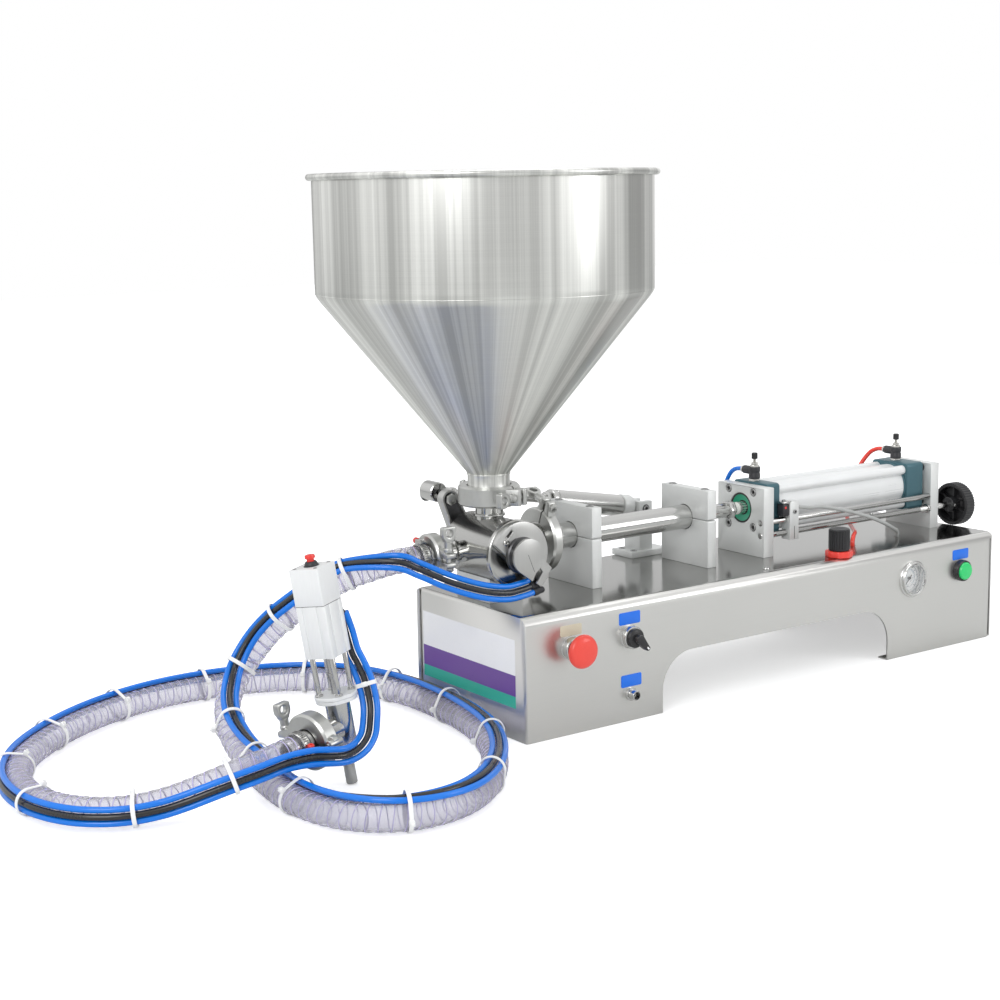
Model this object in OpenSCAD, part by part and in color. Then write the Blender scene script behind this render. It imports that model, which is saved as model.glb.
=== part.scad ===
// Tabletop piston filling machine for paste and cream, with a hand gun.
// X runs along the machine (hopper on the left), -Y is the control side, Z is up.
// The origin is on the table under the middle of the machine.

/* [Base] */
// Length of the base housing
base_l = 800; // [760:5:840]
// Depth of the base housing
base_w = 229; // [222:1:240]
// Height of the base housing
base_h = 147; // [140:1:160]
// Thickness of the housing sheet
sheet = 2; // [1.5:0.1:3]
// Bend radius of the top edges and of the right corners
bend_r = 13; // [8:1:18]
// Width of the arch cut in the front and the rear
arch_w = 389; // [340:1:400]
// Height of the arch
arch_h = 72; // [60:1:80]
// Corner radius of the arch
arch_r = 46; // [20:1:50]
// Width of the foot flange turned inwards
foot_w = 16; // [10:1:25]
// X of the left end of the base
base_x0 = -326; // [-335:1:-320]
// Y of the middle of the base
base_y = -3.5; // [-6:0.5:0]

/* [Hopper] */
// X of the hopper and valve axis
hopper_x = -290; // [-295:1:-285]
// Outer diameter of the hopper drum
hopper_d = 392; // [360:2:400]
// Thickness of the hopper wall
hopper_t = 2; // [1.5:0.1:3]
// Diameter of the wire rolled into the rim
rim_d = 7.5; // [5:0.5:9]
// Height of the rim above the table
hopper_top = 646.5; // [620:0.5:670]
// Height of the drum
drum_h = 130; // [100:1:150]
// Height of the cone
cone_h = 211; // [200:1:240]
// Outer diameter of the hopper neck
neck_d = 50; // [44:1:54]

/* [Filling line] */
// Height of the line axis above the table
line_z = 208; // [205:0.5:212]
// Outer diameter of the material cylinder
tube_d = 31; // [30:0.5:34]
// Bore of the material cylinder
bore_d = 26; // [25.5:0.1:27]
// Reach from the valve axis to the cylinder joint
port_reach = 74; // [70:1:78]
// Reach from the valve axis to the hose joint
outlet_reach = 82; // [78:1:86]
// Width of the saddle blocks across the line
saddle_w = 90; // [80:1:96]
// Thickness of a saddle block
saddle_t = 15; // [12:0.5:18]
// Height of the saddle tops above the table
saddle_top = 246; // [240:1:250]
// X of the left saddle block
saddle_x1 = -171.5; // [-176:0.5:-168]
// X of the right saddle block
saddle_x2 = 13.5; // [8:0.5:18]
// Diameter of the piston rod
rod_d = 19; // [16:0.5:20]
// Clearance between a piston and its bore, each side
piston_gap = 0.2; // [0.1:0.05:0.3]
// Stroke of the piston
stroke = 190; // [150:5:195]

/* [Valve] */
// Diameter of the valve body
valve_d = 76; // [72:1:78]
// Length of the valve body
valve_l = 90; // [84:1:94]
// Y of the front face of the valve body
valve_y = -48.5; // [-50:0.5:-46]
// Diameter of the plug inside the valve
plug_d = 43; // [40:1:46]
// Diameter of the front flange
flange_d = 80; // [76:1:84]
// Distance of the cover's cut edge from the axis
cover_cut = 12; // [10:0.5:16]
// Diameter of the cover boss
boss_d = 42; // [38:1:44]
// Length of the crank between its centres
crank_l = 59; // [57:0.5:61]
// Lean of the crank at rest, in degrees
crank_lean = 24; // [22:0.5:26]
// Turn of the valve plug, in degrees
valve_turn = 50; // [40:1:52]
// Diameter of the crank pin
pin_d = 8; // [7:0.5:9]

/* [Valve actuator] */
// X of the rear pivot
pivot_x = 7; // [4:1:10]
// Y of the actuator axis
pivot_y = 84.5; // [82:0.5:88]
// Height of the rear pivot above the table
pivot_z = 209.8; // [207:0.1:213]
// Diameter of the actuator barrel
act_d = 28; // [26:0.5:30]
// Length of the actuator barrel
act_l = 114; // [110:1:118]
// Diameter of the actuator rod
act_rod_d = 9; // [8:0.5:10]
// Diameter of the rod-end boss
rod_end_d = 24; // [23:0.5:26]

/* [Air cylinder] */
// X of the front end plate
plate_x1 = 111; // [108:0.5:114]
// Thickness of the front end plate
plate_t1 = 18; // [16:0.5:19]
// X of the rear end plate
plate_x2 = 431; // [428:0.5:434]
// Thickness of the rear end plate
plate_t2 = 16; // [14:0.5:18]
// Width of the end plates
plate_w = 88; // [84:1:92]
// Height of the end plate tops above the table
plate_top = 238; // [236:0.5:242]
// Side of the square cylinder heads
head_w = 65; // [62:0.5:66]
// Length of the front head
head_l1 = 21; // [19:0.5:24]
// Length of the rear head
head_l2 = 32; // [28:0.5:34]
// Spacing of the tie screws
tie_s = 46.5; // [44:0.5:47]
// Outer diameter of the barrel tube
barrel_d = 58; // [56:0.5:59]
// Bore of the air cylinder
air_bore = 50; // [48:0.5:51]
// Diameter of the air piston rod
air_rod_d = 16; // [14:0.5:16]

/* [Stroke setting] */
// Y of the guide rod and of the screw
rods_y = -37; // [-38:0.5:-36.5]
// Height of the guide rod above the table
guide_z = 192; // [190:0.5:194]
// Height of the setting screw above the table
screw_z = 175; // [173:0.5:177]
// Diameter of the guide rod and of the screw
rods_d = 8; // [6:0.5:9]
// Travel of the sensor carriage
carriage_travel = 150; // [100:5:190]
// Diameter of the handwheel
wheel_d = 60; // [50:1:64]
// Width of the handwheel
wheel_w = 16; // [12:1:18]
// X of the open face of the handwheel
wheel_x = 478; // [474:1:482]

/* [Controls] */
// Diameter of the stop button head
stop_d = 40; // [36:1:42]
// X of the stop button
stop_x = -262; // [-266:1:-258]
// Height of the stop button above the table
stop_z = 104; // [98:1:110]
// X of the mode selector
select_x = -174; // [-178:1:-170]
// Height of the mode selector above the table
select_z = 103; // [98:1:106]
// X of the pedal socket
pedal_x = -173; // [-177:1:-169]
// Height of the pedal socket above the table
pedal_z = 33; // [30:1:36]
// X of the power button
power_x = 406; // [402:1:410]
// Height of the power button above the table
power_z = 103; // [98:1:108]
// X of the pressure gauge
gauge_x = 312; // [306:1:318]
// Height of the pressure gauge above the table
gauge_z = 104; // [98:1:106]
// Diameter of the gauge flange
gauge_d = 50; // [46:1:52]
// X of the regulator
regulator_x = 195; // [190:1:200]
// Y of the regulator
regulator_y = -96.5; // [-98:0.5:-95]
// Diameter of the panel holes for the buttons
panel_hole = 22.3; // [20:0.1:23]

/* [Hand gun] */
// Side of the square gun blocks
gun_w = 36; // [34:1:38]
// Lean of the gun, in degrees
gun_lean = 8.4; // [8:0.1:9]
// Outer diameter of the nozzle
nozzle_d = 12.4; // [11:0.2:14]
// Height of the gun inlet along the gun
inlet_w = 63; // [62:0.5:64]
// Outer diameter of the hose
hose_d = 30; // [28:0.5:31]
// Bore of the hose
hose_bore = 25; // [24:0.5:25.5]
// Number of ribs on the hose
hose_ribs = 188; // [100:1:200]
// Outer diameter of the air tubes on the hose
air_d = 6.8; // [6:0.1:7]

/* [Hidden] */
$fn = 64;
eps = 0.01;
fit = 0.2;

// Base
base_x1 = base_x0 + base_l;
base_front = base_y - base_w / 2;
base_back = base_y + base_w / 2;
arch_x = base_x0 + base_l / 2 - 2.5;
left_r = 3;
panel_t = sheet;

// Line
joint_x = hopper_x + port_reach;
outlet_x = hopper_x - outlet_reach;
gasket_t = 1.6;
ferrule_t = 3.2;
ferrule_d = 64;
cylinder_end = saddle_x2 + saddle_t;
saddle_split = line_z;
neck_joint_z = line_z + 64;
port_d = 33;
small_ferrule_d = 44;
clamp_w = 20;
piston_x = cylinder_end - 20;
piston_l = 22;
nut_x = plate_x1 - 26;
nut_af = 21;
nut_l = 10;
shaft_end = nut_x;

// Valve
valve_y1 = valve_y + valve_l;
flange_t = 6;
cover_y = valve_y - flange_t;
cover_t = 8;
boss_y = cover_y - cover_t - 16;
crank_y = valve_y1 + 5;
crank_t = 12;
plug_stub_d = 20;
crank_px = hopper_x - crank_l * sin(crank_lean);
crank_pz = line_z + crank_l * cos(crank_lean);
act_a = asin((crank_l / 2 * (1 + cos(crank_lean + 10)) + line_z - pivot_z)
    / (pivot_x - hopper_x));
pin_rise = crank_l * (1 - cos(crank_lean + act_a));
act_len = (pivot_x - crank_px) * cos(act_a) + (crank_pz - pivot_z) * sin(act_a) + 0.5;
act_cap = 18;
act_tail = 17;
act_front = act_tail + act_cap + act_l;
eye_l = 26;

// Air cylinder
head_x1 = plate_x1 + plate_t1;
barrel_x1 = head_x1 + head_l1;
head_x2 = plate_x2 - 7 - head_l2;
lobe_d = 13;
air_piston_x = head_x2 - 34;
air_piston_l = 24;
seal_d = 40;
carriage_x = barrel_x1 + 5;
carriage_t = 16;
carriage_w = 16;
carriage_z0 = 166;
carriage_z1 = 216;
ctrl_x1 = head_x1 + head_l1 / 2 - 4;
ctrl_x2 = head_x2 + 12;
ctrl_z = line_z + head_w / 2;

// Controls
neck_gap = 0.15;
panel_y = base_front;

// Gun
gun_x = -552.5;
gun_y = -110.2;
gun_lift = 1.2;
gun_yaw = -62.2;
inlet_turn = -13;
lean_axis = [-0.577, -0.817, 0];
flange_w = 93;
frame_t = 8;
cyl_w0 = 143.5;
cyl_w1 = 200.5;
gun_top = 241;
inlet_joint = 44;
hose_at = 58;
gun_travel = 10;
press_travel = 3;

// Cord routes, each point [x, y, z, angle of the tube bundle round the hose]
HOSE = [[-381, 0, 208, -20], [-403, 0, 208, -20], [-426, 2, 207, -20],
    [-450, 8, 202, -25], [-474, 22, 193, -30], [-498, 41, 176, -40],
    [-521, 62, 155, -45], [-541, 81, 132, -45], [-559, 93, 107, -40],
    [-577, 96, 84, -30], [-594, 88, 65, -20], [-608, 70, 50, -12],
    [-618, 46, 38, -10], [-625, 16, 28, -12], [-631, -18, 21, -20],
    [-638, -55, 17, -40], [-645, -95, 17, -55], [-650, -135, 17, -60],
    [-650, -175, 17, -50], [-642, -214, 17, -38], [-623, -248, 17, -22],
    [-594, -271, 17, -8], [-557, -280, 17, 0], [-516, -273, 17, 8],
    [-474, -248, 17, 12], [-434, -207, 17, 15], [-399, -156, 17, 15],
    [-373, -100, 17, 15], [-357, -38, 17, 15], [-350, 24, 17, 20],
    [-350, 84, 17, 25], [-359, 141, 17, 32], [-379, 191, 17, 40],
    [-412, 231, 17, 45], [-460, 261, 17, 50], [-520, 279, 17, 50],
    [-590, 280, 17, 50], [-655, 264, 17, 52], [-717, 234, 17, 58],
    [-774, 192, 17, 65], [-820, 142, 17, 72], [-849, 86, 17, 78],
    [-860, 28, 17, 80], [-853, -25, 17, 84], [-829, -64, 17, 88],
    [-793, -87, 18, 90], [-755, -103, 25, 92], [-720, -120, 38, 94],
    [-690, -130, 48, 95], [-664, -132, 53, 95], [-640, -126.5, 55.7, 95], [-616, -120, 58, 95]];
// Lead-in of the air tubes, from the cover arm to the hose
LEAD_IN = [[-280, -70, 171], [-296, -71, 169], [-315, -71, 168], [-339, -69, 172],
    [-362, -62, 179], [-388, -51, 190], [-412, -38, 203], [-440, -29, 215]];
// Lead-out of the air tubes, from the hose end round the clamp and up the gun
LEAD_OUT = [[-624, -152, 54], [-606, -158, 53], [-590, -159, 51], [-574, -154, 51],
    [-559, -146, 54], [-547, -138, 61], [-539, -129, 72], [-534, -122, 85],
    [-533, -116, 100], [-534, -110, 115], [-537, -103, 129], [-541, -98, 142]];
// Last legs of the three air tubes on the gun, in the gun's own frame
GUN_ENDS = [[[5, 22, 158]], [[9, 26, 168], [9, 24, 190], [9, 22, 208]],
    [[17, 28, 162], [17, 22, 184]]];
// Front and rear air tubes of the air cylinder, and the sensor cable
TUBE_FRONT = [[135.5, 14, 254.5], [135.5, 26, 254.5], [135.4, 37, 252.5], [135, 46, 246],
    [134, 53, 232], [134, 57, 210], [135, 58, 185], [137, 58, 165], [138, 58, 150], [138, 58, 142]];
TUBE_REAR = [[404, 14, 254.5], [404, 26, 254.5], [403.4, 36, 253], [399, 45, 247], [390, 53, 230],
    [377, 55, 205], [362, 50, 182], [345, 35, 166], [325, 10, 160],
    [303, -17, 159], [281, -42, 160], [266, -54, 159], [259, -59, 153], [258, -60, 142]];
CABLE = [[186, -52, 206], [200, -55, 206], [222, -60, 202], [252, -64, 194],
    [285, -67, 183], [312, -66, 172], [336, -61, 161], [349, -55.5, 155], [352, -53, 149], [352, -52.6, 143]];
hose_r = hose_d / 2;
cord_gap = 0.9;
bundle_r = hose_r + air_d / 2 + cord_gap;
bundle_a = 22;
lead_in_n = [-0.3, -0.9, 0.35];
lead_out_n = [-0.65, -0.76, 0];

// Cord helpers
function spline(p, q, r, s, t) = 0.5 * (2 * q + (r - p) * t + (2 * p - 5 * q + 4 * r - s) * t * t
    + (3 * q - 3 * r + s - p) * t * t * t);
function ext(P) = concat([2 * P[0] - P[1]], P, [2 * P[len(P) - 1] - P[len(P) - 2]]);
function fine(P, n) = let (Q = ext(P)) concat([for (i = [1:len(Q) - 3], k = [0:n - 1])
    spline(Q[i - 1], Q[i], Q[i + 1], Q[i + 2], k / n)], [P[len(P) - 1]]);
function xyz(p) = [p[0], p[1], p[2]];
function lengths(F) = [for (i = 0, s = 0; i < len(F);
    s = s + (i + 1 < len(F) ? norm(xyz(F[i + 1]) - xyz(F[i])) : 0), i = i + 1) s];
function track(F) = let (L = lengths(F)) [for (c = [0:len(F[0]) - 1])
    [for (i = [0:len(F) - 1]) [L[i], F[i][c]]]];
function total(T) = T[0][len(T[0]) - 1][0];
function at(T, s) = [for (c = [0:len(T) - 1]) lookup(s, T[c])];
function unit(v) = v / norm(v);
function heading(T, s) = unit(xyz(at(T, min(s + 2, total(T)))) - xyz(at(T, max(s - 2, 0))));
function side(t) = unit(cross(t, [0, 0, 1]));
function up(t) = cross(side(t), t);
function around(c, t, r, n, a) = [for (k = [0:n - 1])
    c + r * (cos(a + 360 * k / n) * side(t) + sin(a + 360 * k / n) * up(t))];
function band(i, n) = [for (k = [0:n - 1]) let (a = i * n + k, b = i * n + (k + 1) % n)
    each [[a, a + n, b], [b, a + n, b + n]]];
function fan(o, n, flip) = [for (k = [1:n - 2]) flip ? [o, o + k + 1, o + k] : [o, o + k, o + k + 1]];

// Plain round cord along a list of points
module cord(P, d, rings, n = 8) {
    T = track(fine(P, 8));
    L = total(T);
    pts = [for (i = [0:rings - 1]) let (s = L * i / (rings - 1))
        each around(xyz(at(T, s)), heading(T, s), d / 2, n, 180 / n)];
    polyhedron(pts, concat([for (i = [0:rings - 2]) each band(i, n)],
        fan(0, n, false), fan((rings - 1) * n, n, true)));
}

// Two tangent discs joined by a straight-sided bar, in the XY plane, centres on X
module bar2(r1, r2, l) {
    a = acos((r1 - r2) / l);
    circle(r1);
    translate([l, 0]) circle(r2);
    polygon([[r1 * cos(a), r1 * sin(a)], [l + r2 * cos(a), r2 * sin(a)],
        [l + r2 * cos(a), -r2 * sin(a)], [r1 * cos(a), -r1 * sin(a)]]);
}

module along_x(x0, x1, d, y = 0, z = line_z) {
    translate([x0, y, z]) rotate([0, 90, 0]) cylinder(h = x1 - x0, d = d);
}

module along_y(y0, y1, d, x = 0, z = 0) {
    translate([x, y0, z]) rotate([-90, 0, 0]) cylinder(h = y1 - y0, d = d);
}

module hex(af, h) {
    cylinder(h = h, d = af / cos(30), $fn = 6);
}

module block(x0, x1, y0, y1, z0, z1) {
    translate([x0, y0, z0]) cube([x1 - x0, y1 - y0, z1 - z0]);
}

// Round-cornered square extruded up, centred on Z
module post_square(w, r, h) {
    linear_extrude(h) square2(w, r);
}

module square2(w, r) {
    square([w, w - 2 * r], center = true);
    square([w - 2 * r, w], center = true);
    for (x = [-1, 1], y = [-1, 1]) translate([x * (w / 2 - r), y * (w / 2 - r)]) circle(r);
}

// Base
module base_outer(o) {
    r = max(bend_r - o, 1);
    rl = max(left_r - o, 0.8);
    intersection() {
        translate([base_x0 + o, 0, 0]) rotate([90, 0, 90]) linear_extrude(base_l - 2 * o) {
            translate([base_front + o, 0 - o]) square([base_w - 2 * o, base_h - r]);
            translate([base_front + o + r, 0 - o]) square([base_w - 2 * o - 2 * r, base_h]);
            for (y = [base_front + o + r, base_back - o - r])
                translate([y, base_h - o - r]) circle(r);
        }
        translate([0, 0, -5]) linear_extrude(base_h + 5) {
            translate([base_x0 + o + rl, base_front + o])
                square([base_l - 2 * o - rl - r, base_w - 2 * o]);
            translate([base_x0 + o, base_front + o + rl])
                square([base_l - 2 * o, base_w - 2 * o - rl - r]);
            translate([base_x1 - o - r - eps, base_front + o + r])
                square([r + eps, base_w - 2 * o - 2 * r]);
            for (y = [base_front + o + rl, base_back - o - rl])
                translate([base_x0 + o + rl, y]) circle(rl);
            for (y = [base_front + o + r, base_back - o - r])
                translate([base_x1 - o - r, y]) circle(r);
        }
    }
}

module arch_cut() {
    y0 = base_front - 5;
    y1 = base_back + 5;
    block(arch_x - arch_w / 2, arch_x + arch_w / 2, y0, y1, -5, arch_h - arch_r);
    block(arch_x - arch_w / 2 + arch_r, arch_x + arch_w / 2 - arch_r, y0, y1, -5, arch_h);
    for (s = [-1, 1])
        along_y(y0, y1, 2 * arch_r, arch_x + s * (arch_w / 2 - arch_r), arch_h - arch_r);
}

module panel_bore(x, z, d) {
    along_y(base_front - 1, base_front + sheet + 1, d, x, z);
}

module base_housing() {
    color([0.78, 0.79, 0.77]) difference() {
        base_outer(0);
        difference() {
            base_outer(sheet);
            difference() {
                translate([base_x0, base_front, 0]) cube([base_l, base_w, sheet]);
                translate([base_x0 + foot_w, base_front + foot_w, -1])
                    cube([base_l - 2 * foot_w, base_w - 2 * foot_w, sheet + 2]);
            }
        }
        translate([base_x0 - 1, base_front - 1, -6]) cube([base_l + 2, base_w + 2, 6]);
        arch_cut();
        panel_bore(stop_x, stop_z, panel_hole);
        panel_bore(select_x, select_z, panel_hole);
        panel_bore(power_x, power_z, panel_hole);
        panel_bore(pedal_x, pedal_z, pedal_neck + 2 * neck_gap);
        panel_bore(gauge_x, gauge_z, gauge_body + 2 * neck_gap);
        top_bore(regulator_x, regulator_y, reg_neck + 2 * neck_gap);
        for (p = [TUBE_FRONT, TUBE_REAR])
            top_bore(p[len(p) - 1][0], p[len(p) - 1][1], 9);
        top_bore(CABLE[len(CABLE) - 1][0], CABLE[len(CABLE) - 1][1], 8);
    }
}

module top_bore(x, y, d) {
    translate([x, y, base_h - sheet - 1]) cylinder(h = sheet + 2, d = d);
}

// Blank name plate on the left end and four blank tags on the front
label_t = 0.4;
module tag(x, z, w, h) {
    block(x - w / 2, x + w / 2, panel_y - label_t, panel_y, z - h / 2, z + h / 2);
}

module labels() {
    color("white") block(base_x0 - label_t, base_x0, base_y - 94, base_y + 98, 38, 119);
    color([0.85, 0.83, 0.72]) tag(stop_x + 1, stop_z + 20.5, 31, 13);
    color([0.05, 0.4, 0.85]) {
        tag(select_x, select_z + 22.5, 32, 15);
        tag(pedal_x + 1, pedal_z + 16.5, 31, 15);
        tag(power_x + 1, power_z + 22, 31.5, 14);
    }
}

// Hopper
neck_top = hopper_top - rim_d - drum_h - cone_h;
module hopper() {
    R = hopper_d / 2;
    r = neck_d / 2;
    z0 = neck_joint_z + gasket_t / 2;
    zc = hopper_top - rim_d - drum_h;
    zn = zc - cone_h;
    t = hopper_t;
    color([0.75, 0.76, 0.74]) translate([hopper_x, 0, 0]) rotate_extrude() {
        difference() {
            polygon([[r - t, z0], [ferrule_d / 2, z0], [ferrule_d / 2, z0 + ferrule_t],
                [r, z0 + ferrule_t], [r, zn], [R, zc], [R, hopper_top - rim_d / 2],
                [R - t, hopper_top - rim_d / 2], [R - t, zc + t * 0.6], [r - t, zn + t * 0.6]]);
        }
        translate([R + rim_d / 2 - t / 2, hopper_top - rim_d / 2]) circle(d = rim_d);
    }
}

module ring_x(x0, x1, d0, d1) {
    translate([x0, 0, line_z]) rotate([0, 90, 0]) difference() {
        cylinder(h = x1 - x0, d = d1);
        translate([0, 0, -1]) cylinder(h = x1 - x0 + 2, d = d0);
    }
}

module ferrule_gaskets() {
    color([0.93, 0.93, 0.9]) {
        translate([hopper_x, 0, neck_joint_z - gasket_t / 2]) difference() {
            cylinder(h = gasket_t, d = ferrule_d - 6);
            translate([0, 0, -1]) cylinder(h = gasket_t + 2, d = port_d - 7);
        }
        ring_x(joint_x - gasket_t / 2, joint_x + gasket_t / 2, bore_d, ferrule_d - 6);
        ring_x(outlet_x - gasket_t / 2, outlet_x + gasket_t / 2, outlet_bore, small_ferrule_d - 4);
    }
}

// Ferrule clamp: axis on Z, closure towards -Y, its nut on -X
ear_t = 7;
bolt_d = 6;
module clamp(fd, lip_d, rd, w) {
    r = rd / 2;
    ec = r + 8;
    fw = 2 * ferrule_t + gasket_t + 0.8;
    difference() {
        union() {
            rotate_extrude() difference() {
                translate([lip_d / 2, -w / 2]) square([r - lip_d / 2, w]);
                translate([lip_d / 2 - 1, -fw / 2]) square([fd / 2 + 0.3 - lip_d / 2 + 1, fw]);
            }
            for (s = [-1, 1]) block(s > 0 ? 2 : -2 - ear_t, s > 0 ? 2 + ear_t : -2,
                -ec - 5, -r + 3, -w * 0.4, w * 0.4);
            translate([0, r + 2, -w / 2]) cylinder(h = w, d = 11);
        }
        block(-2, 2, -ec - 6, -lip_d / 2 + 1, -w, w);
        block(-0.5, 0.5, lip_d / 2 - 1, r + 9, -w, w);
        translate([-20, -ec, 0]) rotate([0, 90, 0]) cylinder(h = 40, d = bolt_d + 0.6);
        translate([0, r + 2, -w]) cylinder(h = 2 * w, d = 4.4);
    }
    translate([0, r + 2, -w / 2 - 1.5]) cylinder(h = w + 3, d = 4);
    translate([-28, -ec, 0]) rotate([0, 90, 0]) cylinder(h = 28 + 2 + ear_t + 4, d = bolt_d);
    translate([2 + ear_t, -ec, 0]) rotate([0, 90, 0]) hex_ring(10, 4, bolt_d);
}

module hex_ring(af, h, d) {
    cylinder(h = h, d = af / cos(30), $fn = 6);
}

// Eye nut of a clamp, on its bolt
eye_w = 18;
eye_h = 18;
module eye_nut(rd) {
    ec = rd / 2 + 8;
    translate([-2 - ear_t - fit, -ec, 0]) rotate([0, -90, 0]) difference() {
        union() {
            cylinder(h = 13, d = 10);
            translate([0, 0, 12]) rotate([90, 0, 0]) translate([0, 0, -4]) linear_extrude(8) {
                polygon([[-5, 0], [5, 0], [eye_w / 2, 7], [eye_w / 2, eye_h],
                    [-eye_w / 2, eye_h], [-eye_w / 2, 7]]);
            }
        }
        translate([0, 0, -1]) cylinder(h = 21, d = bolt_d + 0.3);
        translate([0, 0, 12 + 10.5]) rotate([90, 0, 0]) cylinder(h = 20, d = 9, center = true);
    }
}

clamp_od = 73;
clamp_od_x = 79;
clamp_od_s = 53;
module at_hopper_clamp() {
    translate([hopper_x, 0, neck_joint_z]) rotate([0, 0, 17]) children();
}

module at_cylinder_clamp() {
    translate([joint_x, 0, line_z]) rotate([-70, 0, 0]) rotate([0, 90, 0]) children();
}

module at_outlet_clamp() {
    translate([outlet_x, 0, line_z]) rotate([0, 90, 0]) children();
}

module ferrule_clamps() {
    color([0.8, 0.81, 0.8]) {
        at_hopper_clamp() clamp(ferrule_d, neck_d + 3, clamp_od, 24);
        at_cylinder_clamp() clamp(ferrule_d, tube_d + 12, clamp_od_x, 14);
        at_outlet_clamp() clamp(small_ferrule_d, 33, clamp_od_s, 16);
    }
}

module hopper_nut() {
    color([0.8, 0.81, 0.8]) at_hopper_clamp() eye_nut(clamp_od);
}

module cylinder_nut() {
    color([0.8, 0.81, 0.8]) at_cylinder_clamp() eye_nut(clamp_od_x);
}

module outlet_nut() {
    color([0.8, 0.81, 0.8]) at_outlet_clamp() eye_nut(clamp_od_s);
}

// Valve
outlet_bore = 19;
module valve_body() {
    color([0.74, 0.75, 0.74]) difference() {
        union() {
            along_y(valve_y, valve_y1, valve_d, hopper_x, line_z);
            along_y(cover_y, valve_y, flange_d, hopper_x, line_z);
            translate([hopper_x, 0, line_z]) cylinder(h = 64 - gasket_t / 2, d = port_d);
            translate([hopper_x, 0, neck_joint_z - gasket_t / 2 - ferrule_t])
                cylinder(h = ferrule_t, d = ferrule_d);
            along_x(hopper_x, joint_x - gasket_t / 2, 38);
            along_x(joint_x - gasket_t / 2 - ferrule_t, joint_x - gasket_t / 2, ferrule_d);
            along_x(outlet_x + gasket_t / 2, hopper_x, 25);
            along_x(outlet_x + gasket_t / 2, outlet_x + gasket_t / 2 + ferrule_t, small_ferrule_d);
            along_x(outlet_x + 28, outlet_x + 33, 30);
        }
        along_y(cover_y - 1, valve_y1 + 1, plug_d + 2 * fit, hopper_x, line_z);
        along_y(cover_y - 1, cover_y + 3, flange_d - 8, hopper_x, line_z);
        translate([hopper_x, 0, line_z]) cylinder(h = 80, d = port_d - 7);
        along_x(hopper_x, joint_x + 5, bore_d);
        along_x(outlet_x - 5, hopper_x, outlet_bore);
    }
}

module valve_cover() {
    arm_a = -48;
    plate_h = 3.4;
    tail = [[4.8, -29.2], [9.4, -20.6], [15.8, -15], [19.4, -20], [10.6, -32.6], [16.6, -37.6],
        [32.5, -17], [20.4, -5]];
    color([0.82, 0.83, 0.81]) difference() {
        union() {
            difference() {
                union() {
                    along_y(cover_y - cover_t, cover_y, flange_d - 1, hopper_x, line_z);
                    along_y(cover_y, cover_y + 3, flange_d - 8.5, hopper_x, line_z);
                }
                translate([hopper_x, cover_y - cover_t - 1, line_z]) rotate([0, -49, 0])
                    translate([-flange_d, 0, -flange_d]) cube([flange_d - cover_cut,
                        cover_t + 10, 2 * flange_d]);
                translate([hopper_x - 14, cover_y - cover_t - 1, line_z + 24])
                    rotate([-90, -45, 0]) linear_extrude(5) square([10, 3.2], center = true);
            }
            along_y(boss_y + 1, cover_y - cover_t + 1, boss_d - 1.6, hopper_x, line_z);
            translate([hopper_x, boss_y + plate_h, line_z]) rotate([90, 0, 0])
                linear_extrude(plate_h) {
                    circle(d = boss_d);
                    polygon([[0, 0], [-10.5, -18.2], each tail]);
                }
            translate([hopper_x + 22, boss_y + 14, line_z - 27]) rotate([90, 0, 0])
                rotate(arm_a - 90) translate([-7, -5, 0]) cube([14, 10, 12]);
        }
        along_y(valve_y - 20, valve_y, plug_stub_d + 2 * fit, hopper_x, line_z);
    }
    color([0.8, 0.81, 0.8]) {
        along_y(cover_y - cover_t - 2.6, cover_y - cover_t, 8, hopper_x - 21, line_z + 17);
        translate([hopper_x, boss_y + 8, line_z]) rotate([90, arm_a, 0])
            for (v = [-3.4, 3.4]) translate([37.5, v, 0]) rotate([0, 90, 0]) cylinder(h = 4, d = 4);
    }
}

module valve_stand() {
    color([0.9, 0.91, 0.9]) difference() {
        block(hopper_x - 22, hopper_x + 25, -29.5, 39.5, base_h, line_z - 14);
        along_y(-40, 50, valve_d + 2 * fit, hopper_x, line_z);
    }
}

// Plug with an elbow passage; its stub carries the crank
module valve_plug() {
    color([0.85, 0.86, 0.85]) difference() {
        union() {
            along_y(cover_y + 3.3, valve_y1 - 1, plug_d, hopper_x, line_z);
            along_y(cover_y - 9, cover_y + 4, plug_stub_d, hopper_x, line_z);
            along_y(valve_y1 - 2, crank_y + crank_t - 1, plug_stub_d, hopper_x, line_z);
        }
        translate([hopper_x, 0, line_z]) cylinder(h = 60, d = 20);
        along_x(hopper_x, hopper_x + 60, 20);
        translate([hopper_x, 0, line_z]) sphere(d = 20);
    }
}

module crank() {
    color([0.55, 0.56, 0.56]) {
        difference() {
            translate([hopper_x, crank_y + crank_t, line_z]) rotate([90, 0, 0])
                linear_extrude(crank_t) rotate(90 + crank_lean) bar2(15, 11.5, crank_l);
            along_y(crank_y - 1, crank_y + crank_t + 1, plug_stub_d + 0.1, hopper_x, line_z);
            along_y(crank_y - 1, crank_y + crank_t + 1, pin_d + 0.1, crank_px, crank_pz);
        }
        along_y(crank_y - 2, pivot_y + eye_l / 2 + 3.5, pin_d, crank_px, crank_pz);
        translate([crank_px, crank_y - 3.2, crank_pz]) rotate([-90, 0, 0]) hex(13, 3.2 - fit);
        along_y(pivot_y + eye_l / 2 + 0.5, pivot_y + eye_l / 2 + 2.5, 18, crank_px, crank_pz);
    }
}

// Actuator frame: origin at the rear pivot, X towards the crank
module at_actuator() {
    translate([pivot_x, pivot_y, pivot_z]) rotate([0, 180 + act_a, 0]) children();
}

module rod_x(x0, x1, d) {
    translate([x0, 0, 0]) rotate([0, 90, 0]) cylinder(h = x1 - x0, d = d);
}

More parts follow.
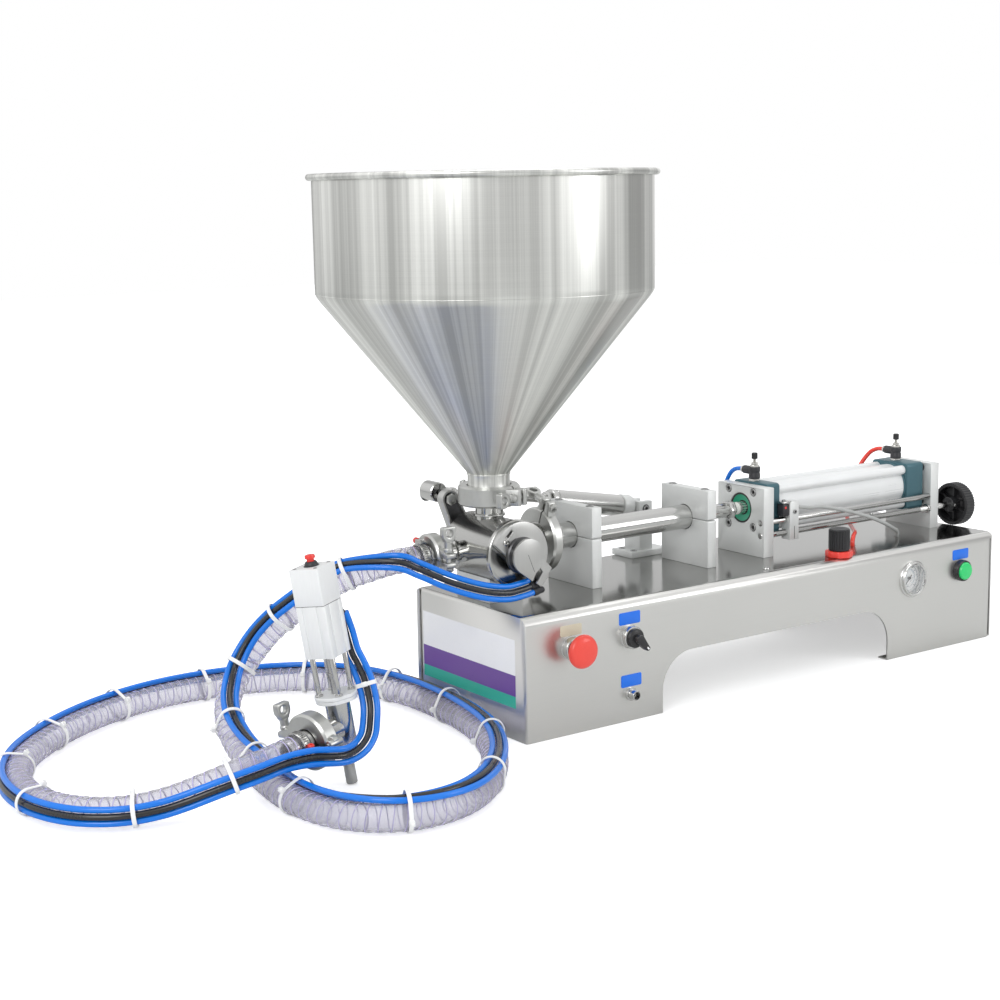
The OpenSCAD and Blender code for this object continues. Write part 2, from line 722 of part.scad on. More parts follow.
module actuator_stand() {
    color([0.88, 0.89, 0.88]) {
        difference() {
            union() {
                block(pivot_x - 28, pivot_x + 34, pivot_y - 21, pivot_y + 21, base_h, base_h + 8);
                block(pivot_x - 8, pivot_x + 8, pivot_y - 9, pivot_y + 9, base_h + 7, pivot_z - 14);
                for (s = [-1, 1]) translate([pivot_x, pivot_y + s * 12 - 4, base_h + 8])
                    rotate([90, 0, 0]) mirror([0, 0, 1]) linear_extrude(8) {
                        translate([-11, 0]) square([22, pivot_z - base_h - 8]);
                        translate([0, pivot_z - base_h - 8]) circle(11);
                    }
            }
            along_y(pivot_y - 20, pivot_y + 20, 8 + 0.2, pivot_x, pivot_z);
        }
        along_y(pivot_y - 19, pivot_y + 19, 8, pivot_x, pivot_z);
        for (y = [-12, 12]) translate([pivot_x - 18, pivot_y + y, base_h + 8])
            cylinder(h = 4, d = 9);
    }
}

module actuator_barrel() {
    color([0.8, 0.81, 0.8]) at_actuator() difference() {
        union() {
            rod_x(act_tail, act_front, act_d);
            rod_x(act_front, act_front + 10, 16);
            translate([0, 6, 0]) rotate([90, 0, 0]) cylinder(h = 12, d = 18);
            translate([0, -6, -8]) cube([act_tail + 2, 12, 16]);
        }
        translate([0, 10, 0]) rotate([90, 0, 0]) cylinder(h = 20, d = 8.3);
        rod_x(act_tail + act_cap, act_front - 8, act_d - 3);
        rod_x(act_front - 10, act_front + 12, act_rod_d + 0.4);
    }
}

module actuator_rod() {
    color([0.83, 0.84, 0.83]) at_actuator() difference() {
        union() {
            rod_x(act_front - 22, act_len - rod_end_d / 2 + 3, act_rod_d);
            rod_x(act_front - 30, act_front - 20, act_d - 3.6);
            translate([act_len, eye_l / 2, 0]) rotate([90, 0, 0]) cylinder(h = eye_l, d = rod_end_d);
        }
        translate([act_len, 20, 0]) rotate([90, 0, 0]) linear_extrude(40) eye_slot();
    }
}

// Slot that lets the crank pin swing while the rod runs straight
module eye_slot() {
    slot_w = pin_d + 2;
    for (s = [-1, 1]) translate([0, s * pin_rise / 2]) circle(d = slot_w);
    square([slot_w, pin_rise], center = true);
}

// Hose tail with its worm-drive band
module hose_tail() {
    color([0.82, 0.83, 0.82]) {
        difference() {
            union() {
                along_x(outlet_x - gasket_t / 2 - ferrule_t, outlet_x - gasket_t / 2, small_ferrule_d);
                along_x(HOSE[0][0] + 0.3, outlet_x - gasket_t / 2, 28);
                along_x(HOSE[0][0] - 26, outlet_x - gasket_t / 2, hose_bore - 2.4);
            }
            along_x(HOSE[0][0] - 30, outlet_x + 5, outlet_bore);
        }
        ring_x(HOSE[0][0] - 12, HOSE[0][0] - 3, hose_d + 0.3, hose_d + 2.3);
        translate([HOSE[0][0] - 11, 0, line_z + hose_r + 1]) cube([7, 9, 7], center = false);
    }
    color([0.9, 0.15, 0.1]) along_y(9, 14, 7.5, HOSE[0][0] - 7.5, line_z + hose_r + 4.5);
}

// Filling line
module material_cylinder() {
    color([0.8, 0.81, 0.8]) difference() {
        union() {
            along_x(joint_x + gasket_t / 2, cylinder_end, tube_d);
            along_x(joint_x + gasket_t / 2, joint_x + gasket_t / 2 + ferrule_t, ferrule_d);
        }
        along_x(joint_x - 1, cylinder_end + 1, bore_d);
    }
}

module saddle(x, z0, z1) {
    difference() {
        block(x, x + saddle_t, -saddle_w / 2, saddle_w / 2, z0, z1);
        along_x(x - 1, x + saddle_t + 1, tube_d + 0.1);
        for (s = [-1, 1]) translate([x + saddle_t / 2, s * 31, base_h])
            cylinder(h = saddle_top - base_h - 6, d = 6.4);
        for (s = [-1, 1]) translate([x + saddle_t / 2, s * 31, saddle_top - 7])
            cylinder(h = 20, d = 10.4);
    }
}

module saddle_lowers() {
    color([0.92, 0.93, 0.92]) for (x = [saddle_x1, saddle_x2])
        saddle(x, base_h, saddle_split - 0.3);
}

module saddle_uppers() {
    color([0.92, 0.93, 0.92]) for (x = [saddle_x1, saddle_x2])
        saddle(x, saddle_split + 0.3, saddle_top);
}

// Socket-head screw along Z, head top at the origin
module cap_screw(d, hd, hh, l) {
    difference() {
        union() {
            translate([0, 0, -hh]) cylinder(h = hh, d = hd);
            translate([0, 0, -l]) cylinder(h = l - hh + eps, d = d);
        }
        translate([0, 0, -hh * 0.6]) cylinder(h = hh, d = hd * 0.55, $fn = 6);
    }
}

module block_screws() {
    color([0.35, 0.35, 0.36]) {
        for (x = [saddle_x1, saddle_x2], s = [-1, 1])
            translate([x + saddle_t / 2, s * 31, saddle_top - 1])
                cap_screw(6, 10, 6, saddle_top - base_h - 8);
        for (y = [-1, 1], z = [-1, 1]) {
            translate([plate_x1 + 0.8, y * tie_s / 2, line_z + z * tie_s / 2]) rotate([0, -90, 0])
                cap_screw(6, 9.5, 6, plate_t1 - 0.8 + head_l1 - 4);
            translate([plate_x2 + plate_t2 - 0.8, y * tie_s / 2, line_z + z * tie_s / 2])
                rotate([0, 90, 0]) cap_screw(6, 9.5, 6, plate_t2 - 0.8 + 6);
        }
    }
}

module material_piston() {
    color([0.9, 0.9, 0.86]) difference() {
        along_x(piston_x - piston_l, piston_x, bore_d - 2 * piston_gap);
        along_x(piston_x - piston_l + 6, piston_x + 1, 12.1);
        for (x = [piston_x - piston_l + 4, piston_x - 7])
            ring_x(x, x + 3, bore_d - 4, bore_d + 4);
    }
}

module piston_rod() {
    color([0.86, 0.87, 0.86]) {
        along_x(piston_x, shaft_end, rod_d);
        along_x(piston_x - piston_l + 7, piston_x + 1, 12);
    }
    color([0.75, 0.75, 0.74]) translate([shaft_end, 0, line_z]) rotate([0, 90, 0]) difference() {
        hex(nut_af, nut_l);
        translate([0, 0, -1]) cylinder(h = nut_l + 2, d = air_rod_d - 3.8);
    }
}

module air_piston() {
    color([0.86, 0.87, 0.86]) {
        along_x(shaft_end + nut_l, air_piston_x, air_rod_d);
        along_x(shaft_end, shaft_end + nut_l + 1, air_rod_d - 4);
        along_x(air_piston_x, air_piston_x + air_piston_l, air_bore - 2 * piston_gap);
    }
}

module end_plates() {
    color([0.92, 0.93, 0.92]) {
        difference() {
            block(plate_x1, plate_x1 + plate_t1, -plate_w / 2, plate_w / 2, base_h, plate_top);
            along_x(plate_x1 - 1, plate_x1 + plate_t1 + 1, seal_d + 0.2);
            for (y = [-1, 1], z = [-1, 1]) {
                along_x(plate_x1 - 1, plate_x1 + plate_t1 + 1, 6.4, y * tie_s / 2,
                    line_z + z * tie_s / 2);
                along_x(plate_x1 - 1, plate_x1 + 7.2, 10.2, y * tie_s / 2, line_z + z * tie_s / 2);
            }
            along_x(plate_x1 - 1, plate_x1 + plate_t1 + 1, rods_d + 0.2, rods_y, guide_z);
            along_x(plate_x1 - 1, plate_x1 + plate_t1 + 1, rods_d + 0.4, rods_y, screw_z);
        }
        difference() {
            block(plate_x2, plate_x2 + plate_t2, -plate_w / 2 + 3, plate_w / 2 - 3,
                base_h, plate_top);
            for (y = [-1, 1], z = [-1, 1]) {
                along_x(plate_x2 - 1, plate_x2 + plate_t2 + 1, 6.4, y * tie_s / 2,
                    line_z + z * tie_s / 2);
                along_x(plate_x2 + plate_t2 - 7.2, plate_x2 + plate_t2 + 1, 10.2,
                    y * tie_s / 2, line_z + z * tie_s / 2);
            }
            along_x(plate_x2 - 1, plate_x2 + plate_t2 + 1, rods_d + 0.2, rods_y, guide_z);
            along_x(plate_x2 - 1, plate_x2 + plate_t2 + 1, rods_d + 0.4, rods_y, screw_z);
        }
    }
}

module rod_seal() {
    color([0.1, 0.55, 0.35]) translate([plate_x1 + 1, 0, line_z]) rotate([0, 90, 0])
        difference() {
            cylinder(h = plate_t1 - 1.3, d = seal_d);
            translate([0, 0, -1]) cylinder(h = 4, d = seal_d - 7);
            translate([0, 0, -2]) cylinder(h = plate_t1 + 4, d = air_rod_d + 2 * fit);
        }
}

module cylinder_heads() {
    color([0.18, 0.33, 0.37]) {
        translate([head_x1, 0, line_z]) rotate([0, 90, 0]) difference() {
            post_square(head_w, 5, head_l1);
            translate([0, 0, -1]) cylinder(h = head_l1 + 2, d = air_rod_d + 2 * fit);
            for (y = [-1, 1], z = [-1, 1]) translate([z * tie_s / 2, y * tie_s / 2, -1])
                cylinder(h = head_l1 - 3, d = 6.2);
            translate([-head_w / 2 - 1, 0, ctrl_x1 - head_x1]) rotate([0, 90, 0])
                cylinder(h = 11, d = 9.9);
        }
        translate([head_x2, 0, line_z]) rotate([0, 90, 0]) difference() {
            union() {
                post_square(head_w, 5, head_l2);
                cylinder(h = head_l2 + 7, d = seal_d);
            }
            translate([-head_w / 2 - 1, 0, ctrl_x2 - head_x2]) rotate([0, 90, 0])
                cylinder(h = 11, d = 9.9);
        }
    }
}

// Barrel with four lobes round its tie rods
module barrel() {
    color([0.93, 0.94, 0.94]) translate([barrel_x1, 0, line_z]) rotate([0, 90, 0])
        difference() {
            linear_extrude(head_x2 - barrel_x1) difference() {
                union() {
                    circle(d = barrel_d);
                    for (y = [-1, 1], z = [-1, 1]) translate([z * tie_s / 2, y * tie_s / 2])
                        circle(d = lobe_d);
                }
                circle(d = air_bore);
            }
        }
}

// Stroke setting
module guide_rod() {
    color([0.85, 0.86, 0.85])
        along_x(plate_x1, plate_x2 + plate_t2, rods_d, rods_y, guide_z);
}

module lead_screw() {
    color([0.85, 0.86, 0.85]) {
        along_x(plate_x1, wheel_x + wheel_w - 4, rods_d, rods_y, screw_z);
        along_x(plate_x2 - 4.3, plate_x2 - 0.3, rods_d + 4, rods_y, screw_z);
    }
}

module handwheel() {
    color([0.12, 0.12, 0.12]) translate([wheel_x, rods_y, screw_z]) rotate([0, 90, 0])
        difference() {
            union() {
                cylinder(h = wheel_w, d = wheel_d);
                translate([0, 0, -6]) cylinder(h = 8, d = 20);
            }
            difference() {
                translate([0, 0, -1]) cylinder(h = wheel_w - 3, d = wheel_d - 8);
                translate([0, 0, -8]) cylinder(h = wheel_w + 8, d = 20);
            }
            translate([0, 0, -8]) cylinder(h = wheel_w + 4, d = rods_d + 0.1);
            for (a = [0:7.5:359]) rotate(a) translate([wheel_d / 2 + 0.4, 0, -1])
                cylinder(h = wheel_w + 2, d = 2.4, $fn = 16);
        }
    color([0.85, 0.85, 0.84]) translate([wheel_x - 3, rods_y, screw_z + 10.2])
        cylinder(h = 2.5, d = 4.5);
}

module carriage() {
    color([0.92, 0.93, 0.92]) difference() {
        block(carriage_x, carriage_x + carriage_t, rods_y - 10, rods_y - 10 + carriage_w,
            carriage_z0, carriage_z1);
        along_x(carriage_x - 1, carriage_x + carriage_t + 1, rods_d + 2 * fit, rods_y, guide_z);
        along_x(carriage_x - 1, carriage_x + carriage_t + 1, rods_d + 2 * fit, rods_y, screw_z);
    }
}

module reed_switch() {
    color([0.12, 0.12, 0.13]) block(carriage_x - 11, carriage_x, rods_y - 9, rods_y + 3,
        guide_z + 6, carriage_z1 - 2);
    color([0.8, 0.8, 0.79]) block(carriage_x - 8, carriage_x, rods_y - 8, rods_y + 4,
        carriage_z1 - 2, carriage_z1 + 1);
}

module sensor_cable() {
    color([0.62, 0.63, 0.62]) cord(CABLE, 5, 14);
}

// Speed controllers on the heads, with their needles
module speed_controllers() {
    for (x = [ctrl_x1, ctrl_x2]) translate([x, 0, ctrl_z]) difference() {
        union() {
            color([0.8, 0.8, 0.78]) {
                translate([0, 0, -8]) cylinder(h = 11, d = 9.6);
                hex(13, 3.5);
                translate([0, 0, 19]) cylinder(h = 3, d = 12);
            }
            color([0.16, 0.16, 0.17]) {
                translate([0, 0, 3.5]) cylinder(h = 16, d = 15);
                along_y(0, 20, 11, 0, 14);
                along_y(19, 23, 9, 0, 14);
            }
        }
        translate([0, 0, 2]) cylinder(h = 30, d = 4.4);
        along_y(10, 30, 6.2, 0, 14);
    }
}

module needle(x) {
    translate([x, 0, ctrl_z]) {
        color([0.8, 0.8, 0.79]) {
            translate([0, 0, 4]) cylinder(h = 30, d = 4);
            translate([0, 0, 22.3]) hex(8, 3);
        }
        color([0.1, 0.1, 0.1]) translate([0, 0, 30]) cylinder(h = 8, d = 8);
    }
}

module needle_front() {
    needle(ctrl_x1);
}

module needle_rear() {
    needle(ctrl_x2);
}

module air_tubes() {
    color([0.05, 0.5, 0.95]) cord(TUBE_FRONT, 6, 14);
    color([0.95, 0.2, 0.15]) cord(TUBE_REAR, 6, 22);
}

// Front panel
collar_d = 28;
pedal_neck = 11.7;
gauge_body = 40;
reg_neck = 26;
module panel_collar(x, z, l) {
    translate([x, panel_y, z]) rotate([90, 0, 0]) difference() {
        union() {
            cylinder(h = l, d = collar_d);
            translate([0, 0, -22]) cylinder(h = 23, d = panel_hole - 2 * neck_gap);
            translate([0, 0, -sheet - 5]) cylinder(h = 5 - neck_gap, d = collar_d);
        }
        translate([0, 0, -30]) cylinder(h = l + 40, d = 8.5);
    }
}

module button_collars() {
    color([0.8, 0.8, 0.79]) {
        panel_collar(stop_x, stop_z, 12);
        panel_collar(select_x, select_z, 9);
    }
    color([0.12, 0.12, 0.12]) translate([0, 0, 0]) panel_collar_wide(power_x, power_z, 9);
}

module panel_collar_wide(x, z, l) {
    translate([x, panel_y, z]) rotate([90, 0, 0]) difference() {
        union() {
            cylinder(h = l, d = collar_d + 1);
            translate([0, 0, -22]) cylinder(h = 23, d = panel_hole - 2 * neck_gap);
            translate([0, 0, -sheet - 5]) cylinder(h = 5 - neck_gap, d = collar_d);
        }
        translate([0, 0, l - 6]) cylinder(h = 10, d = 24.6);
        translate([0, 0, -30]) cylinder(h = l + 40, d = 8.5);
    }
}

stop_push = 4;
module stop_stem() {
    color([0.3, 0.3, 0.31]) along_y(panel_y - 17, panel_y + 20, 8, stop_x, stop_z);
}

module stop_head() {
    color([0.9, 0.12, 0.1]) translate([stop_x, panel_y, stop_z]) rotate([90, 0, 0])
        difference() {
            rotate_extrude() {
                polygon([[0, 17.5], [stop_d / 2 - 3, 17.5], [stop_d / 2, 20.5], [stop_d / 2, 24],
                    [stop_d / 2 - 3, 28], [stop_d / 2 - 10, 30.4], [0, 31]]);
                translate([0, 12 + stop_push + 0.4]) square([7, 3]);
            }
            translate([0, 0, 0]) cylinder(h = 18, d = 8.2);
        }
}

module selector_knob() {
    color([0.1, 0.1, 0.11]) translate([select_x, panel_y, select_z]) rotate([90, 0, 0]) {
        translate([0, 0, 9 + fit]) cylinder(h = 5, d = 23);
        translate([0, 0, -15]) cylinder(h = 25, d = 8);
        rotate([0, 0, -48]) translate([0, 0, 13]) linear_extrude(9) bar2(5.5, 3, 16);
    }
}

module power_button() {
    color([0.1, 0.75, 0.35]) translate([power_x, panel_y, power_z]) rotate([90, 0, 0]) {
        translate([0, 0, 6.2]) cylinder(h = 6.5, d = 24);
        translate([0, 0, -15]) cylinder(h = 22, d = 8);
    }
}

module pedal_socket() {
    color([0.75, 0.75, 0.74]) translate([pedal_x, panel_y, pedal_z]) rotate([90, 0, 0])
        difference() {
            union() {
                cylinder(h = 3, d = 16);
                translate([0, 0, -16]) cylinder(h = 28, d = pedal_neck);
                translate([0, 0, -sheet - 5]) hex(15, 5 - neck_gap);
            }
            translate([0, 0, 4]) cylinder(h = 9, d = 9.4);
            translate([0, 0, -5]) cylinder(h = 10, d = 8);
        }
    color([0.1, 0.1, 0.1]) translate([pedal_x, panel_y, pedal_z]) rotate([90, 0, 0])
        translate([0, 0, -4.8]) cylinder(h = 8.4, d = 7.8);
}

module gauge_case() {
    translate([gauge_x, panel_y, gauge_z]) rotate([90, 0, 0]) {
        color([0.82, 0.83, 0.82]) difference() {
            union() {
                cylinder(h = 2.5, d = gauge_d);
                cylinder(h = 6, d = gauge_d - 4);
                translate([0, 0, -24]) cylinder(h = 25, d = gauge_body);
                translate([0, 0, -36]) cylinder(h = 13, d = 10);
            }
            translate([0, 0, -8]) cylinder(h = 20, d = gauge_body - 2);
        }
        color([0.95, 0.95, 0.94]) translate([0, 0, -8]) cylinder(h = 0.8, d = gauge_body - 2.4);
        color([0.85, 0.9, 0.92]) translate([0, 0, 3.2]) cylinder(h = 1.6, d = gauge_body - 2.4);
    }
}

module gauge_pointer() {
    color([0.08, 0.08, 0.08]) translate([gauge_x, panel_y, gauge_z]) rotate([90, 0, 0])
        translate([0, 0, -5]) rotate([0, 0, 225]) {
            translate([0, 0, -2]) cylinder(h = 4, d = 4);
            translate([-5, -0.7, 0.4]) cube([19, 1.4, 0.8]);
        }
}

module regulator_body() {
    color([0.88, 0.15, 0.12]) translate([regulator_x, regulator_y, base_h]) difference() {
        union() {
            cylinder(h = 8, d = 35.5);
            translate([0, 0, -sheet - 1]) cylinder(h = sheet + 2, d = reg_neck);
            translate([0, 0, -12]) cylinder(h = 13, d = 24);
        }
        translate([0, 0, -13]) cylinder(h = 33, d = 12.6);
    }
    color([0.4, 0.4, 0.42]) translate([regulator_x, regulator_y, 0]) difference() {
        translate([0, 0, base_h - sheet - 42]) cylinder(h = 35, d = 34);
        translate([0, 0, base_h - 12 - fit]) cylinder(h = 30, d = 24 + 2 * fit);
        translate([0, 0, base_h - 30]) cylinder(h = 30, d = 12.6);
    }
}

module regulator_knob() {
    color([0.1, 0.1, 0.11]) translate([regulator_x, regulator_y, base_h + 8 + fit]) {
        difference() {
            cylinder(h = 29, d = 27.5);
            for (a = [0:30:359]) rotate(a) translate([14.6, 0, 3])
                cylinder(h = 30, d = 3.2, $fn = 16);
        }
        translate([0, 0, -26]) cylinder(h = 27, d = 12);
    }
}

module solenoid_valve() {
    z1 = base_h - sheet;
    color([0.7, 0.71, 0.72]) block(40, 150, -22, 22, z1 - 22, z1);
    color([0.2, 0.2, 0.22]) for (x = [48, 84, 120])
        block(x, x + 24, -30, 30, z1 - 50, z1 - 22);
}

// Gun frame: origin at the nozzle tip, Z along the gun, inlet towards -Y
module at_gun() {
    translate([gun_x, gun_y, gun_lift]) rotate(a = gun_lean, v = lean_axis)
        rotate([0, 0, gun_yaw]) children();
}

module at_inlet() {
    at_gun() rotate([0, 0, inlet_turn]) translate([0, 0, inlet_w]) children();
}

module gun_head() {
    color([0.93, 0.94, 0.93]) at_gun() difference() {
        translate([0, 0, cyl_w1]) post_square(gun_w, 1.5, gun_top - cyl_w1);
        translate([0, 0, gun_top - 14]) cylinder(h = 20, d = 8.4);
    }
    color([0.15, 0.15, 0.15]) at_gun() translate([0, 0, gun_top]) difference() {
        cylinder(h = 5, d1 = 15, d2 = 12, $fn = 24);
        translate([0, 0, -1]) cylinder(h = 8, d = 9);
    }
}

module gun_button() {
    color([0.9, 0.15, 0.12]) at_gun() {
        translate([0, 0, gun_top + 5 + press_travel + 0.3]) cylinder(h = 4, d = 11);
        translate([0, 0, gun_top - 9]) cylinder(h = 15 + press_travel, d = 8);
    }
}

gun_bore = 25;
gun_rod_s = 12.5;
module gun_cylinder() {
    color([0.93, 0.94, 0.93]) at_gun() translate([0, 0, cyl_w0]) difference() {
        post_square(gun_w, 1.5, cyl_w1 - cyl_w0);
        translate([0, 0, 6]) cylinder(h = cyl_w1 - cyl_w0 - 12, d = gun_bore);
        translate([0, 0, -1]) cylinder(h = 20, d = 8.6);
        for (x = [-1, 1]) for (a = [0, 90]) rotate(a) {
            translate([x * 9 - 1.2, -gun_w / 2 - 1, -1]) cube([2.4, 2, 80]);
            translate([x * 9 - 1.2, gun_w / 2 - 1, -1]) cube([2.4, 2, 80]);
        }
    }
}

module gun_frame() {
    color([0.82, 0.83, 0.82]) at_gun() {
        difference() {
            intersection() {
                translate([0, 0, flange_w]) cylinder(h = frame_t, d = 46);
                rotate(53) translate([-30, -20.5, flange_w - 1]) cube([60, 41, frame_t + 2]);
            }
            translate([0, 0, flange_w - 1]) cylinder(h = frame_t + 2, d = 8.8);
        }
        for (x = [-1, 1], y = [-1, 1]) translate([x * gun_rod_s, y * gun_rod_s, flange_w + frame_t])
            cylinder(h = cyl_w0 - flange_w - frame_t, d = 6);
    }
}

module gun_valve() {
    color([0.8, 0.81, 0.8]) difference() {
        union() {
            at_gun() {
                cylinder(h = 34, d = nozzle_d);
                translate([0, 0, 32]) hex(18, 7);
                translate([0, 0, 38]) cylinder(h = flange_w - 38, d = 27);
            }
            at_inlet() rotate([90, 0, 0]) {
                cylinder(h = inlet_joint - gasket_t / 2, d = 25);
                translate([0, 0, inlet_joint - gasket_t / 2 - ferrule_t])
                    cylinder(h = ferrule_t, d = gun_ferrule_d);
            }
        }
        at_gun() {
            translate([0, 0, -1]) cylinder(h = 46, d = nozzle_d - 3.4);
            translate([0, 0, 44]) cylinder(h = 42, d = 20);
            translate([0, 0, 80]) cylinder(h = 20, d = 8.8);
        }
        at_inlet() rotate([90, 0, 0]) cylinder(h = 80, d = 19);
    }
}

gun_ferrule_d = 50.5;
gun_clamp_d = 62;
module gun_clamp() {
    color([0.72, 0.73, 0.72]) at_inlet() translate([0, -inlet_joint, 0]) rotate([0, 0, -90])
        rotate([0, 90, 0]) {
            clamp(gun_ferrule_d, 30, gun_clamp_d, 18);
            eye_nut(gun_clamp_d);
        }
}

module gun_tail() {
    color([0.82, 0.83, 0.82]) at_inlet() rotate([90, 0, 0]) translate([0, 0, inlet_joint]) {
        difference() {
            union() {
                translate([0, 0, -gasket_t / 2]) cylinder(h = gasket_t + ferrule_t - 1.2,
                    d = gun_ferrule_d - 1);
                cylinder(h = 12, d = 28);
                cylinder(h = hose_at - inlet_joint - 0.3, d = 27);
                cylinder(h = hose_at - inlet_joint + 24, d = hose_bore - 2.4);
            }
            translate([0, 0, -5]) cylinder(h = 70, d = 19);
        }
        translate([0, 0, hose_at - inlet_joint + 3]) difference() {
            cylinder(h = 9, d = hose_d + 2.6);
            translate([0, 0, -1]) cylinder(h = 11, d = hose_d + 0.8);
        }
    }
    color([0.9, 0.15, 0.1]) at_inlet() rotate([90, 0, 0])
        translate([-4, -hose_r - 3.9, hose_at + 7]) rotate([0, 90, 0]) cylinder(h = 10, d = 7);
}

module gun_valve_rod() {
    color([0.85, 0.86, 0.85]) at_gun() {
        translate([0, 0, 46]) cylinder(h = 112, d = 8);
        translate([0, 0, 45]) cylinder(h = 8, d = 14);
        translate([0, 0, cyl_w0 + 7]) cylinder(h = 12, d = gun_bore - 2 * piston_gap);
    }
}

// Least gap between stretches of the hose that are far apart along it
function self_gap(P, d) = let (F = fine(P, 3), L = lengths(F)) min([for (i = [0:len(F) - 2],
    j = [i + 1:len(F) - 1]) if (L[j] - L[i] > 120) norm(xyz(F[i]) - xyz(F[j])) - d]);
echo(hose_self_gap_mm = self_gap(HOSE, hose_d));

// Ribbed suction hose with its bore
module hose() {
    n = 8;
    T = track(fine(HOSE, 8));
    L = total(T);
    p = L / hose_ribs;
    m = floor(hose_ribs / 2);
    outer = [for (i = [0:hose_ribs - 1], h = [0, 1]) let (s = i * p + h * p * 0.5)
        each around(xyz(at(T, s)), heading(T, s), h == 0 ? hose_r : hose_r - 1, n, 22.5)];
    last = around(xyz(at(T, L)), heading(T, L), hose_r, n, 22.5);
    inner = [for (i = [0:m]) let (s = L * i / m)
        each around(xyz(at(T, s)), heading(T, s), hose_bore / 2, n, 22.5)];
    ro = 2 * hose_ribs;
    o = (ro + 1) * n;
    ends = [for (k = [0:n - 1]) let (j = (k + 1) % n) each [
        [k, j, o + k], [j, o + j, o + k],
        [ro * n + j, ro * n + k, o + m * n + k], [o + m * n + j, ro * n + j, o + m * n + k]]];
    color([0.86, 0.85, 0.88]) polyhedron(concat(outer, last, inner), concat(
        [for (i = [0:ro - 1]) each band(i, n)],
        [for (i = [0:m - 1]) each [for (f = band(i, n)) [o + f[0], o + f[2], o + f[1]]]], ends));
}

// The three air tubes: lead-in, along the hose, lead-out
function bundled(T, s, a) = let (q = at(T, s), t = heading(T, s), f = q[3] + a)
    xyz(q) + bundle_r * (sin(f) * side(t) + cos(f) * up(t));
function lean(p) = let (a = unit(lean_axis))
    p * cos(gun_lean) + cross(a, p) * sin(gun_lean) + a * (a * p) * (1 - cos(gun_lean));
function gun_pt(p) = [gun_x, gun_y, gun_lift] + lean([p[0] * cos(gun_yaw) - p[1] * sin(gun_yaw),
    p[0] * sin(gun_yaw) + p[1] * cos(gun_yaw), p[2]]);
function stacked(P, nrm, k) = let (n = len(P)) [for (i = [0:n - 1]) P[i] - k * (air_d + 0.7)
    * unit(cross(nrm, P[min(i + 1, n - 1)] - P[max(i - 1, 0)]))];
function gun_route(k) = let (T = track(fine(HOSE, 8)), L = total(T))
    concat(stacked(LEAD_IN, lead_in_n, k),
        [for (i = [0:86]) bundled(T, 96 + (L - 96 - 40) * i / 86, k * bundle_a)],
        stacked(LEAD_OUT, lead_out_n, k), [for (p = GUN_ENDS[k + 1]) gun_pt(p)]);

module gun_tubes() {
    color([0.05, 0.5, 0.95]) {
        cord(gun_route(-1), air_d, 124, 6);
        cord(gun_route(1), air_d, 124, 6);
    }
    color([0.12, 0.12, 0.13]) cord(gun_route(0), air_d, 124, 6);
}

// Cable ties round the hose and the tubes
tie_at = [104, 188, 262, 352, 436, 560, 700, 838, 972, 1110, 1228, 1352, 1478, 1600,
    1722, 1836, 1956, 2070, 2170];
tie_t = 1.3;
tie_w = 4.5;
function tie_outline(g) = let (r1 = hose_r + fit + g, r2 = hose_r - 1.5 + g, c = bundle_r - 7,
    a = acos((r1 - r2) / c)) concat(
    [for (i = [0:24]) let (f = 90 + a + (360 - 2 * a) * i / 24) [r1 * cos(f), r1 * sin(f)]],
    [for (i = [0:14]) let (f = 90 - a + 2 * a * i / 14) [r2 * cos(f), c + r2 * sin(f)]]);

module hose_bands() {
    T = track(fine(HOSE, 8));
    L = total(T);
    color([0.95, 0.95, 0.95]) for (s = tie_at) let (q = at(T, s * L / 2260),
        t = heading(T, s * L / 2260), w = side(t), v = up(t))
        multmatrix([[w[0], v[0], -t[0], q[0]], [w[1], v[1], -t[1], q[1]],
            [w[2], v[2], -t[2], q[2]], [0, 0, 0, 1]])
            translate([0, 0, -tie_w / 2]) rotate([0, 0, -q[3]])
                linear_extrude(tie_w) difference() {
                    polygon(tie_outline(tie_t));
                    polygon(tie_outline(0));
                }
}

base_housing();
labels();
hopper();
ferrule_gaskets();
ferrule_clamps();
valve_body();
valve_cover();
valve_stand();
valve_plug();
crank();
hose_tail();
material_cylinder();
saddle_lowers();
saddle_uppers();
block_screws();
material_piston();
piston_rod();
air_piston();
end_plates();
rod_seal();
cylinder_heads();
barrel();
guide_rod();
lead_screw();
handwheel();
carriage();
reed_switch();
sensor_cable();
speed_controllers();
needle_front();
needle_rear();
air_tubes();
actuator_stand();
actuator_barrel();
actuator_rod();
button_collars();
stop_stem();
stop_head();
selector_knob();
power_button();
pedal_socket();
gauge_case();
gauge_pointer();
regulator_body();
regulator_knob();
solenoid_valve();
hopper_nut();
outlet_nut();
cylinder_nut();
gun_head();
gun_cylinder();
gun_frame();
gun_valve();
gun_clamp();
gun_tail();
gun_button();
gun_valve_rod();
hose();
gun_tubes();
hose_bands();
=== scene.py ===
"""Looks for a tabletop piston filling machine with a hand gun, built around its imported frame.

Sizes are in millimetres in the row frame, as in the part's source, and become metres when a
piece is finished. X runs along the machine, -Y is the control side and Z is up.
"""

from __future__ import annotations

import logging
import math
from dataclasses import dataclass, field
from enum import Enum
from typing import Iterable, Sequence, Union

import bmesh
import bpy
from mathutils import Matrix, Vector


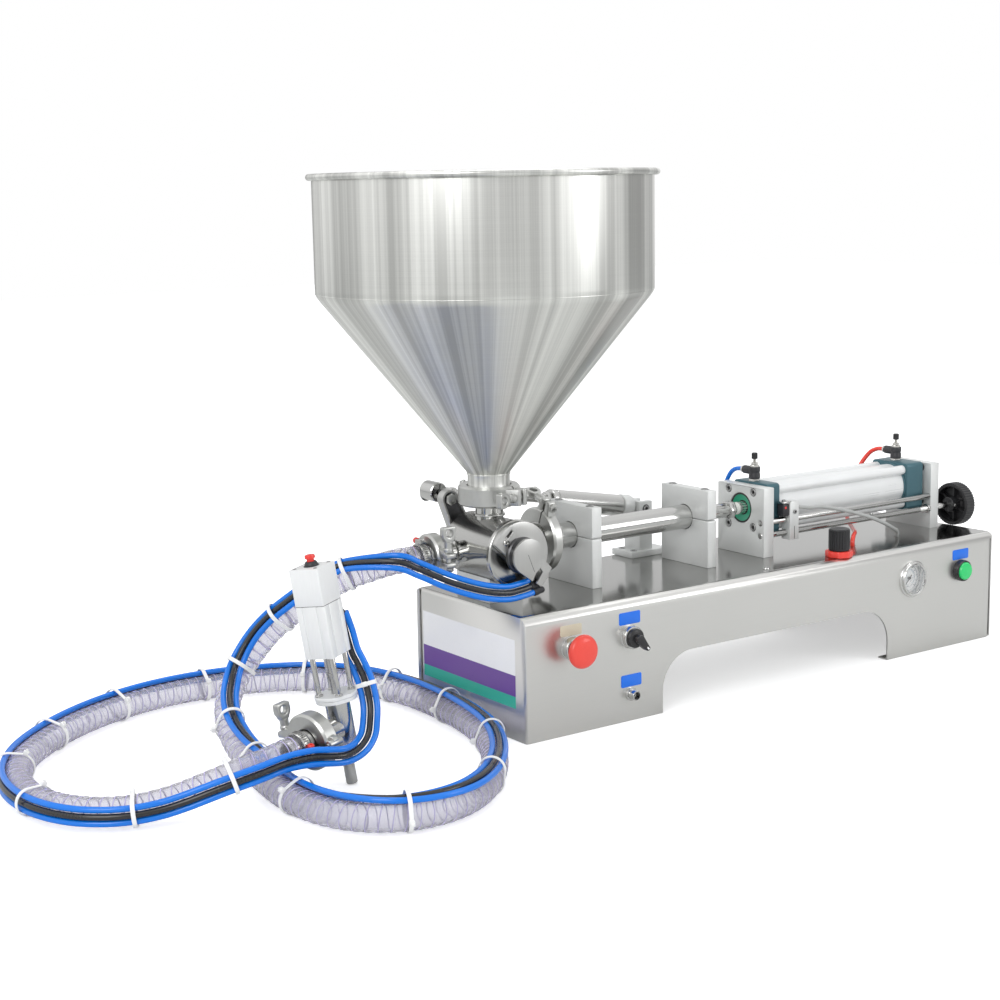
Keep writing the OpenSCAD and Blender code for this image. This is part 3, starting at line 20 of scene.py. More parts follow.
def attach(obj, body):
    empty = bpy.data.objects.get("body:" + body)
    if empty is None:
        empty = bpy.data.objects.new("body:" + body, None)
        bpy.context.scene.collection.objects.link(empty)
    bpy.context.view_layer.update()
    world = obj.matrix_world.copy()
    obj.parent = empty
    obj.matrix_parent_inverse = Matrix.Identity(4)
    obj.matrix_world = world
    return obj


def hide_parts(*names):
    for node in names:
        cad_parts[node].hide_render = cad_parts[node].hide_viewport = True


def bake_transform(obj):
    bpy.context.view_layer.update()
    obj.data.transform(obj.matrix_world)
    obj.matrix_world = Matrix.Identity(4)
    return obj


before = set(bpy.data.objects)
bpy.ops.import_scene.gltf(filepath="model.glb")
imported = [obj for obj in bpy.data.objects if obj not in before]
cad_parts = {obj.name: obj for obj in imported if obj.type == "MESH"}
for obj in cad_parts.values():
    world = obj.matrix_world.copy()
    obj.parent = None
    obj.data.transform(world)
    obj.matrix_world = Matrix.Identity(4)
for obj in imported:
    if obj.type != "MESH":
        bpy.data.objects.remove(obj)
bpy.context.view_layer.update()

LOG = logging.getLogger("filler")
MM = 0.001
MACHINE = "machine"
Point = Sequence[float]
Profile = Sequence[Sequence[float]]
Number = Union[float, "Signal"]
Colour = tuple[float, float, float]


class Signal:
    """A socket of a material's graph that takes part in arithmetic."""

    def __init__(self, graph: "Graph", socket: bpy.types.NodeSocket) -> None:
        """Keeps the graph and the socket."""
        self.graph = graph
        self.socket = socket

    def _math(self, operation: str, first: Number, second: Number) -> "Signal":
        """One Math node on two values."""
        return self.graph.node("ShaderNodeMath", {"operation": operation}, {0: first, 1: second})

    def __add__(self, other: Number) -> "Signal":
        """self + other."""
        return self._math("ADD", self, other)

    __radd__ = __add__

    def __mul__(self, other: Number) -> "Signal":
        """self * other."""
        return self._math("MULTIPLY", self, other)

    __rmul__ = __mul__

    def __sub__(self, other: Number) -> "Signal":
        """self - other."""
        return self._math("SUBTRACT", self, other)

    def __rsub__(self, other: Number) -> "Signal":
        """other - self."""
        return self._math("SUBTRACT", other, self)

    def __truediv__(self, other: Number) -> "Signal":
        """self / other."""
        return self._math("DIVIDE", self, other)

    def __gt__(self, other: Number) -> "Signal":
        """1 where self is greater, otherwise 0."""
        return self._math("GREATER_THAN", self, other)


class Graph:
    """The node graph of one material or of the world."""

    def __init__(self, owner: Union[bpy.types.Material, bpy.types.World]) -> None:
        """Empties the owner's graph and adds its output node.

        Args:
            owner: The material or the world.
        """
        owner.use_nodes = True
        self.tree = owner.node_tree
        self.tree.nodes.clear()
        kind = "World" if isinstance(owner, bpy.types.World) else "Material"
        self.output = self.tree.nodes.new(f"ShaderNodeOutput{kind}")

    def node(self, kind: str, settings: dict | None = None, sockets: dict | None = None,
             out: int | str = 0) -> Signal:
        """Adds a node.

        Args:
            kind: The node's type name.
            settings: Its own settings, or the stops of a ramp, which are set first.
            sockets: Values or signals by socket number or name.
            out: The output that is wanted.

        Returns:
            That output as a signal.
        """
        made = self.tree.nodes.new(kind)
        for key, value in (settings or {}).items():
            if key == "stops":
                self._stops(made.color_ramp, value)
            else:
                setattr(made, key, value)
        for key, value in (sockets or {}).items():
            if isinstance(value, Signal):
                self.tree.links.new(value.socket, made.inputs[key])
            else:
                made.inputs[key].default_value = value
        return Signal(self, made.outputs[out])

    @staticmethod
    def _stops(ramp: bpy.types.ColorRamp, stops: Sequence[tuple[float, float]]) -> None:
        """Gives a ramp its grey stops.

        Args:
            ramp: The ramp of a Color Ramp node.
            stops: Pairs of position and grey.
        """
        while len(ramp.elements) < len(stops):
            ramp.elements.new(0.5)
        for element, (place, grey) in zip(ramp.elements, stops):
            element.position = place
            element.color = (grey, grey, grey, 1.0)

    def place(self, scale: Point = (1, 1, 1), centre: Point = (0, 0, 0),
              turn: Point = (0, 0, 0)) -> Signal:
        """Object coordinates about a centre in millimetres, scaled per metre.

        Args:
            scale: Repeats of the pattern per metre along each axis.
            centre: The pattern's origin in millimetres.
            turn: Turns about the axes in radians.

        Returns:
            The coordinates.
        """
        spot = self.node("ShaderNodeTexCoord", out="Object")
        centred = self.node("ShaderNodeVectorMath", {"operation": "SUBTRACT"},
                            {0: spot, 1: tuple(c * MM for c in centre)})
        return self.node("ShaderNodeMapping", None,
                         {"Vector": centred, "Rotation": turn, "Scale": tuple(scale)})

    def noise(self, vector: Signal, scale: float = 1.0, detail: float = 2.0,
              rough: float = 0.5) -> Signal:
        """A noise from 0 to 1 on a vector."""
        return self.node("ShaderNodeTexNoise", None,
                         {"Vector": vector, "Scale": scale, "Detail": detail, "Roughness": rough})

    def mix(self, share: Number, first: Signal | Colour, second: Signal | Colour) -> Signal:
        """A colour between two colours."""
        pair = [c if isinstance(c, Signal) else (*c, 1.0) for c in (first, second)]
        return self.node("ShaderNodeMix", {"data_type": "RGBA", "clamp_factor": True},
                         {0: share, 6: pair[0], 7: pair[1]}, out=2)

    def bump(self, height: Signal, strength: float, depth_mm: float) -> Signal:
        """A normal that follows a height."""
        return self.node("ShaderNodeBump", None,
                         {"Height": height, "Strength": strength, "Distance": depth_mm * MM})

    def surface(self, **sockets: object) -> None:
        """Ends the graph in a Principled shader with these sockets.

        Args:
            sockets: Values or signals by socket name, with _ for a space.
        """
        named = {key.replace("_", " "): value for key, value in sockets.items()}
        shader = self.node("ShaderNodeBsdfPrincipled", None, named)
        self.tree.links.new(shader.socket, self.output.inputs["Surface"])


MATERIALS: dict[str, bpy.types.Material] = {}


def shade(colour: Colour, share: float) -> Colour:
    """A colour made lighter or darker by a share."""
    return tuple(min(1.0, c * share) for c in colour)


@dataclass(frozen=True)
class Finish:
    """A named finish that makes its material once."""

    name: str
    slot: str

    def material(self) -> bpy.types.Material:
        """The finish's material, made at its first use.

        Returns:
            The material.
        """
        if self.name not in MATERIALS:
            MATERIALS[self.name] = bpy.data.materials.new(self.name)
            self.dress(Graph(MATERIALS[self.name]))
        return MATERIALS[self.name]

    def dress(self, graph: Graph) -> None:
        """Fills the material's graph."""
        raise NotImplementedError


class Grain(Enum):
    """Which way the brush marks of a metal run, as stretches of the pattern."""

    ALONG_X = (4.0, 900.0, 900.0)
    ALONG_Y = (900.0, 4.0, 900.0)
    ALONG_Z = (900.0, 900.0, 4.0)
    CAST = (260.0, 260.0, 260.0)


@dataclass(frozen=True)
class Steel(Finish):
    """Brushed, turned or cast metal."""

    colour: Colour = (0.6, 0.6, 0.58)
    rough: float = 0.25
    grain: Grain = Grain.ALONG_X
    streak: float = 0.10
    cloud: float = 0.10
    relief: float = 0.10

    def dress(self, graph: Graph) -> None:
        """Brush marks and soft clouds in the colour, the gloss and the relief.

        Args:
            graph: The empty graph of the material.
        """
        marks = graph.noise(graph.place(self.grain.value), 1.0, 4.0, 0.6)
        clouds = graph.noise(graph.place((9.0, 9.0, 9.0)), 1.0, 2.0)
        tone = (marks - 0.5) * (2.0 * self.streak) + (clouds - 0.5) * (2.0 * self.cloud) + 0.5
        graph.surface(
            Base_Color=graph.mix(tone, shade(self.colour, 0.72), shade(self.colour, 1.22)),
            Metallic=1.0,
            Roughness=(marks - 0.5) * 0.16 + (clouds - 0.5) * 0.10 + self.rough,
            Normal=graph.bump(marks, self.relief, 0.05))


@dataclass(frozen=True)
class BentSheet(Finish):
    """Satin sheet, its top polished nearly to a mirror and darkened by a painted reflection."""

    side: Colour = (0.85, 0.845, 0.825)
    # the top's darker colour is a painted reflection on the same sheet as the sides
    top: Colour = (0.44, 0.44, 0.43)
    level: float = 146.6

    def dress(self, graph: Graph) -> None:
        """Fine brush marks on the sides, soft clouds on the top.

        Args:
            graph: The empty graph of the material.
        """
        spot = graph.node("ShaderNodeTexCoord", out="Object")
        height = graph.node("ShaderNodeSeparateXYZ", None, {0: spot}, out=2)
        upper = height > self.level * MM
        marks = graph.noise(graph.place((5.0, 1400.0, 1400.0)), 1.0, 4.0, 0.6)
        clouds = graph.noise(graph.place((5.0, 5.0, 5.0)), 1.0, 2.0)
        tone = (marks - 0.5) * 0.24 + (clouds - 0.5) * 0.30 + 0.5
        # painted reflection: the top, above the level, takes the darker colour
        base = graph.mix(upper, self.side, self.top)
        dark = graph.node("ShaderNodeMix", {"data_type": "RGBA", "blend_type": "MULTIPLY"},
                          {0: 1.0, 6: base, 7: (0.82, 0.82, 0.82, 1.0)}, out=2)
        graph.surface(
            Base_Color=graph.mix(tone, dark, base),
            Metallic=1.0,
            Roughness=(marks - 0.5) * 0.10 + (clouds - 0.5) * 0.06 + 0.34 - upper * 0.21,
            Normal=graph.bump(marks, 0.03, 0.03))


@dataclass(frozen=True)
class SpunSteel(Finish):
    """Sheet rolled and brushed round an upright axis, with painted reflection bands and brush
    streaks down it.
    """

    colour: Colour = (0.84, 0.845, 0.815)
    rough: float = 0.33
    centre: Point = (0, 0, 0)

    def dress(self, graph: Graph) -> None:
        """Painted reflection bands and fine brush streaks by direction, brush marks round the axis.

        Args:
            graph: The empty graph of the material.
        """
        spot = graph.place((1, 1, 0), self.centre)
        outward = graph.node("ShaderNodeVectorMath", {"operation": "NORMALIZE"}, {0: spot})
        painted_reflection_bands = graph.noise(outward, 5.2, 2.0, 0.5)
        fine = graph.noise(outward, 26.0, 4.0, 0.62)
        rings = graph.noise(graph.place((5.0, 5.0, 1500.0), self.centre), 1.0, 3.0, 0.6)
        # painted reflection: the broad bands stand for reflections; fine streaks and rings are
        # brush marks
        tone = (painted_reflection_bands - 0.5) * 3.0 + (fine - 0.5) * 1.7 + (rings - 0.5) * 0.22 + 0.5
        graph.surface(
            Base_Color=graph.mix(tone, shade(self.colour, 0.66), shade(self.colour, 1.18)),
            Metallic=1.0,
            Roughness=(fine - 0.5) * 0.16 + (rings - 0.5) * 0.10 + self.rough,
            Normal=graph.bump(rings + fine * 0.6, 0.10, 0.06))


@dataclass(frozen=True)
class Moulded(Finish):
    """Plastic, rubber or paint with a fine skin."""

    colour: Colour = (0.5, 0.5, 0.5)
    rough: float = 0.35
    skin: float = 0.12
    coat: float = 0.0
    metal: float = 0.0
    grain: Point = (420.0, 420.0, 420.0)

    def dress(self, graph: Graph) -> None:
        """A small change of colour and gloss over the skin, and its fine relief.

        Args:
            graph: The empty graph of the material.
        """
        skin = graph.noise(graph.place(self.grain), 1.0, 3.0, 0.55)
        wear = graph.noise(graph.place((14.0, 14.0, 14.0)), 1.0, 3.0)
        graph.surface(
            Base_Color=graph.mix((wear - 0.5) * 0.9 + (skin - 0.5) * 0.35 + 0.5,
                                 shade(self.colour, 0.90), shade(self.colour, 1.08)),
            Metallic=self.metal,
            Roughness=(wear - 0.5) * 0.14 + (skin - 0.5) * 0.08 + self.rough,
            Coat_Weight=self.coat,
            Coat_Roughness=0.08,
            Normal=graph.bump(skin, self.skin, 0.06))


@dataclass(frozen=True)
class Clear(Finish):
    """Clear plastic or glass."""

    colour: Colour = (0.9, 0.9, 0.95)
    rough: float = 0.08
    through: float = 1.0
    density: float = 1.45
    alpha: float = 1.0
    ripple: float = 0.05

    def dress(self, graph: Graph) -> None:
        """A slight haze and ripple over a clear wall.

        Args:
            graph: The empty graph of the material.
        """
        haze = graph.noise(graph.place((60.0, 60.0, 60.0)), 1.0, 3.0)
        graph.surface(
            Base_Color=graph.mix(haze, shade(self.colour, 0.93), shade(self.colour, 1.03)),
            Roughness=(haze - 0.5) * 0.12 + self.rough,
            Transmission_Weight=self.through,
            IOR=self.density,
            Alpha=self.alpha,
            Normal=graph.bump(haze, self.ripple, 0.2))


BASE_SHEET = BentSheet("base_sheet", "housing_sheet")
HOPPER_SHEET = SpunSteel("spun_hopper", "hopper_sheet", centre=(-290, 0, 0))
VALVE_STEEL = Steel("turned_valve_steel", "valve_steel", (0.56, 0.56, 0.545), 0.19, Grain.ALONG_Y,
                    0.16, 0.25, 0.06)
CHROME_VALVE = Steel("polished_valve_neck", "valve_steel", (0.62, 0.62, 0.605), 0.14, Grain.CAST,
                     0.10, 0.25, 0.04)
FACE_STEEL = Steel("faced_valve_steel", "valve_steel", (0.60, 0.60, 0.59), 0.36, Grain.ALONG_Z,
                   0.12, 0.14, 0.08)
DISH_STEEL = Steel("dished_valve_steel", "valve_steel", (0.66, 0.66, 0.65), 0.42, Grain.CAST,
                   0.10, 0.30, 0.05)
# painted shadow: near-black steel on the boss's side, where the boss is shaded
BOSS_SHADOW = Steel("boss_side_painted_shadow", "valve_steel", (0.13, 0.13, 0.135), 0.30, Grain.CAST,
                    0.30, 0.30)
CAST_STEEL = Steel("tumbled_clamp_steel", "cast_clamp", (0.58, 0.585, 0.57), 0.32, Grain.CAST,
                   0.14, 0.28, 0.22)
POLISHED = Steel("polished_rod", "tube_steel", (0.62, 0.62, 0.61), 0.14, Grain.ALONG_X,
                 0.10, 0.10, 0.04)
POLISHED_UP = Steel("polished_gun_rod", "tube_steel", (0.60, 0.60, 0.59), 0.16, Grain.ALONG_Z,
                    0.10, 0.10, 0.04)
# painted shade: dark grey for the shaded floor of the crank's pocket
CRANK_RECESS_SHADE = Steel("crank_recess_painted_shade", "valve_steel", (0.19, 0.19, 0.20), 0.42, Grain.CAST,
                     0.5, 0.25)
# painted shade: near-black for shaded floors of pockets, slots, counterbores and gaps
PAINTED_CAVITY_SHADE = Moulded("painted_cavity_shade", "valve_steel", (0.16, 0.16, 0.16), 0.5, 0.4, metal=0.6)
BLOCK = Moulded("milled_block", "white_block", (0.73, 0.74, 0.73), 0.38, 0.10, metal=0.24,
                grain=(40.0, 900.0, 900.0))
SCREW_STEEL = Steel("screw_steel", "dark_screw", (0.42, 0.42, 0.42), 0.30, Grain.CAST)
# painted shade: black for the shaded floor of a screw's socket
SOCKET_SHADE = Moulded("painted_socket_shade", "dark_screw", (0.02, 0.02, 0.02), 0.5)
SEAL_GREEN = Moulded("seal_lip_green", "seal_green", (0.02, 0.36, 0.20), 0.30)
SEAL_BLACK = Moulded("seal_black", "seal_green", (0.02, 0.02, 0.022), 0.4)
TEAL = Moulded("cast_teal", "head_teal", (0.055, 0.135, 0.165), 0.36, 0.18, metal=0.25)
BARREL = Moulded("barrel_anodised", "barrel_white", (0.80, 0.81, 0.81), 0.30, 0.05, 0.25, 0.15,
                 (5.0, 700.0, 700.0))
GUN_BLOCK = Moulded("gun_anodised", "barrel_white", (0.84, 0.85, 0.85), 0.36, 0.06, 0.15, 0.15,
                    (700.0, 700.0, 8.0))
BLACK = Moulded("moulded_black", "wheel_black", (0.022, 0.022, 0.024), 0.34, 0.22)
FITTING_BLACK = Moulded("fitting_black", "fitting_mix", (0.03, 0.03, 0.034), 0.42, 0.3)
PLATED = Steel("plated_fitting", "fitting_mix", (0.74, 0.73, 0.70), 0.22, Grain.CAST)
CHROME = Steel("plated_collar", "collar_chrome", (0.64, 0.64, 0.63), 0.15, Grain.CAST)
SPINDLE = Steel("gun_spindle", "tube_steel", (0.44, 0.44, 0.44), 0.24, Grain.ALONG_Z)
STOP_RED = Moulded("mushroom_red", "stop_red", (0.86, 0.065, 0.045), 0.36, 0.06, 0.35)
PRESS_RED = Moulded("press_red", "stop_red", (0.80, 0.04, 0.03), 0.34, 0.06, 0.3)
LENS_GREEN = Moulded("button_green", "lens_green", (0.015, 0.62, 0.16), 0.22, 0.04, 0.6)
NUT_RED = Moulded("lobed_nut_red", "regulator_red", (0.84, 0.05, 0.035), 0.32, 0.08, 0.3)
TUBE_BLUE = Moulded("tube_blue", "tube_colour", (0.0, 0.185, 0.76), 0.24, 0.04, 0.2)
TUBE_BLACK = Moulded("tube_black", "tube_colour", (0.020, 0.020, 0.021), 0.26, 0.05, 0.3)
TUBE_RED = Moulded("tube_red", "tube_colour", (0.86, 0.05, 0.03), 0.24, 0.04, 0.4)
CABLE_GREY = Moulded("cable_skin", "cable_grey", (0.40, 0.41, 0.40), 0.42, 0.2)
TIE_WHITE = Moulded("tie_nylon", "tie_white", (0.90, 0.90, 0.89), 0.40, 0.1)
GASKET = Moulded("gasket_white", "gasket_rubber", (0.84, 0.83, 0.80), 0.5, 0.15)
PISTON_WHITE = Moulded("turned_white", "piston_white", (0.86, 0.86, 0.82), 0.42, 0.1)
PLATE_WHITE = Moulded("name_plate_white", "tag_print", (0.97, 0.97, 0.98), 0.32, 0.03, 0.3)
PLATE_VIOLET = Moulded("name_plate_violet", "tag_print", (0.155, 0.06, 0.33), 0.32, 0.03, 0.3)
PLATE_GREEN = Moulded("name_plate_green", "tag_print", (0.055, 0.50, 0.36), 0.32, 0.03, 0.3)
TAG_BLUE = Moulded("tag_blue", "tag_print", (0.0, 0.16, 0.80), 0.34, 0.06, 0.2)
TAG_BEIGE = Moulded("tag_beige", "tag_print", (0.64, 0.59, 0.45), 0.40, 0.06)
DIAL_WHITE = Moulded("dial_white", "gauge_mix", (0.93, 0.94, 0.94), 0.45, 0.03)
DIAL_INK = Moulded("dial_ink", "gauge_mix", (0.03, 0.05, 0.09), 0.5, 0.03)
DIAL_BLUE = Moulded("dial_blue", "gauge_mix", (0.03, 0.25, 0.45), 0.5, 0.03)
CASE_CHROME = Steel("gauge_chrome", "gauge_mix", (0.76, 0.76, 0.75), 0.15, Grain.CAST)
GLASS = Clear("gauge_glass", "gauge_mix", (0.97, 0.99, 1.0), 0.03, alpha=0.2)
POINTER = Moulded("hand_black", "pointer_black", (0.02, 0.02, 0.02), 0.5)
BANK = Moulded("bank_case", "valve_bank", (0.30, 0.31, 0.33), 0.45, 0.3)
HOSE_WALL = Clear("hose_wall", "hose_clear", (0.93, 0.92, 0.975), 0.10, 0.90, 1.20, 0.85, 0.0)
HOSE_WIRE = Moulded("hose_helix", "hose_clear", (0.54, 0.49, 0.76), 0.34, 0.08)


class Axis(Enum):
    """Where the upright axis of a shape is laid; ACROSS raises an outline of Y and Z along X."""

    UP = Matrix.Identity(4)
    RIGHT = Matrix.Rotation(math.radians(90), 4, "Y")
    LEFT = Matrix.Rotation(math.radians(-90), 4, "Y")
    FRONT = Matrix.Rotation(math.radians(90), 4, "X")
    BACK = Matrix.Rotation(math.radians(-90), 4, "X")
    ACROSS = Matrix(((0, 0, 1, 0), (1, 0, 0, 0), (0, 1, 0, 0), (0, 0, 0, 1)))


class Solid:
    """A closed shape in millimetres, made and changed with bmesh operators."""

    def __init__(self, bm: bmesh.types.BMesh) -> None:
        """Keeps the mesh that the shape is made in."""
        self.bm = bm

    @classmethod
    def lathe(cls, profile: Profile, segments: int = 64, soften: float = 0.0,
              closed: bool = False) -> "Solid":
        """Turns a profile of radius and height round the upright axis.

        Args:
            profile: Points of radius and height.
            segments: Faces round the axis.
            soften: Width of the round put on every corner of the profile.
            closed: True for a ring, whose last point joins its first.

        Returns:
            The turned shape.
        """
        bm = bmesh.new()
        verts = [bm.verts.new((r, 0.0, z)) for r, z in profile]
        for pair in zip(verts, verts[1:] + (verts[:1] if closed else [])):
            bm.edges.new(pair)
        if soften:
            bmesh.ops.bevel(bm, geom=[v for v in verts if len(v.link_edges) == 2],
                            offset=soften, offset_type="OFFSET", segments=3, profile=0.5,
                            affect="VERTICES", material=-1, clamp_overlap=True)
        bmesh.ops.spin(bm, geom=bm.verts[:] + bm.edges[:], cent=(0, 0, 0), axis=(0, 0, 1),
                       angle=math.tau, steps=segments, use_merge=True)
        bmesh.ops.remove_doubles(bm, verts=bm.verts[:], dist=1e-4)
        bmesh.ops.recalc_face_normals(bm, faces=bm.faces[:])
        return cls(bm)

    @classmethod
    def rod(cls, diameter: float, length: float, edge: float = 0.3, segments: int = 48,
            top: float | None = None) -> "Solid":
        """A rod or cone that stands on the origin, with softened rims.

        Args:
            diameter: Diameter of the foot.
            length: Height.
            edge: Width of the softened rims, 0 for sharp ones.
            segments: Faces round it.
            top: Diameter of the top, where it is another.

        Returns:
            The rod.
        """
        bm = bmesh.new()
        bmesh.ops.create_cone(bm, cap_ends=True, segments=segments, radius1=diameter / 2,
                              radius2=(diameter if top is None else top) / 2, depth=length)
        made = cls(bm).move(0, 0, length / 2)
        return made.bevel(edge, 30, 2) if edge else made

    @classmethod
    def hexagon(cls, flats: float, length: float, edge: float = 0.4) -> "Solid":
        """A hexagon bar that stands on the origin."""
        return cls.rod(flats / math.cos(math.radians(30)), length, edge, 6)

    @classmethod
    def block(cls, low: Point, high: Point, edge: float = 0.4, corner: float = 0.0,
              steps: int = 2) -> "Solid":
        """A block between two corners, with round upright corners where asked.

        Args:
            low: The corner with the least coordinates.
            high: The corner with the greatest coordinates.
            edge: Width of the softened edges, 0 for sharp ones.
            corner: Radius of the upright corners.
            steps: Faces across a softened edge.

        Returns:
            The block.
        """
        bm = bmesh.new()
        bmesh.ops.create_cube(bm, size=1.0)
        size = [h - l for l, h in zip(low, high)]
        made = cls(bm)
        bmesh.ops.scale(bm, vec=size, verts=bm.verts[:])
        if corner:
            upright = [e for e in bm.edges
                       if abs(e.verts[0].co.z - e.verts[1].co.z) > size[2] / 2]
            bmesh.ops.bevel(bm, geom=upright, offset=corner, offset_type="OFFSET", segments=6,
                            profile=0.5, affect="EDGES", material=-1)
        made.move(*[(h + l) / 2 for l, h in zip(low, high)])
        return made.bevel(edge, 40, steps) if edge else made

    @classmethod
    def prism(cls, outline: Profile, height: float, edge: float = 0.4) -> "Solid":
        """A flat outline raised from the origin.

        Args:
            outline: The outline's points in order.
            height: How far it is raised.
            edge: Width of the softened edges, 0 for sharp ones.

        Returns:
            The raised shape.
        """
        bm = bmesh.new()
        face = bm.faces.new([bm.verts.new((x, y, 0.0)) for x, y in outline])
        raised = bmesh.ops.extrude_face_region(bm, geom=[face])["geom"]
        bmesh.ops.translate(bm, vec=(0, 0, height),
                            verts=[g for g in raised if isinstance(g, bmesh.types.BMVert)])
        bmesh.ops.recalc_face_normals(bm, faces=bm.faces[:])
        made = cls(bm)
        return made.bevel(edge, 35, 2) if edge else made

    @classmethod
    def ring(cls, outer: float, inner: float, length: float, soften: float = 0.4,
             segments: int = 64) -> "Solid":
        """A plain ring that stands on the origin, by its two diameters."""
        return cls.lathe([(inner / 2, 0), (outer / 2, 0), (outer / 2, length),
                          (inner / 2, length)], segments, soften, True)

    @classmethod
    def copy_of(cls, node: str) -> "Solid":
        """A merged copy of a CAD node in millimetres, its flat faces joined.

        Args:
            node: The CAD node's name.

        Returns:
            The copy.
        """
        bm = bmesh.new()
        bm.from_mesh(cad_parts[node].data)
        bmesh.ops.scale(bm, vec=(1 / MM,) * 3, verts=bm.verts[:])
        bmesh.ops.remove_doubles(bm, verts=bm.verts[:], dist=0.004)
        bmesh.ops.dissolve_limit(bm, angle_limit=math.radians(0.6), verts=bm.verts[:],
                                 edges=bm.edges[:])
        return cls(bm)

    def bevel(self, width: float, angle: float = 30.0, steps: int = 2) -> "Solid":
        """Rounds every edge sharper than an angle in degrees.

        Args:
            width: Width of the round.
            angle: The least angle in degrees.
            steps: Faces across the round.

        Returns:
            The same shape.
        """
        sharp = [e for e in self.bm.edges if e.is_manifold
                 and e.calc_face_angle(0.0) > math.radians(angle)]
        if sharp:
            bmesh.ops.bevel(self.bm, geom=sharp, offset=width, offset_type="OFFSET",
                            segments=steps, profile=0.5, affect="EDGES", material=-1,
                            clamp_overlap=True)
        return self

    def move(self, x: float = 0, y: float = 0, z: float = 0) -> "Solid":
        """Shifts the shape."""
        bmesh.ops.translate(self.bm, vec=(x, y, z), verts=self.bm.verts[:])
        return self

    def put(self, matrix: Matrix) -> "Solid":
        """Places the shape with a matrix."""
        bmesh.ops.transform(self.bm, matrix=matrix, verts=self.bm.verts[:])
        return self

    def lay(self, axis: Axis, x: float = 0, y: float = 0, z: float = 0) -> "Solid":
        """Lays the shape's upright axis another way and moves its origin to a point."""
        return self.put(axis.value).move(x, y, z)

    def turn(self, degrees: float, axis: str = "Z") -> "Solid":
        """Turns the shape about an axis through the origin."""
        return self.put(Matrix.Rotation(math.radians(degrees), 4, axis))

    def cut(self, point: Point, normal: Point) -> "Solid":
        """Cuts off what lies on the normal's side of a plane and closes the cut.

        Args:
            point: A point of the plane.
            normal: The side that is cut off.

        Returns:
            The same shape.
        """
        geom = self.bm.verts[:] + self.bm.edges[:] + self.bm.faces[:]
        made = bmesh.ops.bisect_plane(self.bm, geom=geom, plane_co=point, plane_no=normal,
                                      clear_outer=True)
        rim = [g for g in made["geom_cut"] if isinstance(g, bmesh.types.BMEdge)]
        bmesh.ops.holes_fill(self.bm, edges=rim, sides=0)
        return self

    def twin(self) -> "Solid":
        """A copy of the shape."""
        return Solid(self.bm.copy())

    def join(self, *others: "Solid") -> "Solid":
        """Takes in other shapes, which are used up.

        Args:
            others: The shapes to take in.

        Returns:
            The same shape.
        """
        for other in others:
            carrier = bpy.data.meshes.new("carrier")
            other.bm.to_mesh(carrier)
            other.bm.free()
            self.bm.from_mesh(carrier)
            bpy.data.meshes.remove(carrier)
        return self


Parts = Sequence[tuple[Solid, Finish]]


def as_object(name: str, parts: Parts, smooth: float = 34.0) -> bpy.types.Object:
    """Joins shapes into one object at the origin, a material for each finish.

    Args:
        name: The piece's name.
        parts: Shapes with their finishes.
        smooth: Edges sharper than this many degrees stay sharp.

    Returns:
        The object, linked into the scene, in metres.
    """
    mesh = bpy.data.meshes.new(name)
    finishes: list[Finish] = []
    whole = Solid(bmesh.new())
    for shape, finish in parts:
        if finish not in finishes:
            finishes.append(finish)
            mesh.materials.append(finish.material())
        for face in shape.bm.faces:
            face.material_index = finishes.index(finish)
        whole.join(shape)
    bmesh.ops.scale(whole.bm, vec=(MM,) * 3, verts=whole.bm.verts[:])
    whole.bm.to_mesh(mesh)
    whole.bm.free()
    mesh.shade_smooth()
    mesh.set_sharp_from_angle(angle=math.radians(smooth))
    made = bpy.data.objects.new(name, mesh)
    bpy.context.scene.collection.objects.link(made)
    return made


def piece(name: str, parts: Parts, body: str = MACHINE, replaces: Iterable[str] = (),
          smooth: float = 34.0) -> bpy.types.Object:
    """Makes a finished piece that rides on a body and may stand for CAD nodes.

    Args:
        name: The piece's name.
        parts: Shapes with their finishes.
        body: The body that it rides on.
        replaces: The CAD nodes that it stands for.
        smooth: Edges sharper than this many degrees stay sharp.

    Returns:
        The piece.
    """
    made = as_object(name, parts, smooth)
    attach(made, body)
    if replaces:
        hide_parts(*replaces)
    LOG.info("%s on %s, %d faces", name, body, len(made.data.polygons))
    return made


def refined(node: str, finish: Finish, edge: float = 0.5, body: str = MACHINE,
            angle: float = 38.0) -> bpy.types.Object:
    """A merged copy of a CAD node with softened edges, which stands for the node.

    Args:
        node: The CAD node.
        finish: The copy's finish.
        edge: Width of the softened edges.
        body: The body that it rides on.
        angle: Edges sharper than this are softened.

    Returns:
        The piece.
    """
    made = piece(f"{node}_fine", [(Solid.copy_of(node), finish)], body, [node], angle)
    soft = made.modifiers.new("edges", "BEVEL")
    soft.width = edge * MM
    soft.segments = 2
    soft.limit_method = "ANGLE"
    soft.angle_limit = math.radians(angle)
    soft.harden_normals = True
    return made


def carried(node: str, finish: Finish) -> None:
    """Gives a CAD node that stays its finish.

    Args:
        node: The CAD node.
        finish: Its finish.
    """
    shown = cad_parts[node]
    shown.data.materials.clear()
    shown.data.materials.append(finish.material())


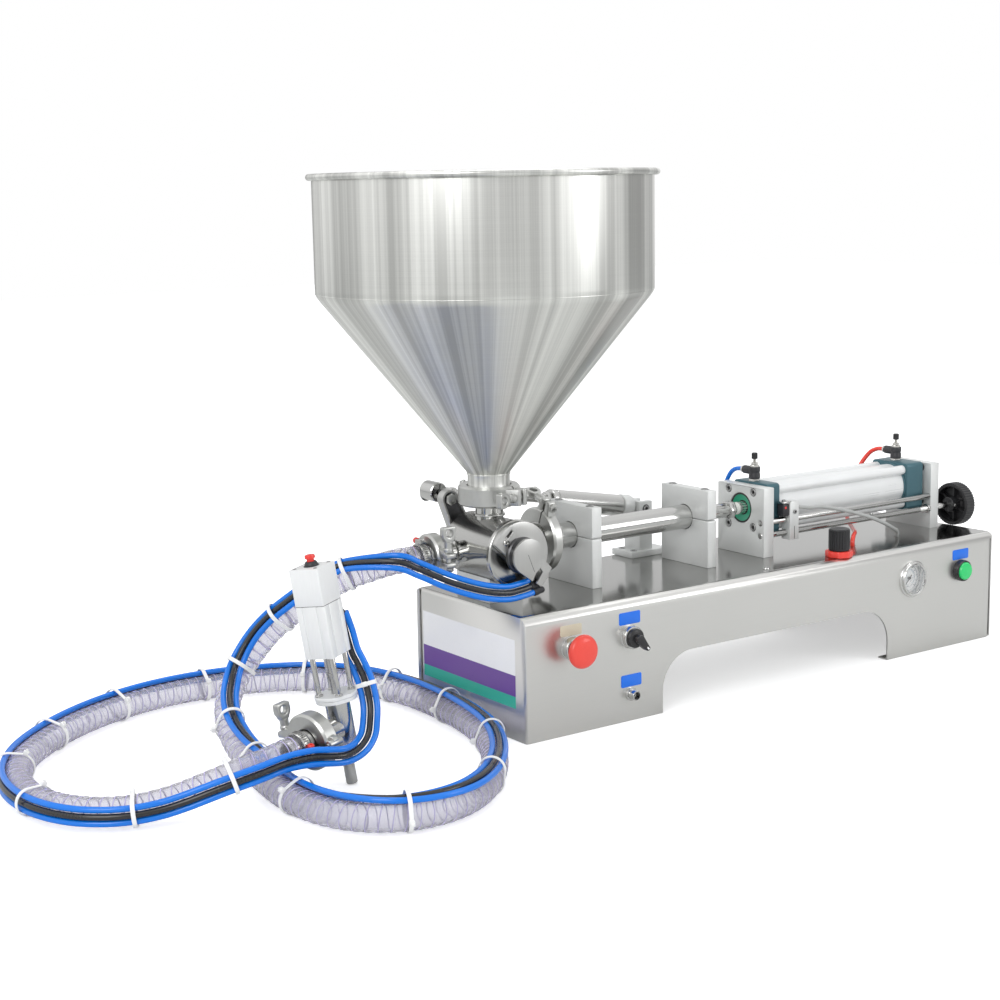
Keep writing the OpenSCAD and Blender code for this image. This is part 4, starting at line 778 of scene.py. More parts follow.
@dataclass
class Studio:
    """The camera at the photograph's place, a pale floor and soft light."""

    centre: Point = (-1485.24, -1723.55, 628.43)
    azimuth: float = 35.09
    pitch: float = 9.854
    roll: float = -1.062
    lens: float = 64.913
    floor_size: float = 9000.0

    def camera(self) -> None:
        """Sets the camera by its bearing, its pitch and its roll."""
        a, p, r = (math.radians(v) for v in (self.azimuth, self.pitch, self.roll))
        forward = Vector((math.sin(a) * math.cos(p), math.cos(a) * math.cos(p), -math.sin(p)))
        level = Vector((math.cos(a), -math.sin(a), 0.0))
        upward = level.cross(forward)
        right = level * math.cos(r) + upward * math.sin(r)
        up = upward * math.cos(r) - level * math.sin(r)
        data = bpy.data.cameras.new("photo_camera")
        data.lens, data.sensor_width = self.lens, 36.0
        data.clip_start, data.clip_end = 0.05, 60.0
        camera = bpy.data.objects.new("photo_camera", data)
        turned = Matrix((right, up, -forward)).transposed().to_4x4()
        camera.matrix_world = Matrix.Translation(Vector(self.centre) * MM) @ turned
        bpy.context.scene.collection.objects.link(camera)
        bpy.context.scene.camera = camera

    def floor(self) -> None:
        """A pale floor that shows white where no shadow falls."""
        bm = bmesh.new()
        bmesh.ops.create_grid(bm, x_segments=1, y_segments=1, size=self.floor_size)
        material = bpy.data.materials.new("pale_floor")
        graph = Graph(material)
        ray = graph.node("ShaderNodeLightPath", out="Is Camera Ray")
        shine = graph.node("ShaderNodeLightPath", out="Is Glossy Ray")
        clear = graph.node("ShaderNodeLightPath", out="Is Transmission Ray")
        paper = graph.noise(graph.place((3.0, 3.0, 3.0)), 1.0, 2.0)
        pale = graph.mix(paper, (0.90, 0.90, 0.90), (0.93, 0.93, 0.93))
        lit = graph.node("ShaderNodeBsdfDiffuse", None, {
            "Color": graph.mix(shine, pale, (0.62, 0.622, 0.612))})
        glow = graph.node("ShaderNodeEmission", None,
                          {"Color": (1.0, 1.0, 1.0, 1.0),
                           "Strength": ray * 0.50 + clear * 0.30})
        both = graph.node("ShaderNodeAddShader", None, {0: lit, 1: glow})
        graph.tree.links.new(both.socket, graph.output.inputs["Surface"])
        mesh = bpy.data.meshes.new("floor")
        bmesh.ops.translate(bm, vec=(0, 0, -0.4), verts=bm.verts[:])
        bmesh.ops.scale(bm, vec=(MM,) * 3, verts=bm.verts[:])
        bm.to_mesh(mesh)
        bm.free()
        mesh.materials.append(material)
        floor = bpy.data.objects.new("floor", mesh)
        bpy.context.scene.collection.objects.link(floor)

    def world(self) -> None:
        """White behind the object, and a soft room with darker sides in its reflections."""
        world = bpy.data.worlds.new("studio")
        bpy.context.scene.world = world
        graph = Graph(world)
        camera = graph.node("ShaderNodeLightPath", out="Is Camera Ray")
        glossy = graph.node("ShaderNodeLightPath", out="Is Glossy Ray")
        way = graph.node("ShaderNodeTexCoord", out="Generated")
        split = "ShaderNodeSeparateXYZ"
        x, y, z = (graph.node(split, None, {0: way}, out=i) for i in range(3))
        flag = graph.node("ShaderNodeValToRGB", {"stops": [
            (0.0, 0.96), (0.16, 1.0), (0.32, 0.86), (0.43, 0.24), (0.54, 0.20), (0.64, 0.74),
            (0.80, 1.0), (0.90, 0.70), (1.0, 0.32)]}, {0: x * 0.5 - y * 0.18 + 0.5})
        height = graph.node("ShaderNodeValToRGB", {"stops": [
            (0.0, 0.22), (0.34, 0.34), (0.52, 0.80), (0.70, 1.0), (1.0, 0.70)]},
                            {0: z * 0.5 + 0.42})
        room = graph.mix(0.45, flag, height)
        colour = graph.mix(glossy, graph.mix(camera, (0.80, 0.81, 0.82), (1.0, 1.0, 1.0)), room)
        back = graph.node("ShaderNodeBackground", None, {"Color": colour, "Strength": 1.0})
        graph.tree.links.new(back.socket, graph.output.inputs["Surface"])

    def lamp(self, name: str, place: Point, aim: Point, size: Point, watts: float) -> None:
        """A soft box at a place, aimed at a point.

        Args:
            name: The lamp's name.
            place: Where it hangs, in metres.
            aim: The point that it faces, in metres.
            size: Its width and height, in metres.
            watts: Its power.
        """
        data = bpy.data.lights.new(name, "AREA")
        data.shape = "RECTANGLE"
        data.size, data.size_y = size
        data.energy = watts
        lamp = bpy.data.objects.new(name, data)
        spot = Vector(place)
        turned = (Vector(aim) - spot).to_track_quat("-Z", "Y").to_matrix().to_4x4()
        lamp.matrix_world = Matrix.Translation(spot) @ turned
        bpy.context.scene.collection.objects.link(lamp)

    def lamps(self) -> None:
        """A key light from the upper left, a fill from the right and a soft top."""
        self.lamp("key", (-2.6, -1.5, 1.9), (-0.2, 0.0, 0.3), (1.1, 1.8), 26)
        self.lamp("fill", (1.6, -2.4, 1.2), (0.1, 0.0, 0.2), (1.0, 1.4), 14)
        self.lamp("top", (-0.1, 0.4, 2.6), (-0.1, 0.0, 0.2), (2.2, 1.4), 18)

    def build(self) -> None:
        """Puts up the whole studio."""
        bpy.context.scene.view_settings.view_transform = "Standard"
        self.camera()
        self.floor()
        self.world()
        self.lamps()


def fine(points: Sequence[Point], steps: int = 8) -> list[Vector]:
    """A smooth line through points of any number of values, as the part's source makes it.

    Args:
        points: The points, whose first three values are a place.
        steps: Stretches between two points.

    Returns:
        The points of the smooth line.
    """
    rows = [Vector(p) for p in points]
    rows = [2 * rows[0] - rows[1], *rows, 2 * rows[-1] - rows[-2]]
    made: list[Vector] = []
    for p, q, r, s in zip(rows, rows[1:], rows[2:], rows[3:]):
        for k in range(steps):
            t = k / steps
            made.append(0.5 * (2 * q + (r - p) * t + (2 * p - 5 * q + 4 * r - s) * t * t
                               + (3 * q - 3 * r + s - p) * t * t * t))
    return [*made, rows[-2]]


class Track:
    """A smooth line that is walked by its length in millimetres."""

    def __init__(self, points: Sequence[Point]) -> None:
        """Measures the smooth line through the points.

        Args:
            points: The points, with the angle of the tubes as a fourth value.
        """
        self.rows = fine(points)
        self.marks = [0.0]
        for a, b in zip(self.rows, self.rows[1:]):
            self.marks.append(self.marks[-1] + (b.xyz - a.xyz).length)
        self.length = self.marks[-1]
        self._near = 0

    def at(self, s: float) -> Vector:
        """All the values of the line at a length from its start.

        Args:
            s: The length from the start.

        Returns:
            The values there.
        """
        s = min(max(s, 0.0), self.length)
        while self._near > 0 and self.marks[self._near] > s:
            self._near -= 1
        while self._near < len(self.marks) - 2 and self.marks[self._near + 1] < s:
            self._near += 1
        a, b = self.marks[self._near], self.marks[self._near + 1]
        return self.rows[self._near].lerp(self.rows[self._near + 1], (s - a) / max(b - a, 1e-9))

    def heading(self, s: float) -> Vector:
        """The direction of the line at a length from its start."""
        return (self.at(s + 2).xyz - self.at(s - 2).xyz).normalized()

    def frame(self, s: float) -> tuple[Vector, Vector, Vector, Vector]:
        """The point, the direction, the level side and the upper side of the line.

        Args:
            s: The length from the start.

        Returns:
            The four vectors.
        """
        ahead = self.heading(s)
        side = ahead.cross(Vector((0, 0, 1))).normalized()
        return self.at(s).xyz, ahead, side, side.cross(ahead)


def swept(track: Track, stations: Sequence[tuple[float, float]], sides: int) -> Solid:
    """A round tube along a track, made by extruding its first ring from station to station.

    Args:
        track: The line that it follows.
        stations: Pairs of length along the line and radius of the tube there.
        sides: Faces round the tube.

    Returns:
        The tube, closed at both ends.
    """
    bm = bmesh.new()

    def ring_at(s: float, radius: float) -> list[Vector]:
        """The points of the tube's ring at a length along the track."""
        centre, _, side, up = track.frame(s)
        return [centre + radius * (side * math.cos(math.tau * (k + 0.5) / sides)
                                   + up * math.sin(math.tau * (k + 0.5) / sides))
                for k in range(sides)]

    first = [bm.verts.new(p) for p in ring_at(*stations[0])]
    edges = [bm.edges.new(pair) for pair in zip(first, first[1:] + first[:1])]
    bm.faces.new(first)
    ring = first
    for s, radius in stations[1:]:
        made = bmesh.ops.extrude_edge_only(bm, edges=edges)["geom"]
        edges = [g for g in made if isinstance(g, bmesh.types.BMEdge)]
        links = {v: next(e.other_vert(v) for e in v.link_edges if e.other_vert(v) in ring)
                 for v in (g for g in made if isinstance(g, bmesh.types.BMVert))}
        back = {old: new for new, old in links.items()}
        for old, place in zip(ring, ring_at(s, radius)):
            back[old].co = place
        ring = [back[old] for old in ring]
        edges = [e for e in edges if e.verts[0] in ring and e.verts[1] in ring]
    bm.faces.new(ring)
    bmesh.ops.recalc_face_normals(bm, faces=bm.faces[:])
    return Solid(bm)


def line_object(name: str, points: Sequence[Vector], diameter: float, finish: Finish,
                sides: int = 3) -> bpy.types.Object:
    """A round cord as a curve of one open spline through points in millimetres.

    Args:
        name: The cord's name.
        points: The points of its centreline.
        diameter: Its diameter.
        finish: Its finish.
        sides: How finely its section is rounded.

    Returns:
        The curve's object.
    """
    curve = bpy.data.curves.new(name, "CURVE")
    curve.dimensions = "3D"
    curve.bevel_depth = diameter / 2 * MM
    curve.bevel_resolution = sides
    curve.use_fill_caps = True
    spline = curve.splines.new("POLY")
    spline.points.add(len(points) - 1)
    for slot, point in zip(spline.points, points):
        slot.co = (*(point.xyz * MM), 1.0)
    curve.materials.append(finish.material())
    made = bpy.data.objects.new(name, curve)
    bpy.context.scene.collection.objects.link(made)
    return made


@dataclass
class HandGunPlace:
    """Where the hand gun stands and leans."""

    tip: Point = (-552.5, -110.2, 1.2)
    lean: float = 8.4
    axis: Point = (-0.577, -0.817, 0.0)
    yaw: float = -62.2
    inlet_turn: float = -13.0
    inlet_height: float = 63.0

    def matrix(self) -> Matrix:
        """From the gun's own frame to the row frame.

        Returns:
            The placing matrix.
        """
        leaning = Matrix.Rotation(math.radians(self.lean), 4, Vector(self.axis))
        yawed = Matrix.Rotation(math.radians(self.yaw), 4, "Z")
        return Matrix.Translation(self.tip) @ leaning @ yawed

    def inlet(self) -> Matrix:
        """From the inlet's frame, whose axis runs out of the gun, to the row frame.

        Returns:
            The placing matrix.
        """
        turned = Matrix.Rotation(math.radians(self.inlet_turn), 4, "Z")
        up = Matrix.Translation((0, 0, self.inlet_height))
        return self.matrix() @ turned @ up @ Axis.FRONT.value


UPPER_GUN = ("gun_fitting_mid", "gun_block", "gun_cap", "gun_press_button")
HOSE_POINTS = (
    (-381, 0, 208, -20), (-403, 0, 208, -20), (-426, 2, 207, -20), (-450, 8, 202, -25),
    (-474, 22, 193, -30), (-498, 41, 176, -40), (-521, 62, 155, -45), (-541, 81, 132, -45),
    (-559, 93, 107, -40), (-577, 96, 84, -30), (-594, 88, 65, -20), (-608, 70, 50, -12),
    (-618, 46, 38, -10), (-625, 16, 28, -12), (-631, -18, 21, -20), (-638, -55, 17, -40),
    (-645, -95, 17, -55), (-650, -135, 17, -60), (-650, -175, 17, -50), (-642, -214, 17, -38),
    (-623, -248, 17, -22), (-594, -271, 17, -8), (-557, -280, 17, 0), (-516, -273, 17, 8),
    (-474, -248, 17, 12), (-434, -207, 17, 15), (-399, -156, 17, 15), (-373, -100, 17, 15),
    (-357, -38, 17, 15), (-350, 24, 17, 20), (-350, 84, 17, 25), (-359, 141, 17, 32),
    (-379, 191, 17, 40), (-412, 231, 17, 45), (-460, 261, 17, 50), (-520, 279, 17, 50),
    (-590, 280, 17, 50), (-655, 264, 17, 52), (-717, 234, 17, 58), (-774, 192, 17, 65),
    (-820, 142, 17, 72), (-849, 86, 17, 78), (-860, 28, 17, 80), (-853, -25, 17, 84),
    (-829, -64, 17, 88), (-793, -87, 18, 90), (-755, -103, 25, 92), (-720, -120, 38, 94),
    (-690, -130, 48, 95), (-664, -132, 53, 95), (-640, -126.5, 55.7, 95), (-616, -120, 58, 95))


@dataclass
class SuctionHose:
    """The ribbed hose from the valve to the gun, its helix, air tubes and cable ties."""

    diameter: float = 30.0
    thick: float = 2.6
    ribs: int = 188
    wire: float = 1.3
    pitch: float = 12.1
    air: float = 6.8
    bundle: float = 19.3
    spread: float = 22.0
    on_hose: tuple[float, float] = (96.0, 40.0)
    tie_thick: float = 1.3
    tie_wide: float = 4.5
    tie_head: Point = (6.0, 5.4, 5.0)
    ties_on: float = 2260.0
    ties: tuple[float, ...] = (97, 188, 262, 352, 436, 560, 700, 838, 972, 1110, 1228, 1352,
                               1478, 1600, 1722, 1836, 1956, 2070, 2170)
    lead_in: tuple[Point, ...] = ((-280, -70, 171), (-296, -71, 169), (-315, -71, 168),
                                  (-339, -69, 172), (-362, -62, 179), (-388, -51, 190),
                                  (-412, -38, 203), (-440, -29, 215))
    lead_in_face: Point = (-0.3, -0.9, 0.35)
    lead_out: tuple[Point, ...] = ((-624, -152, 54), (-606, -158, 53), (-590, -159, 51),
                                   (-574, -154, 51), (-559, -146, 54), (-547, -138, 61),
                                   (-539, -129, 72), (-534, -122, 85), (-533, -116, 100),
                                   (-534, -110, 115), (-537, -103, 129), (-541, -98, 142))
    lead_out_face: Point = (-0.65, -0.76, 0.0)
    gun_ends: tuple[tuple[Point, ...], ...] = (
        ((5, 22, 158),), ((9, 26, 168), (9, 24, 190), (9, 22, 208)), ((17, 28, 162), (17, 22, 184)))
    track: Track = field(default_factory=lambda: Track(HOSE_POINTS))

    def wall(self) -> bpy.types.Object:
        """The clear wall, which swells over each turn of the wire and has the bore in it.

        Returns:
            The wall's object.
        """
        length, radius, rings = self.track.length, self.diameter / 2, 2 * self.ribs
        outer = [((k + share) * length / self.ribs, radius - rise) for k in range(self.ribs)
                 for share, rise in ((0.0, 0.0), (0.25, 0.35), (0.5, 0.75), (0.75, 0.35))]
        tube = swept(self.track, [*outer, (length, radius)], 20)
        inner = [(length * k / rings, radius - self.thick) for k in range(rings + 1)]
        bore = swept(self.track, inner, 16)
        bmesh.ops.reverse_faces(bore.bm, faces=bore.bm.faces[:])
        return as_object("suction_hose", [(tube, HOSE_WALL), (bore, HOSE_WALL)], 60)

    def helix(self) -> bpy.types.Object:
        """The wire that winds inside the wall.

        Returns:
            The wire's object.
        """
        points = []
        per_turn, end = 14, 3.0
        radius = self.diameter / 2 - self.wire / 2 + 0.1
        steps = int(self.track.length / self.pitch * per_turn)
        for k in range(steps + 1):
            centre, _, side, up = self.track.frame(end + (self.track.length - 2 * end) * k / steps)
            f = math.tau * k / per_turn
            points.append(centre + radius * (side * math.cos(f) + up * math.sin(f)))
        return line_object("hose_helix", points, self.wire, HOSE_WIRE, 0)

    def bundled(self, s: float, turn: float) -> Vector:
        """A point of a tube that lies on the hose.

        Args:
            s: The length along the hose.
            turn: Degrees round the hose from the middle tube.

        Returns:
            The point.
        """
        q, (_, _, side, up) = self.track.at(s), self.track.frame(s)
        f = math.radians(q[3] + turn)
        return q.xyz + self.bundle * (math.sin(f) * side + math.cos(f) * up)

    def stacked(self, points: Sequence[Point], face: Point, k: int) -> list[Vector]:
        """A line beside the middle one, in the plane that faces one way.

        Args:
            points: The middle tube's points.
            face: The way the flat side faces.
            k: -1, 0 or 1 for the low, the middle or the high tube.

        Returns:
            The tube's points.
        """
        rows = [Vector(p) for p in points]
        made = []
        for i, row in enumerate(rows):
            ahead = rows[min(i + 1, len(rows) - 1)] - rows[max(i - 1, 0)]
            made.append(row - k * (self.air + 0.7) * Vector(face).cross(ahead).normalized())
        return made

    def route(self, k: int) -> list[Vector]:
        """The whole way of one air tube, from the cover arm to the gun.

        Args:
            k: -1, 0 or 1 for the low, the middle or the high tube.

        Returns:
            The points of its centreline.
        """
        gun = HandGunPlace().matrix()
        start, stop = self.on_hose[0], self.track.length - self.on_hose[1]
        steps = 86
        marks = [start + (stop - start) * i / steps for i in range(steps + 1)]
        return fine([*self.stacked(self.lead_in, self.lead_in_face, k),
                     *[self.bundled(mark, k * self.spread) for mark in marks],
                     *self.stacked(self.lead_out, self.lead_out_face, k),
                     *[gun @ Vector(p) for p in self.gun_ends[k + 1]]])

    def strap(self, line: Profile) -> Solid:
        """A nylon band along a closed flat line, as wide to both sides of its plane.

        Args:
            line: The band's inner line in order.

        Returns:
            The band.
        """
        bm = bmesh.new()
        loop = [bm.verts.new((x, y, -self.tie_wide / 2)) for x, y in line]
        edges = [bm.edges.new(pair) for pair in zip(loop, loop[1:] + loop[:1])]
        made = bmesh.ops.extrude_edge_only(bm, edges=edges)["geom"]
        bmesh.ops.translate(bm, vec=(0, 0, self.tie_wide),
                            verts=[g for g in made if isinstance(g, bmesh.types.BMVert)])
        bmesh.ops.recalc_face_normals(bm, faces=bm.faces[:])
        bmesh.ops.solidify(bm, geom=bm.faces[:], thickness=-self.tie_thick)
        bmesh.ops.recalc_face_normals(bm, faces=bm.faces[:])
        return Solid(bm).bevel(0.3, 50, 1)

    def tie(self, s: float) -> list[tuple[Solid, Finish]]:
        """One cable tie round the hose and its tubes, with its head.

        Args:
            s: The length along the hose.

        Returns:
            The shapes with their finishes, in the row frame.
        """
        r1, r2 = self.diameter / 2 + 0.2, self.diameter / 2 - 1.5
        reach = self.bundle - 7
        a = math.acos((r1 - r2) / reach)
        corner = math.pi / 2
        line = [(r1 * math.cos(f), r1 * math.sin(f))
                for f in (corner + a + (math.tau - 2 * a) * i / 26 for i in range(27))]
        line += [(r2 * math.cos(f), reach + r2 * math.sin(f))
                 for f in (corner - a + 2 * a * i / 16 for i in range(17))]
        band = self.strap(line)
        q = self.track.at(s)
        centre, ahead, side, up = self.track.frame(s)
        place = Matrix((side, up, -ahead)).transposed().to_4x4()
        place = Matrix.Translation(centre) @ place @ Matrix.Rotation(math.radians(-q[3]), 4, "Z")
        w, d, h = self.tie_head
        head = Solid.block((-w / 2, 0, -d / 2), (w / 2, h, d / 2), 0.7)
        tail = Solid.block((-1.2, h - 0.4, -2.0), (1.2, h + 1.6, 2.0), 0.3)
        head.join(tail).move(0, r1 + 0.2, 0).turn(100 if q[3] > 0 else -100)
        return [(band.put(place), TIE_WHITE), (head.put(place), TIE_WHITE)]

    def gun_tie(self) -> list[tuple[Solid, Finish]]:
        """The tie round the three tubes beside the rods of the gun.

        Returns:
            The shapes with their finishes, in the row frame.
        """
        low, high = (Vector(p) for p in self.lead_out[8:10])
        ahead = (high - low).normalized()
        side = Vector(self.lead_out_face).cross(ahead).normalized()
        turned = Matrix((side, ahead.cross(side), ahead)).transposed().to_4x4()
        place = Matrix.Translation((low + high) / 2) @ turned
        r, step = self.air / 2 + 0.2, self.air + 0.7
        line = [*circle(r, step, 0, 14, -90, 90), *circle(r, -step, 0, 14, 90, 270)]
        w, d, h = self.tie_head
        head = Solid.block((-w / 2, r, -d / 2), (w / 2, r + h, d / 2), 0.7)
        return [(part.put(place), TIE_WHITE) for part in (self.strap(line), head)]

    def build(self) -> None:
        wall = self.wall()
        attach(wall, MACHINE)
        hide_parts("hose")
        helix = self.helix()
        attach(helix, MACHINE)
        parts: list[tuple[Solid, Finish]] = []
        for mark in self.ties:
            parts += self.tie(mark * self.track.length / self.ties_on)
        parts += self.gun_tie()
        ties = piece("cable_ties", parts, replaces=["hose_bands"])
        lines = ((-1, "air_tube_blue_low", TUBE_BLUE, "fitting", ("gun_fitting_low",)),
                 (0, "air_tube_black", TUBE_BLACK, "tool", UPPER_GUN),
                 (1, "air_tube_blue_high", TUBE_BLUE, "fitting", ("gun_fitting_high",)))
        for k, name, finish, end, pieces in lines:
            points = self.route(k)
            tube = line_object(name, points, self.air, finish)
            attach(tube, MACHINE)
            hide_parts("gun_tubes")
            length = sum((b - a).length for a, b in zip(points, points[1:]))
            tuple(points[0] * MM)


@dataclass
class CylinderTubes:
    """The blue and red air tubes of the air cylinder and the cable of its switch."""

    air: float = 6.0
    cable: float = 5.0
    front: tuple[Point, ...] = ((135.5, 14, 254.5), (135.5, 26, 254.5), (135.4, 37, 252.5),
                                (135, 46, 246), (134, 53, 232), (134, 57, 210),
                                (135, 58, 185), (137, 58, 165), (138, 58, 150),
                                (138, 58, 142))
    rear: tuple[Point, ...] = ((404, 14, 254.5), (404, 26, 254.5), (403.4, 36, 253),
                               (399, 45, 247), (390, 53, 230), (377, 55, 205),
                               (362, 50, 182), (345, 35, 166), (325, 10, 160),
                               (303, -17, 159), (281, -42, 160), (266, -54, 159),
                               (259, -59, 153), (258, -60, 142))
    lead: tuple[Point, ...] = ((170.6, -40, 208), (178, -46, 207), (188, -52, 206),
                               (202, -55, 206), (222, -60, 202), (252, -64, 194),
                               (285, -67, 183), (312, -66, 172), (336, -61, 161),
                               (349, -55.5, 155), (352, -53, 149), (352, -52.6, 142))

    def build(self) -> None:
        """Makes the two tubes, and the cable that runs from the carriage's switch."""
        for name, way, finish in (("front_air_tube", self.front, TUBE_BLUE),
                                  ("rear_air_tube", self.rear, TUBE_RED)):
            points = fine(way)
            tube = line_object(name, points, self.air, finish)
            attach(tube, MACHINE)
            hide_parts("air_tubes")
            tuple(points[0] * MM)
            sum((b - a).length for a, b in zip(points, points[1:])) * MM
        track = Track(self.lead)
        marks = [(track.length * k / 70, self.cable / 2) for k in range(71)]
        cable = as_object("switch_cable", [(swept(track, marks, 12), CABLE_GREY)], 50)
        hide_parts("sensor_cable")
        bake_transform(cable)
        [tuple(r * MM) for r in reversed(track.rows)]


@dataclass
class Base:
    """The bent-sheet base with its blank plates and screws."""

    front: float = -118.0
    left: float = -326.0
    top: float = 147.0
    bend: float = 6.0

    def tag(self, x: float, z: float, wide: float, high: float) -> Solid:
        """A tag with round corners on the front."""
        tag = Solid.block((-wide / 2, -high / 2, 0), (wide / 2, high / 2, 0.4), 0.12, 2.2)
        return tag.lay(Axis.FRONT, x, self.front, z)

    def name_plate(self) -> list[tuple[Solid, Finish]]:
        """The left end's plate: white, a violet and a green band, with nothing on it.

        Returns:
            The shapes with their finishes, in the row frame.
        """
        front, back, low, high = -97.5, 94.5, 38.0, 119.0
        split, foot = 77.0, 52.0
        thick = 0.4

        def sheet(y0: float, y1: float, z0: float, z1: float) -> Solid:
            """One field of the plate."""
            return Solid.block((self.left - thick, y0, z0), (self.left, y1, z1), 0.0)

        return [(sheet(front, back, split, high), PLATE_WHITE),
                (sheet(front, back, foot, split), PLATE_VIOLET),
                (sheet(front, back, low, foot), PLATE_GREEN)]

    def pan_screw(self, x: float, y: float, z: float, diameter: float = 9.0) -> Solid:
        """A domed screw head that stands on a sheet.

        Args:
            x: The head's place.
            y: The head's place.
            z: The sheet's top.
            diameter: The head's diameter.

        Returns:
            The head.
        """
        r = diameter / 2
        head = Solid.lathe([(0, 2.4), (r * 0.45, 2.3), (r * 0.82, 1.7), (r, 0.5), (r, 0),
                            (0, 0)], 28)
        return head.move(x, y, z)

    def sheet(self) -> None:
        """The bent sheet, with its long bends rounded."""
        shell = Solid.copy_of("base_housing")
        xs, ys = ([v.co[i] for v in shell.bm.verts] for i in (0, 1))
        walls = ((0, min(xs)), (0, max(xs)), (1, min(ys)), (1, max(ys)), (2, self.top))

        def on_walls(edge: bmesh.types.BMEdge) -> int:
            """How many of the outer walls an edge lies on."""
            return sum(all(abs(v.co[i] - place) < 0.05 for v in edge.verts) for i, place in walls)

        bends = [e for e in shell.bm.edges if on_walls(e) >= 2]
        bmesh.ops.bevel(shell.bm, geom=bends, offset=self.bend, offset_type="OFFSET", segments=5,
                        profile=0.5, affect="EDGES", material=-1)
        made = piece("base_housing_fine", [(shell, BASE_SHEET)], MACHINE, ["base_housing"], 50)
        soft = made.modifiers.new("edges", "BEVEL")
        soft.width, soft.segments = 0.35 * MM, 2
        soft.limit_method, soft.angle_limit = "ANGLE", math.radians(50)

    def build(self) -> None:
        """Dresses the sheet, the plates and the parts inside."""
        self.sheet()
        piece("name_plate_and_tags", self.name_plate() + [
            (self.tag(-261, 124.5, 31, 13), TAG_BEIGE), (self.tag(-174, 125.5, 32, 15), TAG_BLUE),
            (self.tag(-172, 49.5, 31, 15), TAG_BLUE), (self.tag(406, 125, 31.5, 14), TAG_BLUE)],
              replaces=["labels"])
        screws = [self.pan_screw(x, y, self.top) for x, y in
                  ((70, -92), (-300, 92), (60, 96), (452, 92), (452, -20))]
        piece("top_screws", [(s, CHROME) for s in screws])
        refined("solenoid_valve", BANK, 0.8)


@dataclass
class Hopper:
    """The conical hopper with its rolled rim and its neck."""

    x: float = -290.0
    radius: float = 196.0
    wall: float = 2.0
    bead: float = 7.5
    top: float = 646.5
    drum: float = 130.0
    cone: float = 211.0
    neck: float = 25.0
    foot: float = 272.8

    def profile(self) -> list[tuple[float, float]]:
        """The section, from the foot ferrule up the outside, over the rim and down inside.

        Returns:
            Points of radius and height.
        """
        zc = self.top - self.bead - self.drum
        zn = zc - self.cone
        bead_x, bead_z = self.radius + self.bead / 2 - self.wall / 2, self.top - self.bead / 2
        rim = [(bead_x + self.bead / 2 * math.sin(math.radians(a)),
                bead_z - self.bead / 2 * math.cos(math.radians(a))) for a in range(-60, 270, 22)]
        t = self.wall
        outside = [(32, self.foot), (32, self.foot + 2.0), (self.neck + 1.6, self.foot + 4.0),
                   (self.neck, self.foot + 6.0), (self.neck, zn - 1.0), (self.neck + 0.5, zn),
                   (self.neck + 1.4, zn + 1.6), (self.radius - 5.0, zc - 6.3),
                   (self.radius - 1.5, zc - 1.2), (self.radius - 0.2, zc + 3.0),
                   (self.radius, zc + 8.0), (self.radius, bead_z - 5.6)]
        inside = [(self.radius - t, bead_z), (self.radius - t, zc + 8.0),
                  (self.radius - t - 1.5, zc + 0.6), (self.radius - t - 5.0, zc - 5.0),
                  (self.neck - t + 1.2, zn + 2.6), (self.neck - t, zn),
                  (self.neck - t, self.foot)]
        return [*outside, *rim, *inside]

    def build(self) -> None:
        """Turns the hopper and lays its weld lines."""
        zc = self.top - self.bead - self.drum
        shell = Solid.lathe(self.profile(), 160, 0.0, True).move(self.x, 0, 0)
        welds = [Solid.ring(2 * r + 0.9, 2 * r - 1.2, h, 0.25, 160).move(self.x, 0, z)
                 for r, h, z in ((self.radius - 0.4, 1.2, zc + 1.4),
                                 (self.neck + 0.5, 1.6, zc - self.cone - 2.0))]
        seam = Solid.block((self.radius - 0.5, -0.7, zc + 2), (self.radius + 0.35, 0.7, 638), 0.25)
        seam.turn(118).move(self.x, 0, 0)
        piece("hopper_shell", [(shell, HOPPER_SHEET), *[(w, HOPPER_SHEET) for w in welds],
                               (seam, HOPPER_SHEET)], replaces=["hopper"], smooth=40)
        carried("ferrule_gaskets", GASKET)


def threaded(diameter: float, length: float, pitch: float = 1.25) -> Solid:
    """A threaded bolt end that stands on the origin.

    Args:
        diameter: Diameter over the thread.
        length: Length of the bolt end.
        pitch: Height of one turn.

    Returns:
        The bolt end.
    """
    r = diameter / 2
    profile = [(0.0, 0.0), (r - 0.5, 0.0)]
    for k in range(int(length / pitch)):
        profile += [(r, (k + 0.5) * pitch), (r - 0.55, (k + 1) * pitch)]
    return Solid.lathe([*profile, (r - 0.8, length), (0.0, length)], 20)


def holed(outline: Profile, holes: Sequence[Profile], height: float, edge: float = 0.4) -> Solid:
    """A flat outline with holes, raised from the origin.

    Args:
        outline: The outline's points in order.
        holes: The outlines of the holes.
        height: How far it is raised.
        edge: Width of the softened edges, 0 for sharp ones.

    Returns:
        The raised shape.
    """
    bm = bmesh.new()
    for loop in (outline, *holes):
        verts = [bm.verts.new((x, y, 0.0)) for x, y in loop]
        for pair in zip(verts, verts[1:] + verts[:1]):
            bm.edges.new(pair)
    bmesh.ops.triangle_fill(bm, use_beauty=True, use_dissolve=False, edges=bm.edges[:])
    raised = bmesh.ops.extrude_face_region(bm, geom=bm.faces[:])["geom"]
    bmesh.ops.translate(bm, vec=(0, 0, height),
                        verts=[g for g in raised if isinstance(g, bmesh.types.BMVert)])
    bmesh.ops.recalc_face_normals(bm, faces=bm.faces[:])
    made = Solid(bm)
    return made.bevel(edge, 40, 2) if edge else made


